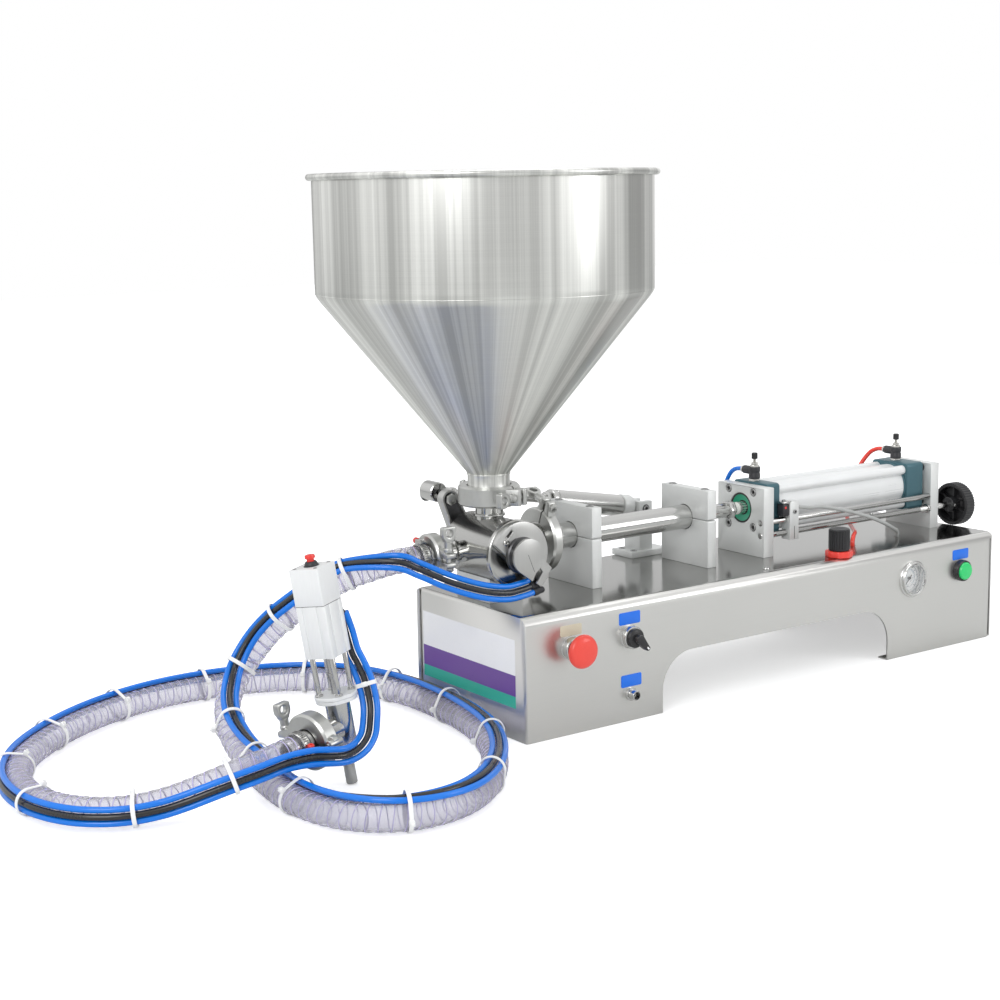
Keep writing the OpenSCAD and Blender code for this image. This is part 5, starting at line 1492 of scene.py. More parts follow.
def circle(radius: float, x: float = 0.0, y: float = 0.0, steps: int = 28,
           start: float = 0.0, end: float = 360.0) -> list[tuple[float, float]]:
    """Points of a circle, or of an arc whose both ends are kept.

    Args:
        radius: Radius.
        x: The centre.
        y: The centre.
        steps: How many points.
        start: First angle in degrees.
        end: Last angle in degrees.

    Returns:
        The points in order.
    """
    whole = end - start >= 360.0
    count = steps if whole else steps - 1
    return [(x + radius * math.cos(math.radians(start + (end - start) * k / count)),
             y + radius * math.sin(math.radians(start + (end - start) * k / count)))
            for k in range(steps)]


def link_outline(r1: float, r2: float, reach: float) -> list[tuple[float, float]]:
    """Two discs joined by a straight-sided bar, centres on X."""
    a = math.degrees(math.acos((r1 - r2) / reach))
    return [*circle(r1, 0, 0, 28, a, 360 - a), *circle(r2, reach, 0, 24, -a, a)]


def cap_screw(head: float, height: float, socket: float) -> Parts:
    """A socket-head screw whose head stands on the origin.

    Args:
        head: Diameter of the head.
        height: Height of the head.
        socket: Width of the hexagon socket.

    Returns:
        The shapes with their finishes.
    """
    r = head / 2
    body = Solid.lathe([(0, height * 0.42), (socket / 2, height * 0.42), (socket / 2, height - 0.3),
                        (socket / 2 + 0.3, height), (r - 0.5, height), (r, height - 0.5), (r, 0),
                        (0, 0)], 32)
    # a black hexagon at the socket's floor: painted shade
    floor = Solid.hexagon(socket * 0.86, 0.3, 0.0).move(0, 0, height * 0.42)
    return [(body, SCREW_STEEL), (floor, SOCKET_SHADE)]


def placed(parts: Parts, matrix: Matrix) -> Parts:
    """Copies of shapes, placed with a matrix."""
    return [(shape.twin().put(matrix), finish) for shape, finish in parts]


@dataclass
class FerruleClamp:
    """A two-part ferrule clamp: its axis is upright, it closes towards -Y and its nut is at -X."""

    ferrule: float
    lip: float
    ring: float
    width: float
    at: Matrix
    gap: float = 2.0
    ear: float = 7.0
    bolt: float = 6.0

    def halves(self) -> list[Solid]:
        """The two half rings with their ears and the knuckles of the hinge.

        Returns:
            The shapes in the clamp's frame.
        """
        r, w, lip = self.ring / 2, self.width / 2, self.lip / 2
        groove = self.ferrule / 2 + 0.3
        section = [(lip, -w + 0.8), (lip + 0.8, -w), (r - 2.4, -w), (r, -w + 2.4), (r, w - 2.4),
                   (r - 2.4, w), (lip + 0.8, w), (lip, w - 0.8), (lip, 4.4), (groove, 3.4),
                   (groove, -3.4), (lip, -4.4)]
        ring = Solid.lathe(section, 96, 0.0, True)
        reach = r + 8
        made = []
        for side in (-1, 1):
            half = ring.twin().cut((side * 1.0, 0, 0), (-side, 0, 0))
            ear = Solid.prism([(self.gap, -r + 3), (self.gap, -reach - 5),
                               (self.gap + 2, -reach - 6.5),
                               (self.gap + self.ear - 1.5, -reach - 6.5),
                               (self.gap + self.ear, -reach - 4), (self.gap + self.ear + 2.5, -r),
                               (self.gap + 11, -r + 4)], self.width * 0.8, 1.1)
            ear.move(0, 0, -self.width * 0.4)
            if side < 0:
                ear.put(Matrix.Diagonal((-1, 1, 1, 1)))
                bmesh.ops.recalc_face_normals(ear.bm, faces=ear.bm.faces[:])
            cheek = Solid.prism([(side * 0.5, r - 4), (side * 9, r - 5), (side * 6.5, r + 4),
                                 (side * 3.5, r + 6.5), (side * 0.5, r + 5)],
                                self.width * 0.42, 0.7)
            cheek.move(0, 0, -self.width * 0.21 if side < 0 else self.width * 0.02 - 0.5)
            made += [half, ear, cheek]
        made.append(Solid.rod(9.5, self.width, 0.9, 28).move(0, r + 2, -w))
        return made

    def pins(self) -> list[Solid]:
        """The hinge pin, the swing bolt and its head.

        Returns:
            The shapes in the clamp's frame.
        """
        r, w = self.ring / 2, self.width / 2
        reach = r + 8
        pin = Solid.rod(4, self.width + 3, 0.5, 20).move(0, r + 2, -w - 1.5)
        shank = Solid.rod(self.bolt, 17, 0.3, 24).lay(Axis.RIGHT, -4, -reach, 0)
        thread = threaded(self.bolt, 25).lay(Axis.LEFT, -3, -reach, 0)
        head = Solid.hexagon(10, 4, 0.6).lay(Axis.RIGHT, self.gap + self.ear, -reach, 0)
        return [pin, shank, thread, head]

    def nut(self) -> list[Solid]:
        """The eye nut on the bolt.

        Returns:
            The shapes in the clamp's frame.
        """
        reach = self.ring / 2 + 8
        hub = Solid.lathe([(3.3, 0), (4.6, 0), (5.6, 1.2), (5.6, 4.0), (4.8, 5.0), (4.8, 9.5),
                           (5.2, 12.6), (3.3, 12.6)], 32, 0.25, True)
        outline = [(-5, 0), (5, 0), (6.2, 3), (8.6, 6.5), (9.2, 10), (9.0, 16.5), (7.6, 18),
                   (-7.6, 18), (-9.0, 16.5), (-9.2, 10), (-8.6, 6.5), (-6.2, 3)]
        eye = holed(outline, [circle(4.7, 0, 10.5, 28)], 8, 1.0)
        eye.move(0, 0, -4).put(Matrix.Rotation(math.radians(90), 4, "X")).move(0, 0, 12)
        return [s.lay(Axis.LEFT, -self.gap - self.ear - 0.2, -reach, 0) for s in (hub, eye)]

    def parts(self) -> list[tuple[Solid, Finish]]:
        """The clamp without its nut, in place."""
        return [(s.put(self.at), CAST_STEEL) for s in self.halves() + self.pins()]

    def nut_parts(self) -> list[tuple[Solid, Finish]]:
        """The nut, in place."""
        return [(s.put(self.at), CAST_STEEL) for s in self.nut()]


@dataclass
class FillingValve:
    """The rotary valve under the hopper, its cover, stand, clamps and hose tail."""

    x: float = -290.0
    z: float = 208.0
    front: float = -48.5
    back: float = 41.5
    diameter: float = 76.0
    flange: float = 80.0
    neck_z: float = 272.0
    joint_x: float = -216.0
    outlet_x: float = -372.0
    hose_x: float = -381.0
    band_turn: float = 0.0

    def clamps(self) -> dict[str, FerruleClamp]:
        """The three clamps of the valve by the node that holds their nut.

        Returns:
            The clamps by node.
        """
        rot = Matrix.Rotation
        hopper = Matrix.Translation((self.x, 0, self.neck_z)) @ rot(math.radians(17), 4, "Z")
        joint = (Matrix.Translation((self.joint_x, 0, self.z)) @ rot(math.radians(-70), 4, "X")
                 @ Axis.RIGHT.value)
        outlet = Matrix.Translation((self.outlet_x, 0, self.z)) @ Axis.RIGHT.value
        return {"hopper_nut": FerruleClamp(64, 53, 73, 24, hopper),
                "cylinder_nut": FerruleClamp(64, 43, 79, 14, joint),
                "outlet_nut": FerruleClamp(44, 33, 53, 16, outlet)}

    def body(self) -> Parts:
        """The turned body with its dished flange and its three necks.

        Returns:
            The shapes with their finishes, in the row frame.
        """
        fy = self.front - 6
        length = self.back - fy
        r, rf = self.diameter / 2, self.flange / 2
        shell = Solid.lathe([
            (21.7, length), (r - 2.0, length), (r - 0.6, length - 0.6), (r, length - 2.0), (r, 8.0),
            (r + 0.8, 6.6), (rf - 0.8, 6.0), (rf, 5.2), (rf, 0.8), (rf - 0.8, 0.0), (37.2, 0.0),
            (36.8, 0.6), (36.6, 2.0), (21.7, 2.0)], 96)
        dish = Solid.lathe([(21.9, 9.4), (23.0, 8.0), (26.0, 5.8), (31.0, 3.6), (35.6, 2.4),
                            (36.4, 1.4), (36.4, 3.0), (21.9, 11.0)], 96, 0, True)
        dish.lay(Axis.BACK, self.x, fy, self.z)
        shell.lay(Axis.BACK, self.x, fy, self.z)
        up = Solid.lathe([(13, 0), (16.5, 0), (16.5, 54), (17.6, 58.5), (31.2, 60.2), (32, 61),
                          (32, 63.2), (31.4, 63.2), (13, 63.2)], 64, 0, True)
        up.move(self.x, 0, self.z)
        collar = Solid.ring(37.0, 32.0, 3.0, 0.8).move(self.x, 0, self.z + 38.4)
        right = Solid.lathe([(13, 0), (19, 0), (19, 64), (20, 68), (31.2, 69.6), (32, 70.4),
                             (32, 73.2), (13, 73.2)], 64, 0,
                            True).lay(Axis.RIGHT, self.x, 0, self.z)
        left = Solid.lathe([
            (9.5, 0), (12.5, 0), (12.5, 48.5), (13.4, 49.0), (15.0, 49.8), (15.0, 53.6),
            (13.4, 54.4), (12.5, 55.0), (12.5, 72), (13.4, 76.5), (21.4, 78.0), (22, 78.8),
            (22, 81.2), (9.5, 81.2)], 64, 0, True).lay(Axis.LEFT, self.x, 0, self.z)
        return [(shell, VALVE_STEEL), (dish, DISH_STEEL), (up, CHROME_VALVE),
                (collar, CHROME_VALVE),
                (right, CHROME_VALVE), (left, CHROME_VALVE)]

    def cover(self) -> Parts:
        """The cut cover with its slotted plate, boss, screw, stop block and pins.

        Returns:
            The shapes with their finishes, in the row frame.
        """
        place = Matrix.Translation((self.x, self.front - 6, self.z)) @ Axis.FRONT.value
        cut, chord = 12.0, 229.0
        half = math.degrees(math.acos(cut / 39.0))
        disc = holed(circle(39.0, 0, 0, 72, chord + half, chord + 360 - half),
                     [[(-17.5, 21.5), (-10.5, 28.5), (-12.8, 30.8), (-19.8, 23.8)]], 8, 0.9)
        # a dark floor under the slot: painted shade
        cavity = Solid.block((-20, 21, 2.0), (-11, 31, 3.0), 0.0)
        # the boss's side is near black: painted shadow between its plate and the cover
        side = Solid.lathe([(0, 21), (20.2, 21), (20.2, 13), (21.6, 11.6), (21.6, 7.8), (0, 7.8)],
                           72)
        line = Solid.block((-0.3, -20, 23.95), (0.3, 3, 24.06), 0.0).turn(22)
        screw = Solid.lathe([(0, 9.2), (1.6, 9.2), (1.9, 10.6), (3.2, 10.6), (4.0, 9.8), (4.0, 8),
                             (0, 8)], 28).move(-21, 17, 0)
        tip = [(4.8, -29.2), (9.4, -20.6), (15.8, -15.0), (19.4, -20.0), (10.6, -32.6),
               (16.6, -37.6), (32.5, -17.0)]
        plate = holed([*circle(21, 0, 0, 56, -14, 240), *tip], [], 3.4, 0.7).move(0, 0, 20.6)
        stop = Solid.block((-7, -5, 0), (7, 5, 12), 0.7).turn(-138).move(22, -27, 10)
        pins = [Solid.lathe([(0, 0), (2.0, 0), (2.0, 2.6), (1.5, 3.1), (0, 3.1)], 20)
                .put(Matrix.Rotation(math.radians(90), 4, "Y")).turn(-48).move(x, y, 17)
                for x, y in ((22.0, -33.0), (26.5, -28.0))]
        stub = Solid.lathe([(0, 8.6), (9.8, 8.6), (10, 8.4), (10, -1), (0, -1)], 40)
        return [*[(s.put(place), FACE_STEEL) for s in (disc, plate, stop)],
                *[(s.put(place), CHROME_VALVE) for s in (screw, stub, *pins)],
                (side.put(place), BOSS_SHADOW),
                *[(s.put(place), PAINTED_CAVITY_SHADE) for s in (cavity, line)]]

    def fittings(self) -> Parts:
        """Black push-in fittings where the tubes leave the cover's block.

        Returns:
            The shapes with their finishes, in the row frame.
        """
        made = []
        for k in (-1, 0, 1):
            hose = SuctionHose()
            start = hose.stacked(hose.lead_in[:2], hose.lead_in_face, k)
            ahead = (start[1] - start[0]).normalized()
            turned = (-ahead).to_track_quat("Z", "Y").to_matrix().to_4x4()
            fitting = Solid.lathe([(0, 0), (4.0, 0), (4.6, 0.8), (4.6, 6.0), (4.0, 7.0), (4.0, 13),
                                   (3.2, 15), (0, 15)], 24)
            made.append((fitting.put(Matrix.Translation(start[0] + ahead * 2) @ turned),
                         FITTING_BLACK))
        return made

    def tail(self) -> Parts:
        """The reducer and hose barb with their worm band.

        Returns:
            The shapes with their finishes, in the row frame.
        """
        span = self.outlet_x - 0.8 - self.hose_x
        reducer = Solid.lathe([(9.5, 0), (22, 0), (22, 2.4), (21.2, 3.2), (15.4, 4.4),
                               (14.2, span - 0.4), (9.5, span - 0.4)], 64, 0, True)
        reducer.lay(Axis.LEFT, self.outlet_x - 0.8, 0, self.z)
        barb = Solid.lathe([(9.5, 0), (11.3, 0), (11.3, 30), (10.6, 33.4), (9.5, 33.4)], 48, 0,
                           True)
        barb.lay(Axis.LEFT, self.outlet_x - 0.8, 0, self.z)
        return [(reducer, VALVE_STEEL), (barb, VALVE_STEEL),
                *worm_band(Matrix.Translation((self.hose_x, 0, self.z)) @ Axis.LEFT.value,
                           self.band_turn)]

    def build(self) -> None:
        """Makes the valve's pieces."""
        piece("valve_casting", self.body(), replaces=["valve_body"])
        piece("valve_cover_plate", [*self.cover(), *self.fittings()], replaces=["valve_cover"])
        refined("valve_stand", BLOCK, 0.6)
        piece("hose_tail_fine", self.tail(), replaces=["hose_tail"])
        carried("valve_plug", VALVE_STEEL)
        clamps = self.clamps()
        parts = [p for clamp in clamps.values() for p in clamp.parts()]
        piece("line_clamps", parts, replaces=["ferrule_clamps"])
        for node, body in (("hopper_nut", "hopper_clamp_nut"), ("outlet_nut", "outlet_clamp_nut"),
                           ("cylinder_nut", "cylinder_clamp_nut")):
            piece(f"{node}_eye", clamps[node].nut_parts(), body, [node])


def worm_band(place: Matrix, screw_turn: float) -> Parts:
    """A worm-drive band on the hose, its screw housing and its red screw.

    Args:
        place: Frame whose upright axis leaves along the hose from its end.
        screw_turn: Degrees round the hose where the housing sits.

    Returns:
        The shapes in place with their finishes.
    """
    band = Solid.lathe([(15.15, 3), (16.2, 3), (16.5, 3.6), (16.5, 11.4), (16.2, 12), (15.15, 12)],
                       72, 0, True)
    # dark strips for the band's slots: painted shade
    slots = [Solid.block((16.35, -0.45, 4.6), (16.7, 0.45, 10.4), 0.0).turn(a)
             for a in range(-110, 120, 9)]
    house = Solid.block((15.6, -4.5, 3.4), (22.0, 4.5, 11.6), 1.0)
    screw = Solid.lathe([(0, 0), (2.4, 0), (3.7, 0.6), (3.7, 4.8), (3.0, 5.6), (1.8, 5.6),
                         (1.8, 4.4), (0, 4.4)], 24).lay(Axis.BACK, 19.2, 4.3, 7.5)
    for shape in (band, *slots, house, screw):
        shape.turn(screw_turn).put(place)
    return [(band, VALVE_STEEL), (house, VALVE_STEEL), (screw, PRESS_RED),
            *[(s, PAINTED_CAVITY_SHADE) for s in slots]]


@dataclass
class Actuator:
    """The small tube cylinder that turns the valve's crank, with its stand."""

    pivot: Point = (7.0, 84.5, 209.8)
    tilt: float = 190.11
    reach: float = 325.7
    crank_axis: Point = (-290.0, 52.5, 208.0)
    crank_pin: Point = (-314.0, 52.5, 261.9)

    def frame(self) -> Matrix:
        """The frame whose X runs along the barrel towards the crank."""
        return Matrix.Translation(self.pivot) @ Matrix.Rotation(math.radians(self.tilt), 4, "Y")

    def barrel(self) -> Parts:
        """The tube with its rolled ends, its nose and its ear.

        Returns:
            The shapes with their finishes, in the row frame.
        """
        cap = Solid.lathe([(0, 16.6), (13.6, 16.6), (14.6, 17.4), (14.9, 18.6), (14.9, 31.4),
                           (14.4, 32.4), (13.2, 32.8), (0, 32.8)], 64).lay(Axis.RIGHT)
        tube = Solid.lathe([(0, 32), (13.0, 32.8), (13.2, 34.4), (14, 35.2), (14, 139.4),
                            (13.3, 140.2), (13.3, 141.6), (14, 142.4), (14, 147.6), (13.4, 149),
                            (8, 149.2), (8, 158.4), (7.4, 159), (4.7, 159), (4.7, 155),
                            (0, 155)], 64).lay(Axis.RIGHT)
        ear = Solid.prism([(-5.2, -7.6), (4, -9), (18, -9), (18, 9), (4, 9), (-5.2, 7.6),
                           (-8.6, 3.6), (-8.6, -3.6)], 12, 1.2)
        ear.move(0, 0, -6).lay(Axis.BACK)
        nut = Solid.hexagon(20, 5, 0.8).lay(Axis.RIGHT, 150.5, 0, 0)
        port = Solid.lathe([(0, 12), (4.5, 12), (4.5, 17), (3.6, 18), (3.6, 21), (2.2, 21.6),
                            (0, 21.6)], 24).move(28, 0, 0)
        return [(s.put(self.frame()), finish) for s, finish in
                ((tube, POLISHED), (cap, BLOCK), (ear, BLOCK), (nut, POLISHED),
                 (port, FITTING_BLACK))]

    def rod(self) -> Parts:
        """The polished rod with its eye at the crank.

        Returns:
            The shapes with their finishes, in the row frame.
        """
        rod = Solid.rod(9, self.reach - 162, 0.4, 32).lay(Axis.RIGHT, 150, 0, 0)
        neck = Solid.lathe([(4.5, -24), (6.2, -23), (6.2, -16), (5.4, -11.5), (0, -11.5)],
                           32).lay(Axis.RIGHT, self.reach, 0, 0)
        boss = Solid.lathe([(4.1, -13), (10.8, -13), (12, -11.8), (12, 11.8), (10.8, 13),
                            (4.1, 13)], 48, 0, True).lay(Axis.BACK, self.reach, 0, 0)
        nut = Solid.hexagon(13, 5, 0.7).lay(Axis.RIGHT, self.reach - 31, 0, 0)
        # a dark strip for the eye's slot: painted shade
        slot = Solid.block((-1.2, -10.4, -13.15), (1.2, 10.4, -12.9),
                           0.0).lay(Axis.BACK, self.reach, 0, 0)
        return [*[(s.put(self.frame()), POLISHED) for s in (rod, neck, boss, nut)],
                (slot.put(self.frame()), PAINTED_CAVITY_SHADE)]

    def crank(self) -> Parts:
        """The pocketed crank with its clamp bolt, its pin and its washer.

        Returns:
            The shapes with their finishes, in the row frame.
        """
        ax, az = self.crank_axis[0], self.crank_axis[2]
        px, pz = self.crank_pin[0], self.crank_pin[2]
        reach = math.hypot(px - ax, pz - az)
        turn = math.degrees(math.atan2(pz - az, px - ax))
        rim = holed(link_outline(15, 11.5, reach), [link_outline(11.6, 8.0, reach)], 12, 1.0)
        # the pocket's floor is dark grey: painted shade in the recess
        floor = holed(link_outline(12.2, 8.6, reach), [], 5.0, 0.0).move(0, 0, 3.0)
        hub = Solid.lathe([(9.2, 1.0), (10.6, 1.0), (10.6, 10.5), (9.8, 11.2), (9.2, 11.2)], 48, 0,
                          True)
        pin = Solid.rod(8, 58.5, 0.8, 32).move(reach, 0, -2)
        head = Solid.hexagon(13, 3.0, 0.6).move(reach, 0, -3.2)
        stub = Solid.lathe([(0, 0.4), (9.1, 0.4), (9.1, 11.4), (8.3, 12.1), (0, 12.1)], 40)
        # a dark hexagon for the stub's socket: painted shade
        dimple = Solid.hexagon(7, 0.3, 0.0).move(0, 0, 11.95)
        washer = Solid.ring(18, 8.2, 2, 0.4, 40).move(reach, 0, 51.5)
        place = Matrix.Translation((ax, 46.5, az)) @ Axis.BACK.value
        made: Parts = [(rim, FACE_STEEL), (hub, POLISHED), (pin, POLISHED), (head, CAST_STEEL),
                       (stub, POLISHED), (washer, POLISHED), (floor, CRANK_RECESS_SHADE),
                       (dimple, PAINTED_CAVITY_SHADE)]
        angle = self.local_turn(turn)
        return [(s.turn(angle).put(place), finish) for s, finish in made]

    @staticmethod
    def local_turn(turn: float) -> float:
        """The turn in the back-facing frame for a direction in the XZ plane.

        Args:
            turn: Degrees from X towards Z.

        Returns:
            Degrees about the back-facing axis.
        """
        probe = Axis.BACK.value.inverted() @ Vector((math.cos(math.radians(turn)), 0,
                                                     math.sin(math.radians(turn))))
        return math.degrees(math.atan2(probe.y, probe.x))

    def stand(self) -> Parts:
        """The plate, the two cheeks with round tops, the pin and the screws.

        Returns:
            The shapes with their finishes, in the row frame.
        """
        x, y, z = self.pivot
        foot, floor, half, cheek, inner = 147.0, 155.0, 10.6, 16.0, 7.6
        crotch, top = z - 14.0, z + 9.6
        plate = Solid.block((x - 28, y - 21, foot), (x + 34, y + 21, floor), 0.8)
        fork = Solid.prism([(y - cheek, floor - 0.3), (y + cheek, floor - 0.3), (y + cheek, top),
                            (y + inner, top), (y + inner, crotch), (y - inner, crotch),
                            (y - inner, top), (y - cheek, top)], 2 * half, 0.7)
        fork.lay(Axis.ACROSS, x - half, 0, 0)
        pin = Solid.lathe([(0, -15.5), (4, -15.5), (4, 17.5), (3.3, 18.2), (0, 18.2)], 28)
        pin.lay(Axis.BACK, x, y, z)
        # a dark disc round the screw head: painted shadow
        seat = Solid.lathe([(0, 0.02), (5.6, 0.02), (5.6, 0.3), (0, 0.3)], 32)
        seat.lay(Axis.FRONT, x, y - cheek, z)
        head = placed(cap_screw(8.4, 1.6, 4.6),
                      Matrix.Translation((x, y - cheek - 0.1, z)) @ Axis.FRONT.value)
        flush = [part for side in (-12, 12) for part in
                 placed(cap_screw(9, 1.0, 5), Matrix.Translation((x - 18, y + side, floor)))]
        return [(plate, BLOCK), (fork, BLOCK), (pin, POLISHED), (seat, PAINTED_CAVITY_SHADE), *head, *flush]

    def build(self) -> None:
        """Makes the actuator's pieces."""
        piece("actuator_tube", self.barrel(), replaces=["actuator_barrel"])
        piece("actuator_rod_fine", self.rod(), "actuator_slide", ["actuator_rod"])
        piece("crank_link", self.crank(), "plug", ["crank"])
        piece("actuator_bracket", self.stand(), replaces=["actuator_stand"])


@dataclass
class FillingLine:
    """The material cylinder between the valve and its saddles."""

    x0: float = -215.2
    x1: float = 28.5
    z: float = 208.0
    saddles: tuple[float, float] = (-171.5, 13.5)
    thick: float = 15.0
    foot: float = 147.0
    top: float = 246.0

    def cylinder(self) -> Parts:
        """The polished tube with its ferrule.

        Returns:
            The shapes with their finishes, in the row frame.
        """
        tube = Solid.lathe([(13, 0), (31.2, 0), (32, 0.8), (32, 2.6), (31.2, 3.4), (17.2, 5.0),
                            (15.5, 7.5), (15.5, self.x1 - self.x0 - 0.7),
                            (14.9, self.x1 - self.x0), (13, self.x1 - self.x0)], 96, 0, True)
        tube.lay(Axis.RIGHT, self.x0, 0, self.z)
        return [(tube, POLISHED)]

    def saddle(self, x: float) -> Parts:
        """One split clamp block with its two screws sunk from above.

        Args:
            x: The block's left face.

        Returns:
            The shapes with their finishes, in the row frame.
        """
        half, gap, bore = 45.0, 0.35, 15.7
        slope = 1.6
        lower = [(-half, self.foot), (half, self.foot), (half, self.z - gap), (bore, self.z - gap),
                 *circle(bore, 0, self.z - gap, 22, 0, -180)[1:-1], (-bore, self.z - gap),
                 (slope - half, self.z - gap), (-half, self.z - slope - gap)]
        upper = [(half, self.z + gap), (half, self.top), (-half, self.top),
                 (-half, self.z + gap + slope), (slope - half, self.z + gap),
                 (-bore, self.z + gap), *circle(bore, 0, self.z + gap, 22, 180, 0)[1:-1],
                 (bore, self.z + gap)]
        made: Parts = []
        for outline in (lower, upper):
            block = holed(outline, [], self.thick, 0.8)
            made.append((block.lay(Axis.ACROSS, x, 0, 0), BLOCK))
        for y in (-31.0, 31.0):
            place = Matrix.Translation((x + self.thick / 2, y, self.top))
            ring = Solid.ring(12.4, 10.2, 0.25, 0.1, 36)
            # a dark disc round each screw head: painted shade in the counterbore
            dark = Solid.lathe([(0, 0.2), (5.1, 0.2), (5.1, 0.05), (0, 0.05)], 36)
            made += placed([(ring, BLOCK), (dark, PAINTED_CAVITY_SHADE)], place)
            made += placed(cap_screw(9.2, 1.4, 5.6), place @ Matrix.Translation((0, 0, 0.1)))
        return made

    def build(self) -> None:
        """Makes the cylinder and its saddles."""
        piece("material_tube", self.cylinder(), replaces=["material_cylinder"])
        piece("saddle_blocks", [p for x in self.saddles for p in self.saddle(x)],
              replaces=["saddle_lowers", "saddle_uppers"])
        carried("material_piston", PISTON_WHITE)


@dataclass
class AirCylinder:
    """The air cylinder with its plates, heads, barrel, seal and speed controllers."""

    z: float = 208.0
    plates: tuple[tuple[float, float, float, float], ...] = ((111, 129, 44, -1), (431, 447, 41, 1))
    foot: float = 147.0
    top: float = 238.0
    screw: float = 23.25
    heads: tuple[tuple[float, float], ...] = ((129, 150), (392, 424))
    ports: tuple[float, float] = (135.5, 404.0)
    port_z: float = 240.5

    def plate(self, x0: float, x1: float, half: float, face: float) -> Parts:
        """One end plate with its four screws sunk in real counterbores.

        Args:
            x0: The plate's left face.
            x1: The plate's right face.
            half: Half its width.
            face: -1 or 1 for the side with the screws.

        Returns:
            The shapes with their finishes, in the row frame.
        """
        outline = [(-half, self.foot), (half, self.foot), (half, self.top), (-half, self.top)]
        spots = [(u * self.screw, self.z + v * self.screw) for u in (-1, 1) for v in (-1, 1)]
        middle = circle(20.1 if face < 0 else 10.5, 0, self.z, 48)
        holes = [circle(5.6, u, v, 28) for u, v in spots]
        low = [circle(4.1, -37, z, 24) for z in (175, 192)]
        plate = holed(outline, [middle, *holes, *low], x1 - x0, 0.8).lay(Axis.ACROSS, x0, 0, 0)
        made: Parts = [(plate, BLOCK)]
        outward, front, back = (Axis.LEFT, x0, x1 - 1.4) if face < 0 else (Axis.RIGHT, x1, x0 + 0.3)
        for y, z in spots:
            # the counterbores' floors are near black: painted shade
            floor = Solid.rod(11.4, x1 - x0 - 4.5, 0.0, 28).lay(outward, back, y, z)
            screw = cap_screw(9.5, 4.0, 5.4)
            place = Matrix.Translation((front - 3.9 * face, y, z)) @ outward.value
            made += [(floor, PAINTED_CAVITY_SHADE), *placed(screw, place)]
        return made

    def seal(self) -> Parts:
        """The black housing and the green lip of the rod seal.

        Returns:
            The shapes with their finishes, in the row frame.
        """
        black = Solid.lathe([(17.6, 0), (19.8, 0), (20.0, 0.4), (20.0, 16), (17.6, 16)], 64, 0,
                            True)
        green = Solid.lathe([(9.0, 3.2), (13.0, 2.6), (16.6, 0.9), (17.6, 0.6), (17.6, 9),
                             (9.0, 9)], 64, 0, True)
        lip = Solid.lathe([(8.2, 4.4), (8.8, 3.2), (9.6, 3.0), (10.4, 3.6), (10.4, 8), (8.2, 8)],
                          56, 0, True)
        return [(s.lay(Axis.RIGHT, 112.0, 0, self.z), finish) for s, finish in
                ((black, SEAL_BLACK), (green, SEAL_GREEN), (lip, SEAL_BLACK))]

    def head(self, x0: float, x1: float) -> Parts:
        """One cast head with its collar, its spacer or boss, and its port's rim.

        Args:
            x0: The head's left face.
            x1: The head's right face.

        Returns:
            The shapes with their finishes, in the row frame.
        """
        half = 32.5
        cast = Solid.block((-half, -half, 0), (half, half, x1 - x0), 0.9, 5.0)
        cast.lay(Axis.ACROSS, x0, 0, self.z)
        first = x0 == self.heads[0][0]
        inner, way = (x1, Axis.RIGHT) if first else (x0, Axis.LEFT)
        collar = Solid.lathe([(27, -1), (31, -1), (31, 1.6), (30.2, 2.4), (27, 2.4)], 72, 0, True)
        collar.lay(way, inner, 0, self.z)
        made: Parts = [(cast, TEAL), (collar, TEAL)]
        if first:
            boss = Solid.lathe([(9, 0), (15.5, 0), (15.5, 0.8), (9, 0.8)], 48, 0, True)
            made.append((boss.lay(Axis.LEFT, x0, 0, self.z), TEAL))
        else:
            spacer = Solid.lathe([(9, 0), (20, 0), (20, 6.4), (19.4, 7), (9, 7)], 56, 0, True)
            made.append((spacer.lay(Axis.RIGHT, x1, 0, self.z), TEAL))
        port = Solid.lathe([(4.9, -2), (8.4, -2), (8.4, 0.25), (7.8, 0.5), (4.9, 0.5)], 40, 0, True)
        made.append((port.move(self.ports[0 if first else 1], 0, self.z + half - 0.1), TEAL))
        return made

    def controller(self, x: float) -> Parts:
        """The body of one speed controller with its side outlet.

        Args:
            x: The port's place.

        Returns:
            The shapes with their finishes, in the row frame.
        """
        hexagon = Solid.hexagon(13, 3.5, 0.5)
        body = Solid.lathe([(2.4, 3.5), (6.6, 3.5), (7.5, 4.3), (7.5, 10), (7.0, 10.8), (7.0, 12.6),
                            (7.5, 13.4), (7.5, 18.4), (6.9, 19.5), (2.4, 19.5)], 48, 0, True)
        ring = Solid.lathe([(2.4, 19), (5.4, 19), (6, 19.5), (6, 21.3), (5.4, 22), (2.4, 22)], 40,
                           0, True)
        arm = Solid.lathe([(0, 0), (5.5, 0), (5.5, 18.6), (4.9, 19.6), (3.1, 19.6), (3.1, 14),
                           (0, 14)], 36).lay(Axis.BACK, 0, 0, 14)
        outlet = Solid.lathe([(3.1, 19), (4.2, 19), (4.5, 19.5), (4.5, 22.4), (4.0, 23), (3.1, 23)],
                             36, 0, True).lay(Axis.BACK, 0, 0, 14)
        return [(s.move(x, 0, self.port_z), finish) for s, finish in
                ((hexagon, PLATED), (body, FITTING_BLACK), (ring, PLATED), (arm, FITTING_BLACK),
                 (outlet, PLATED))]

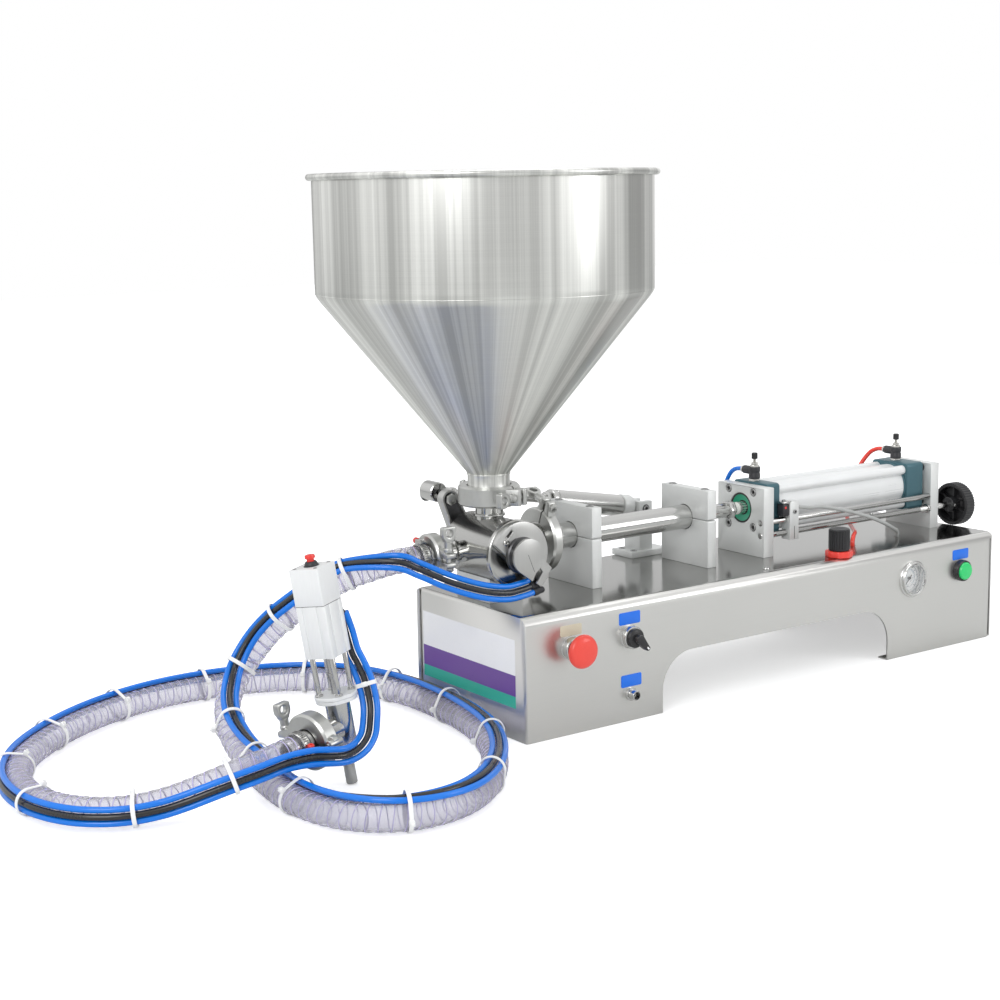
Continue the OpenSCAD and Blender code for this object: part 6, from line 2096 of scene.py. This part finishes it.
    def needle(self, x: float) -> Parts:
        """The needle of one speed controller, its lock nut and its ribbed knob.

        Args:
            x: The port's place.

        Returns:
            The shapes with their finishes, in the row frame.
        """
        stem = threaded(4, 26, 0.7).move(0, 0, 4)
        nut = Solid.hexagon(8, 3, 0.5).move(0, 0, 22.3)
        knob = Solid.prism([(r * math.cos(math.tau * k / 48), r * math.sin(math.tau * k / 48))
                            for k in range(48) for r in ((4.0, 4.0, 3.7)[k % 3],)], 7.2, 0.0)
        cap = Solid.lathe([(0, 8), (3.1, 8), (3.7, 7.2), (0, 7.2)], 32)
        # a dark strip for the cap's slot: painted shade
        slot = Solid.block((-2.4, -0.45, 7.9), (2.4, 0.45, 8.04), 0.0)
        up = self.port_z
        return [(stem.move(x, 0, up), PLATED), (nut.move(x, 0, up), PLATED),
                (knob.move(x, 0, up + 30), BLACK), (cap.move(x, 0, up + 30), BLACK),
                (slot.move(x, 0, up + 30), PAINTED_CAVITY_SHADE)]

    def rod(self) -> Parts:
        """The piston rods of the line with the coupling between them.

        Returns:
            The shapes with their finishes, in the row frame.
        """
        rod = Solid.rod(19, 76.5, 0.6, 64).lay(Axis.RIGHT, 8.5, 0, self.z)
        nut = Solid.hexagon(21, 10, 0.9).lay(Axis.RIGHT, 85, 0, self.z)
        thread = threaded(14, 8, 1.5).lay(Axis.RIGHT, 95, 0, self.z)
        air = Solid.rod(16, 255, 0.5, 56).lay(Axis.RIGHT, 103, 0, self.z)
        flat = Solid.ring(16.6, 14, 1.4, 0.3).lay(Axis.RIGHT, 105, 0, self.z)
        return [(s, POLISHED) for s in (rod, nut, thread, air, flat)]

    def build(self) -> None:
        """Makes the cylinder's pieces."""
        piece("end_plate_set", [p for row in self.plates for p in self.plate(*row)],
              replaces=["end_plates", "block_screws"])
        piece("rod_seal_set", self.seal(), replaces=["rod_seal"])
        piece("head_set", [p for row in self.heads for p in self.head(*row)],
              replaces=["cylinder_heads"])
        refined("barrel", BARREL, 0.5, angle=60)
        piece("flow_controls", [p for x in self.ports for p in self.controller(x)],
              replaces=["speed_controllers"])
        for x, node, body in zip(self.ports, ("needle_front", "needle_rear"),
                                 ("front_needle", "rear_needle")):
            piece(f"{node}_set", self.needle(x), body, [node])
        piece("line_rods", self.rod(), "piston", ["piston_rod"])
        carried("air_piston", PISTON_WHITE)


@dataclass
class StrokeSetting:
    """The guide rod, the lead screw with its handwheel, and the switch carriage."""

    y: float = -37.0
    guide_z: float = 192.0
    screw_z: float = 175.0
    wheel_x: float = 478.0

    def guide(self) -> Parts:
        """The plain guide rod."""
        rod = Solid.rod(8, 336, 0.8, 40).lay(Axis.RIGHT, 111, self.y, self.guide_z)
        return [(rod, POLISHED)]

    def lead_screw(self) -> Parts:
        """The threaded rod with its end stop and its bare ends.

        Returns:
            The shapes with their finishes, in the row frame.
        """
        profile = [(0.0, 0.0), (3.3, 0.0), (4.0, 0.7), (4.0, 26.0)]
        for k in range(int(276 / 2.0)):
            profile += [(4.0, 26.4 + 2.0 * k), (3.35, 27.4 + 2.0 * k)]
        profile += [(4.0, 303), (4.0, 378.4), (3.4, 379), (0.0, 379)]
        rod = Solid.lathe(profile, 24).lay(Axis.RIGHT, 111, self.y, self.screw_z)
        collar = Solid.ring(12, 8.1, 4, 0.5, 40).lay(Axis.RIGHT, 426.7, self.y, self.screw_z)
        return [(rod, POLISHED), (collar, POLISHED)]

    def handwheel(self) -> Parts:
        """The knurled wheel, open towards the machine, with its hub and its set screw.

        Returns:
            The shapes with their finishes, in the row frame.
        """
        steps = 192
        rim = [(30.0 - (0.0, 0.55, 0.95, 0.55)[k % 4]) for k in range(steps)]
        outline = [(r * math.cos(math.tau * k / steps), r * math.sin(math.tau * k / steps))
                   for k, r in enumerate(rim)]
        knurl = holed(outline, [circle(25.6, 0, 0, 96)], 16, 0.0)
        edges = Solid.lathe([(25.0, 0.0), (28.6, 0.0), (29.0, 0.5), (29.0, 15.4), (28.2, 16.0),
                             (0, 16.0), (0, 11.5), (25.0, 11.5)], 96)
        lip = Solid.lathe([(25.2, -0.3), (28.3, -0.3), (28.9, 0.4), (25.2, 0.4)], 96, 0, True)
        hub = Solid.lathe([(4.1, -6), (9.4, -6), (10, -5.4), (10, 9), (12.5, 11.6), (4.1, 11.6)],
                          56, 0, True)
        webs = [Solid.block((9.5, -1.2, 5.5), (25.4, 1.2, 11.6), 0.3).turn(a)
                for a in range(0, 360, 60)]
        cap = Solid.lathe([(0, 16.6), (5.0, 16.6), (6.0, 15.9), (0, 15.9)], 48)
        set_screw = placed([(Solid.lathe([(0, 0.2), (1.4, 0.2), (1.4, 1.4), (2.3, 1.6), (2.6, 1.2),
                                          (2.6, -2), (0, -2)], 24), CHROME)],
                           Matrix.Translation((0, 0, -1.8)) @ Axis.FRONT.value
                           @ Matrix.Translation((0, 0, 9.6)))
        place = Matrix.Translation((self.wheel_x, self.y, self.screw_z)) @ Axis.RIGHT.value
        made = [(s, BLACK) for s in (knurl, edges, lip, hub, *webs, cap)] + list(set_screw)
        return [(s.put(place), finish) for s, finish in made]

    def carriage(self) -> Parts:
        """The carriage block with its bores, its bracket and screws.

        Returns:
            The shapes with their finishes, in the row frame.
        """
        block = holed([(-47, 166), (-31, 166), (-31, 216), (-47, 216)],
                      [circle(4.2, -37, z, 28) for z in (self.screw_z, self.guide_z)], 16, 0.7)
        block.lay(Axis.ACROSS, 155, 0, 0)
        # a dark strip for the block's slit: painted shade
        slit = Solid.block((162.5, -47.1, 167), (163.5, -46.9, 184), 0.0)
        bracket = Solid.block((143.5, -46.5, 214.6), (158, -33.5, 217), 0.4)
        screws = placed(cap_screw(5, 2.4, 2.6), Matrix.Translation((150, -40, 217)))
        side = placed(cap_screw(5.4, 2.6, 2.8),
                      Matrix.Translation((163, -46.6, 203)) @ Axis.FRONT.value)
        return [(block, BLOCK), (slit, PAINTED_CAVITY_SHADE), (bracket, POLISHED), *screws, *side]

    def switch(self) -> Parts:
        """The reed switch with its lens and its cable gland.

        Returns:
            The shapes with their finishes, in the row frame.
        """
        body = Solid.block((144, -46, 198), (155, -34, 214), 1.4)
        lens = Solid.block((146.5, -46.25, 208), (149.5, -45.9, 211), 0.1)
        gland = Solid.lathe([(0, 0), (3.6, 0), (3.9, 0.6), (3.9, 3.6), (3.2, 5), (2.6, 5), (0, 5)],
                            28).lay(Axis.RIGHT, 166.5, -40, 208)
        neck = Solid.rod(5.4, 12, 0.5, 28).lay(Axis.RIGHT, 154.5, -40, 208)
        return [(body, FITTING_BLACK), (gland, FITTING_BLACK), (neck, FITTING_BLACK),
                (lens, PRESS_RED)]

    def build(self) -> None:
        """Makes the pieces of the stroke setting."""
        piece("guide_rod_fine", self.guide(), replaces=["guide_rod"])
        piece("lead_screw_fine", self.lead_screw(), "stroke_screw", ["lead_screw"])
        piece("handwheel_fine", self.handwheel(), "stroke_screw", ["handwheel"])
        piece("carriage_fine", self.carriage(), "sensor_carriage", ["carriage"])
        piece("reed_switch_fine", self.switch(), "sensor_carriage", ["reed_switch"])


@dataclass
class Controls:
    """The panel's stop, selector, power button, pedal socket and gauge, and the regulator."""

    panel: float = -118.0
    stop: tuple[float, float] = (-262.0, 104.0)
    selector: tuple[float, float] = (-174.0, 103.0)
    power: tuple[float, float] = (406.0, 103.0)
    pedal: tuple[float, float] = (-173.0, 33.0)
    gauge: tuple[float, float] = (312.0, 104.0)
    regulator: tuple[float, float] = (195.0, -96.5)
    base_top: float = 147.0

    def on_panel(self, spot: tuple[float, float], parts: Parts) -> Parts:
        """Shapes moved from an upright axis onto the panel."""
        return [(s.lay(Axis.FRONT, spot[0], self.panel, spot[1]), f) for s, f in parts]

    def collar(self, height: float, bore: float) -> Solid:
        """A plated collar with a grooved side.

        Args:
            height: How far it stands out.
            bore: Radius of its bore.

        Returns:
            The collar.
        """
        r = 14.0
        return Solid.lathe([(bore, -16), (11, -16), (11, 0), (r, 0), (r, 1.6), (r - 0.8, 2.2),
                            (r - 0.8, height - 3.0), (r - 0.2, height - 2.2),
                            (r - 0.4, height - 0.8), (r - 1.4, height), (bore, height)], 72, 0,
                           True)

    def stop_button(self) -> None:
        """The mushroom head on its stem."""
        stem = Solid.rod(8, 33, 0.4, 32).move(0, 0, -14)
        piece("stop_stem_fine", self.on_panel(self.stop, [(stem, CHROME)]), "stop_plunger",
              ["stop_stem"])
        head = Solid.lathe([(0, 31), (6, 30.95), (11, 30.5), (15.5, 29.5), (18.2, 27.9),
                            (19.6, 25.6), (20, 23.4), (19.6, 22.0), (18.4, 21.2), (14.5, 20.4),
                            (12.6, 19.4), (12.2, 17.5), (4.2, 17.5), (4.2, 24), (0, 24)], 96)
        piece("stop_head_fine", self.on_panel(self.stop, [(head, STOP_RED)]), "stop_mushroom",
              ["stop_head"])

    def selector_knob(self) -> None:
        """The disc and the short lever of the selector."""
        disc = Solid.lathe([(0, 14.2), (9.6, 14.2), (11.0, 13.4), (11.5, 12.4), (11.5, 9.2),
                            (4, 9.2), (4, -12), (0, -12)], 64)
        lever = Solid.prism(link_outline(5.5, 3.0, 16), 9, 1.0).move(0, 0, 13)
        mark = Solid.block((13.6, -1.0, 21.95), (17.4, 1.0, 22.15), 0.0)
        parts: Parts = [(disc, BLACK), (lever.turn(-48), BLACK), (mark.turn(-48), PLATE_WHITE)]
        piece("selector_fine", self.on_panel(self.selector, parts), "selector", ["selector_knob"])

    def power_button(self) -> None:
        """The green lens on its shank."""
        lens = Solid.lathe([(0, 12.7), (8, 12.5), (10.8, 11.8), (11.8, 10.6), (12, 9.2), (12, 6.2),
                            (3, 6.2), (3, -10), (0, -10)], 72)
        piece("power_lens", self.on_panel(self.power, [(lens, LENS_GREEN)]), "power",
              ["power_button"])

    def collars(self) -> None:
        """The two plated collars and the black bezel."""
        bezel = Solid.lathe([(12.2, -16), (11.9, -16), (11.9, 0), (14.5, 0), (14.5, 6.8),
                             (13.9, 8.6), (13.0, 9.0), (12.4, 8.4), (12.3, 3.0), (4, 3.0), (4, -2),
                             (12.2, -2)], 72, 0, True)
        parts = [*self.on_panel(self.stop, [(self.collar(12, 4.4), CHROME)]),
                 *self.on_panel(self.selector, [(self.collar(9, 4.4), CHROME)]),
                 *self.on_panel(self.power, [(bezel, BLACK)])]
        piece("panel_collars", parts, replaces=["button_collars"])

    def pedal_socket(self) -> None:
        """The small round socket for the foot pedal."""
        shell = Solid.lathe([(3.95, -5), (5.8, -16), (5.85, 0), (8, 0), (8, 2.2), (7.2, 3),
                             (5.85, 3.2), (5.85, 5), (5.4, 5.4), (5.4, 6.2), (5.85, 6.6),
                             (5.85, 11.4), (5.3, 12), (4.75, 12), (4.75, 4.0), (3.95, 3.8)], 56, 0,
                            True)
        plug = Solid.lathe([(0, 2.0), (3.9, 2.0), (3.9, -4.8), (0, -4.8)], 40)
        pins = [Solid.rod(0.9, 1.6, 0.2, 12).move(2.2 * math.cos(a), 2.2 * math.sin(a), 1.9)
                for a in (0.5, 2.1, 3.7, 5.3)]
        nut = Solid.hexagon(15, 4.6, 0.5).move(0, 0, -7)
        parts: Parts = [(shell, CHROME), (plug, BLACK), (nut, CHROME), *[(p, CHROME) for p in pins]]
        piece("pedal_socket_fine", self.on_panel(self.pedal, parts), replaces=["pedal_socket"])

    def dial(self) -> Parts:
        """The dial's scale: an outer and an inner ring of marks.

        Returns:
            The shapes with their finishes, on an upright axis.
        """
        made: Parts = [(Solid.rod(38.6, 0.6, 0.0, 72).move(0, 0, -8), DIAL_WHITE)]
        for k in range(51):
            a = -135 + 270 * k / 50
            long = k % 5 == 0
            bar = Solid.block((-0.22 - 0.14 * long, 14.3 if long else 15.6, -7.38),
                              (0.22 + 0.14 * long, 17.4, -7.25), 0.0).turn(-a)
            made.append((bar, DIAL_INK))
        for k in range(31):
            a = -135 + 270 * k / 30
            long = k % 5 == 0
            bar = Solid.block((-0.18, 9.6 if long else 10.6, -7.38), (0.18, 11.8, -7.25), 0.0)
            made.append((bar.turn(-a), DIAL_BLUE))
        for r in (17.5, 12.0):
            made.append((Solid.ring(2 * r + 0.3, 2 * r - 0.3, 0.12, 0.0, 72).move(0, 0, -7.38),
                         DIAL_INK))
        return made

    def gauge_set(self) -> None:
        """The chromed case, the dial and the pointer behind the glass."""
        case = Solid.lathe([(19.4, -8.6), (20, -8.6), (20, 0), (25, 0), (25, 1.2), (24.2, 2.3),
                            (23, 2.6), (23, 4.6), (22.2, 5.8), (20.8, 6.0), (19.6, 5.0),
                            (19.4, 3.0)], 96, 0, True)
        back = Solid.rod(38, 8, 0.8, 56).move(0, 0, -17)
        piece("gauge_body", self.on_panel(self.gauge, [(case, CASE_CHROME), (back, CASE_CHROME),
                                                       *self.dial()]), replaces=["gauge_case"])
        glass = Solid.rod(38.6, 1.4, 0.0, 64).move(0, 0, 3.1)
        piece("gauge_lens", self.on_panel(self.gauge, [(glass, GLASS)]))
        hand = Solid.prism([(-5, -0.9), (0, -0.8), (14.4, -0.14), (14.4, 0.14), (0, 0.8),
                            (-5, 0.9)], 0.5, 0.0).turn(225).move(0, 0, -5.2)
        hub = Solid.lathe([(0, -4.0), (1.5, -4.0), (2.1, -4.6), (2.1, -6.8), (0, -6.8)], 28)
        piece("gauge_hand", self.on_panel(self.gauge, [(hand, POINTER), (hub, POINTER)]), "pointer",
              ["gauge_pointer"])

    def regulator_set(self) -> None:
        """The lobed red nut and the ribbed pressure knob on the top sheet."""
        steps = 96
        lobes = [(17.4 + 0.5 * math.cos(math.tau * 8 * k / steps)) for k in range(steps)]
        nut = holed([(r * math.cos(math.tau * k / steps), r * math.sin(math.tau * k / steps))
                     for k, r in enumerate(lobes)], [circle(6.4, 0, 0, 32)], 8, 1.2)
        neck = Solid.lathe([(6.4, -11), (12, -11), (12, 0.2), (6.4, 0.2)], 48, 0, True)
        pot = Solid.lathe([(0, -44), (15.6, -44), (17, -42), (17, -9.4), (12.2, -9.2),
                           (12.2, -11.6), (0, -11.6)], 56)
        parts: Parts = [(nut, NUT_RED), (neck, NUT_RED), (pot, BANK)]
        x, y = self.regulator
        piece("regulator_nut", [(s.move(x, y, self.base_top), f) for s, f in parts],
              replaces=["regulator_body"])
        ribs = 24
        count = ribs * 6
        wave = [(13.75 - 0.75 * (k % 6 in (0, 1))) for k in range(count)]
        grip = Solid.prism([(r * math.cos(math.tau * k / count), r * math.sin(math.tau * k / count))
                            for k, r in enumerate(wave)], 24.0, 0.0).move(0, 0, 11.0)
        cap = Solid.lathe([(0, 37.2), (10.6, 37.2), (12.6, 36.6), (13.5, 35.4), (13.5, 34.6),
                           (0, 34.6)], 72)
        skirt = Solid.lathe([(0, 8.3), (12.6, 8.3), (13.4, 8.9), (13.6, 11.2), (0, 11.2)], 72)
        stem = Solid.rod(12, 12, 0.3, 32).move(0, 0, -2)
        parts = [(grip, BLACK), (cap, BLACK), (skirt, BLACK), (stem, BLACK)]
        piece("pressure_grip", [(s.move(x, y, self.base_top), f) for s, f in parts],
              "pressure_knob", ["regulator_knob"])

    def build(self) -> None:
        """Makes everything on the panel and on the top sheet."""
        self.collars()
        self.stop_button()
        self.selector_knob()
        self.power_button()
        self.pedal_socket()
        self.gauge_set()
        self.regulator_set()


@dataclass
class HandGun:
    """The hand gun: nozzle, valve body, flange, rods, cylinder, head and its clamp."""

    place: HandGunPlace = field(default_factory=HandGunPlace)
    wide: float = 36.0
    slots: tuple[float, float] = (-9.0, 9.0)
    band_turn: float = -15.0

    def at(self, shapes: Sequence[tuple[Solid, Finish]]) -> Parts:
        """Shapes placed with the gun."""
        matrix = self.place.matrix()
        return [(s.put(matrix), finish) for s, finish in shapes]

    def grooved(self) -> list[tuple[float, float]]:
        """The cylinder's square outline with two slots in each side.

        Returns:
            The outline's points in order.
        """
        h, w, deep = self.wide / 2, 1.2, 1.0
        side = [(-h + 1.5, -h), (self.slots[0] - w, -h), (self.slots[0] - w, -h + deep),
                (self.slots[0] + w, -h + deep), (self.slots[0] + w, -h), (self.slots[1] - w, -h),
                (self.slots[1] - w, -h + deep), (self.slots[1] + w, -h + deep),
                (self.slots[1] + w, -h), (h - 1.5, -h), (h - 0.45, -h + 0.45)]
        made: list[tuple[float, float]] = []
        for k in range(4):
            a = math.radians(90 * k)
            made += [(x * math.cos(a) - y * math.sin(a), x * math.sin(a) + y * math.cos(a))
                     for x, y in side]
        return made

    def body(self) -> Parts:
        """The nozzle, the hexagon, the valve body and the stub of the inlet.

        Returns:
            The shapes with their finishes, in the row frame.
        """
        nozzle = Solid.lathe([(4.5, 0), (5.6, 0), (6.2, 0.8), (6.2, 30), (6.9, 31), (6.9, 34),
                              (4.5, 34)], 48, 0, True)
        collar = Solid.hexagon(18, 7, 0.8).move(0, 0, 32)
        small = Solid.hexagon(10, 4, 0.6).lay(Axis.FRONT, 0, -12, 51)
        shell = Solid.lathe([(10, 38), (12.6, 38), (13.5, 39), (13.5, 45), (12.9, 45.6),
                             (12.9, 46.6), (13.5, 47.2), (13.5, 92.4), (13, 93), (10, 93)], 72, 0,
                            True)
        made: Parts = self.at([(nozzle, POLISHED_UP), (collar, VALVE_STEEL), (shell, POLISHED_UP),
                               (small, VALVE_STEEL)])
        inlet = self.place.inlet()
        neck = Solid.lathe([(9.5, 8), (12.5, 8), (12.5, 36), (13.4, 38.2), (24.2, 39.8),
                            (25.25, 40.6), (25.25, 43.2), (9.5, 43.2)], 72, 0, True)
        return [*made, (neck.put(inlet), VALVE_STEEL)]

    def frame(self) -> Parts:
        """The flange in two layers and the four rods with their ends.

        Returns:
            The shapes with their finishes, in the row frame.
        """
        made: list[tuple[Solid, Finish]] = []
        for low, high, d in ((93.0, 96.8, 45.0), (97.2, 101.0, 46.0)):
            disc = Solid.lathe([(4.4, low), (d / 2 - 0.6, low), (d / 2, low + 0.6),
                                (d / 2, high - 0.6), (d / 2 - 0.6, high), (4.4, high)], 96, 0, True)
            for side in (-1, 1):
                a = math.radians(53)
                normal = (-math.sin(a) * side, math.cos(a) * side, 0)
                disc.cut(tuple(20.5 * n for n in normal), normal)
            made.append((disc, GUN_BLOCK))
        for x in (-12.5, 12.5):
            for y in (-12.5, 12.5):
                rod = Solid.rod(6, 42.5, 0.4, 32).move(x, y, 101)
                nut = Solid.lathe([(0, 0), (3.9, 0), (4.4, 0.5), (4.4, 1.6), (3.9, 2.1), (0, 2.1)],
                                  28).move(x, y, 101)
                made += [(rod, POLISHED_UP), (nut, POLISHED_UP)]
        return self.at(made)

    def cylinder(self) -> Parts:
        """The grooved cylinder block.

        Returns:
            The shapes with their finishes, in the row frame.
        """
        block = holed(self.grooved(), [circle(4.3, 0, 0, 28)], 57, 0.35).move(0, 0, 143.5)
        gland = Solid.lathe([(4.3, -0.8), (7.4, -0.8), (8.2, 0), (8.2, 0.4), (4.3, 0.4)], 40, 0,
                            True).move(0, 0, 143.5)
        return self.at([(block, GUN_BLOCK), (gland, POLISHED_UP)])

    def head(self) -> Parts:
        """The head block, the black bezel of the button and the four screws.

        Returns:
            The shapes with their finishes, in the row frame.
        """
        block = Solid.block((-18, -18, 200.9), (18, 18, 241), 0.9, 1.6)
        # a dark band in the gap under the head: painted shade
        gap = Solid.block((-17.2, -17.2, 200.3), (17.2, 17.2, 201.1), 0.0)
        bezel = Solid.lathe([(4.6, 241), (7.5, 241), (7.3, 242.6), (6.2, 245.4), (5.4, 246),
                             (4.6, 246)], 48, 0, True)
        ring = Solid.lathe([(7.4, 240.9), (8.4, 240.9), (8.4, 241.5), (7.4, 241.5)], 48, 0, True)
        made: list[tuple[Solid, Finish]] = [(block, GUN_BLOCK), (gap, PAINTED_CAVITY_SHADE),
                                            (bezel, FITTING_BLACK), (ring, FITTING_BLACK)]
        made += [(s.move(x, y, 241), f) for x in (-13, 13) for y in (-13, 13)
                 for s, f in cap_screw(4.6, 0.5, 2.4)]
        return self.at(made)

    def fitting(self, x: float, z: float) -> Parts:
        """A push-in fitting that takes one tube on the gun's side.

        Args:
            x: Its place across the gun.
            z: Its height on the gun.

        Returns:
            The shapes with their finishes, in the row frame.
        """
        body = Solid.lathe([(0, 0), (4.4, 0), (5.2, 0.7), (5.2, 3.2), (4.6, 4.0), (0, 4.0)], 28)
        collar = Solid.lathe([(3.5, 3.8), (4.3, 3.8), (4.3, 4.6), (3.9, 5.0), (3.5, 5.0)], 28, 0,
                             True)
        return self.at([(s.lay(Axis.BACK, x, 17.6, z), f) for s, f in
                        ((body, FITTING_BLACK), (collar, PLATED))])

    def button(self) -> Parts:
        """The red push button."""
        cap = Solid.lathe([(0, 253.3), (4.2, 253.1), (5.2, 252.6), (5.5, 251.8), (5.5, 249.3),
                           (4, 249.3), (4, 232), (0, 232)], 40)
        return self.at([(cap, PRESS_RED)])

    def spindle(self) -> Parts:
        """The central rod with its guide and its piston.

        Returns:
            The shapes with their finishes, in the row frame.
        """
        rod = Solid.rod(8, 112, 0.4, 40).move(0, 0, 46)
        guide = Solid.rod(14, 8, 0.6, 40).move(0, 0, 45)
        piston = Solid.rod(24.6, 12, 0.6, 48).move(0, 0, 150.5)
        lock = Solid.lathe([(4, 118), (5.6, 118), (5.6, 124), (4, 124)], 36, 0.3, True)
        return self.at([(rod, SPINDLE), (guide, SPINDLE), (piston, PISTON_WHITE),
                        (lock, SPINDLE)])

    def clamp(self) -> Parts:
        """The cast clamp at the inlet, with its nut.

        Returns:
            The shapes with their finishes, in the row frame.
        """
        turned = (Matrix.Translation((0, -44, 0)) @ Matrix.Rotation(math.radians(-90), 4, "Z")
                  @ Matrix.Rotation(math.radians(90), 4, "Y"))
        outward = self.place.matrix() @ Matrix.Rotation(
            math.radians(self.place.inlet_turn), 4, "Z") @ Matrix.Translation(
                (0, 0, self.place.inlet_height))
        clamp = FerruleClamp(50.5, 30, 62, 18, outward @ turned)
        return [*clamp.parts(), *clamp.nut_parts()]

    def tail(self) -> Parts:
        """The reducer, the barb and the worm band of the hose's end.

        Returns:
            The shapes with their finishes, in the row frame.
        """
        inlet = self.place.inlet()
        reducer = Solid.lathe([(9.5, 44.9), (25.0, 44.9), (25.0, 46.4), (14, 47.4), (14, 53.6),
                               (13.2, 57.6), (9.5, 57.6)], 64, 0, True)
        barb = Solid.lathe([(9.5, 57), (11.3, 57), (11.3, 80), (10.6, 82), (9.5, 82)], 48, 0, True)
        hose_end = inlet @ Matrix.Translation((0, 0, 58))
        return [(reducer.put(inlet), VALVE_STEEL), (barb.put(inlet), VALVE_STEEL),
                *worm_band(hose_end, self.band_turn)]

    def build(self) -> None:
        """Makes the gun's pieces."""
        piece("gun_body", self.body(), replaces=["gun_valve"])
        piece("gun_flange", self.frame(), replaces=["gun_frame"])
        piece("gun_block", self.cylinder(), replaces=["gun_cylinder"])
        for name, x, z in (("low", 5, 158), ("mid", 9, 208), ("high", 12, 184)):
            piece(f"gun_fitting_{name}", self.fitting(x, z))
        piece("gun_cap", self.head(), replaces=["gun_head"])
        piece("gun_press_button", self.button(), "gun_press", ["gun_button"])
        piece("gun_spindle_rod", self.spindle(), "gun_spindle", ["gun_valve_rod"])
        piece("gun_inlet_clamp", self.clamp(), replaces=["gun_clamp"])
        piece("gun_hose_tail", self.tail(), replaces=["gun_tail"])


def main() -> None:
    """Builds the studio and every piece."""
    logging.basicConfig(level=logging.INFO, format="%(name)s: %(message)s")
    Studio().build()
    for part in (Base(), Hopper(), FillingValve(), Actuator(), FillingLine(), AirCylinder(),
                 StrokeSetting(), Controls(), HandGun(), SuctionHose(), CylinderTubes()):
        part.build()
        LOG.info("%s done", type(part).__name__)


if __name__ == "__main__":
    main()
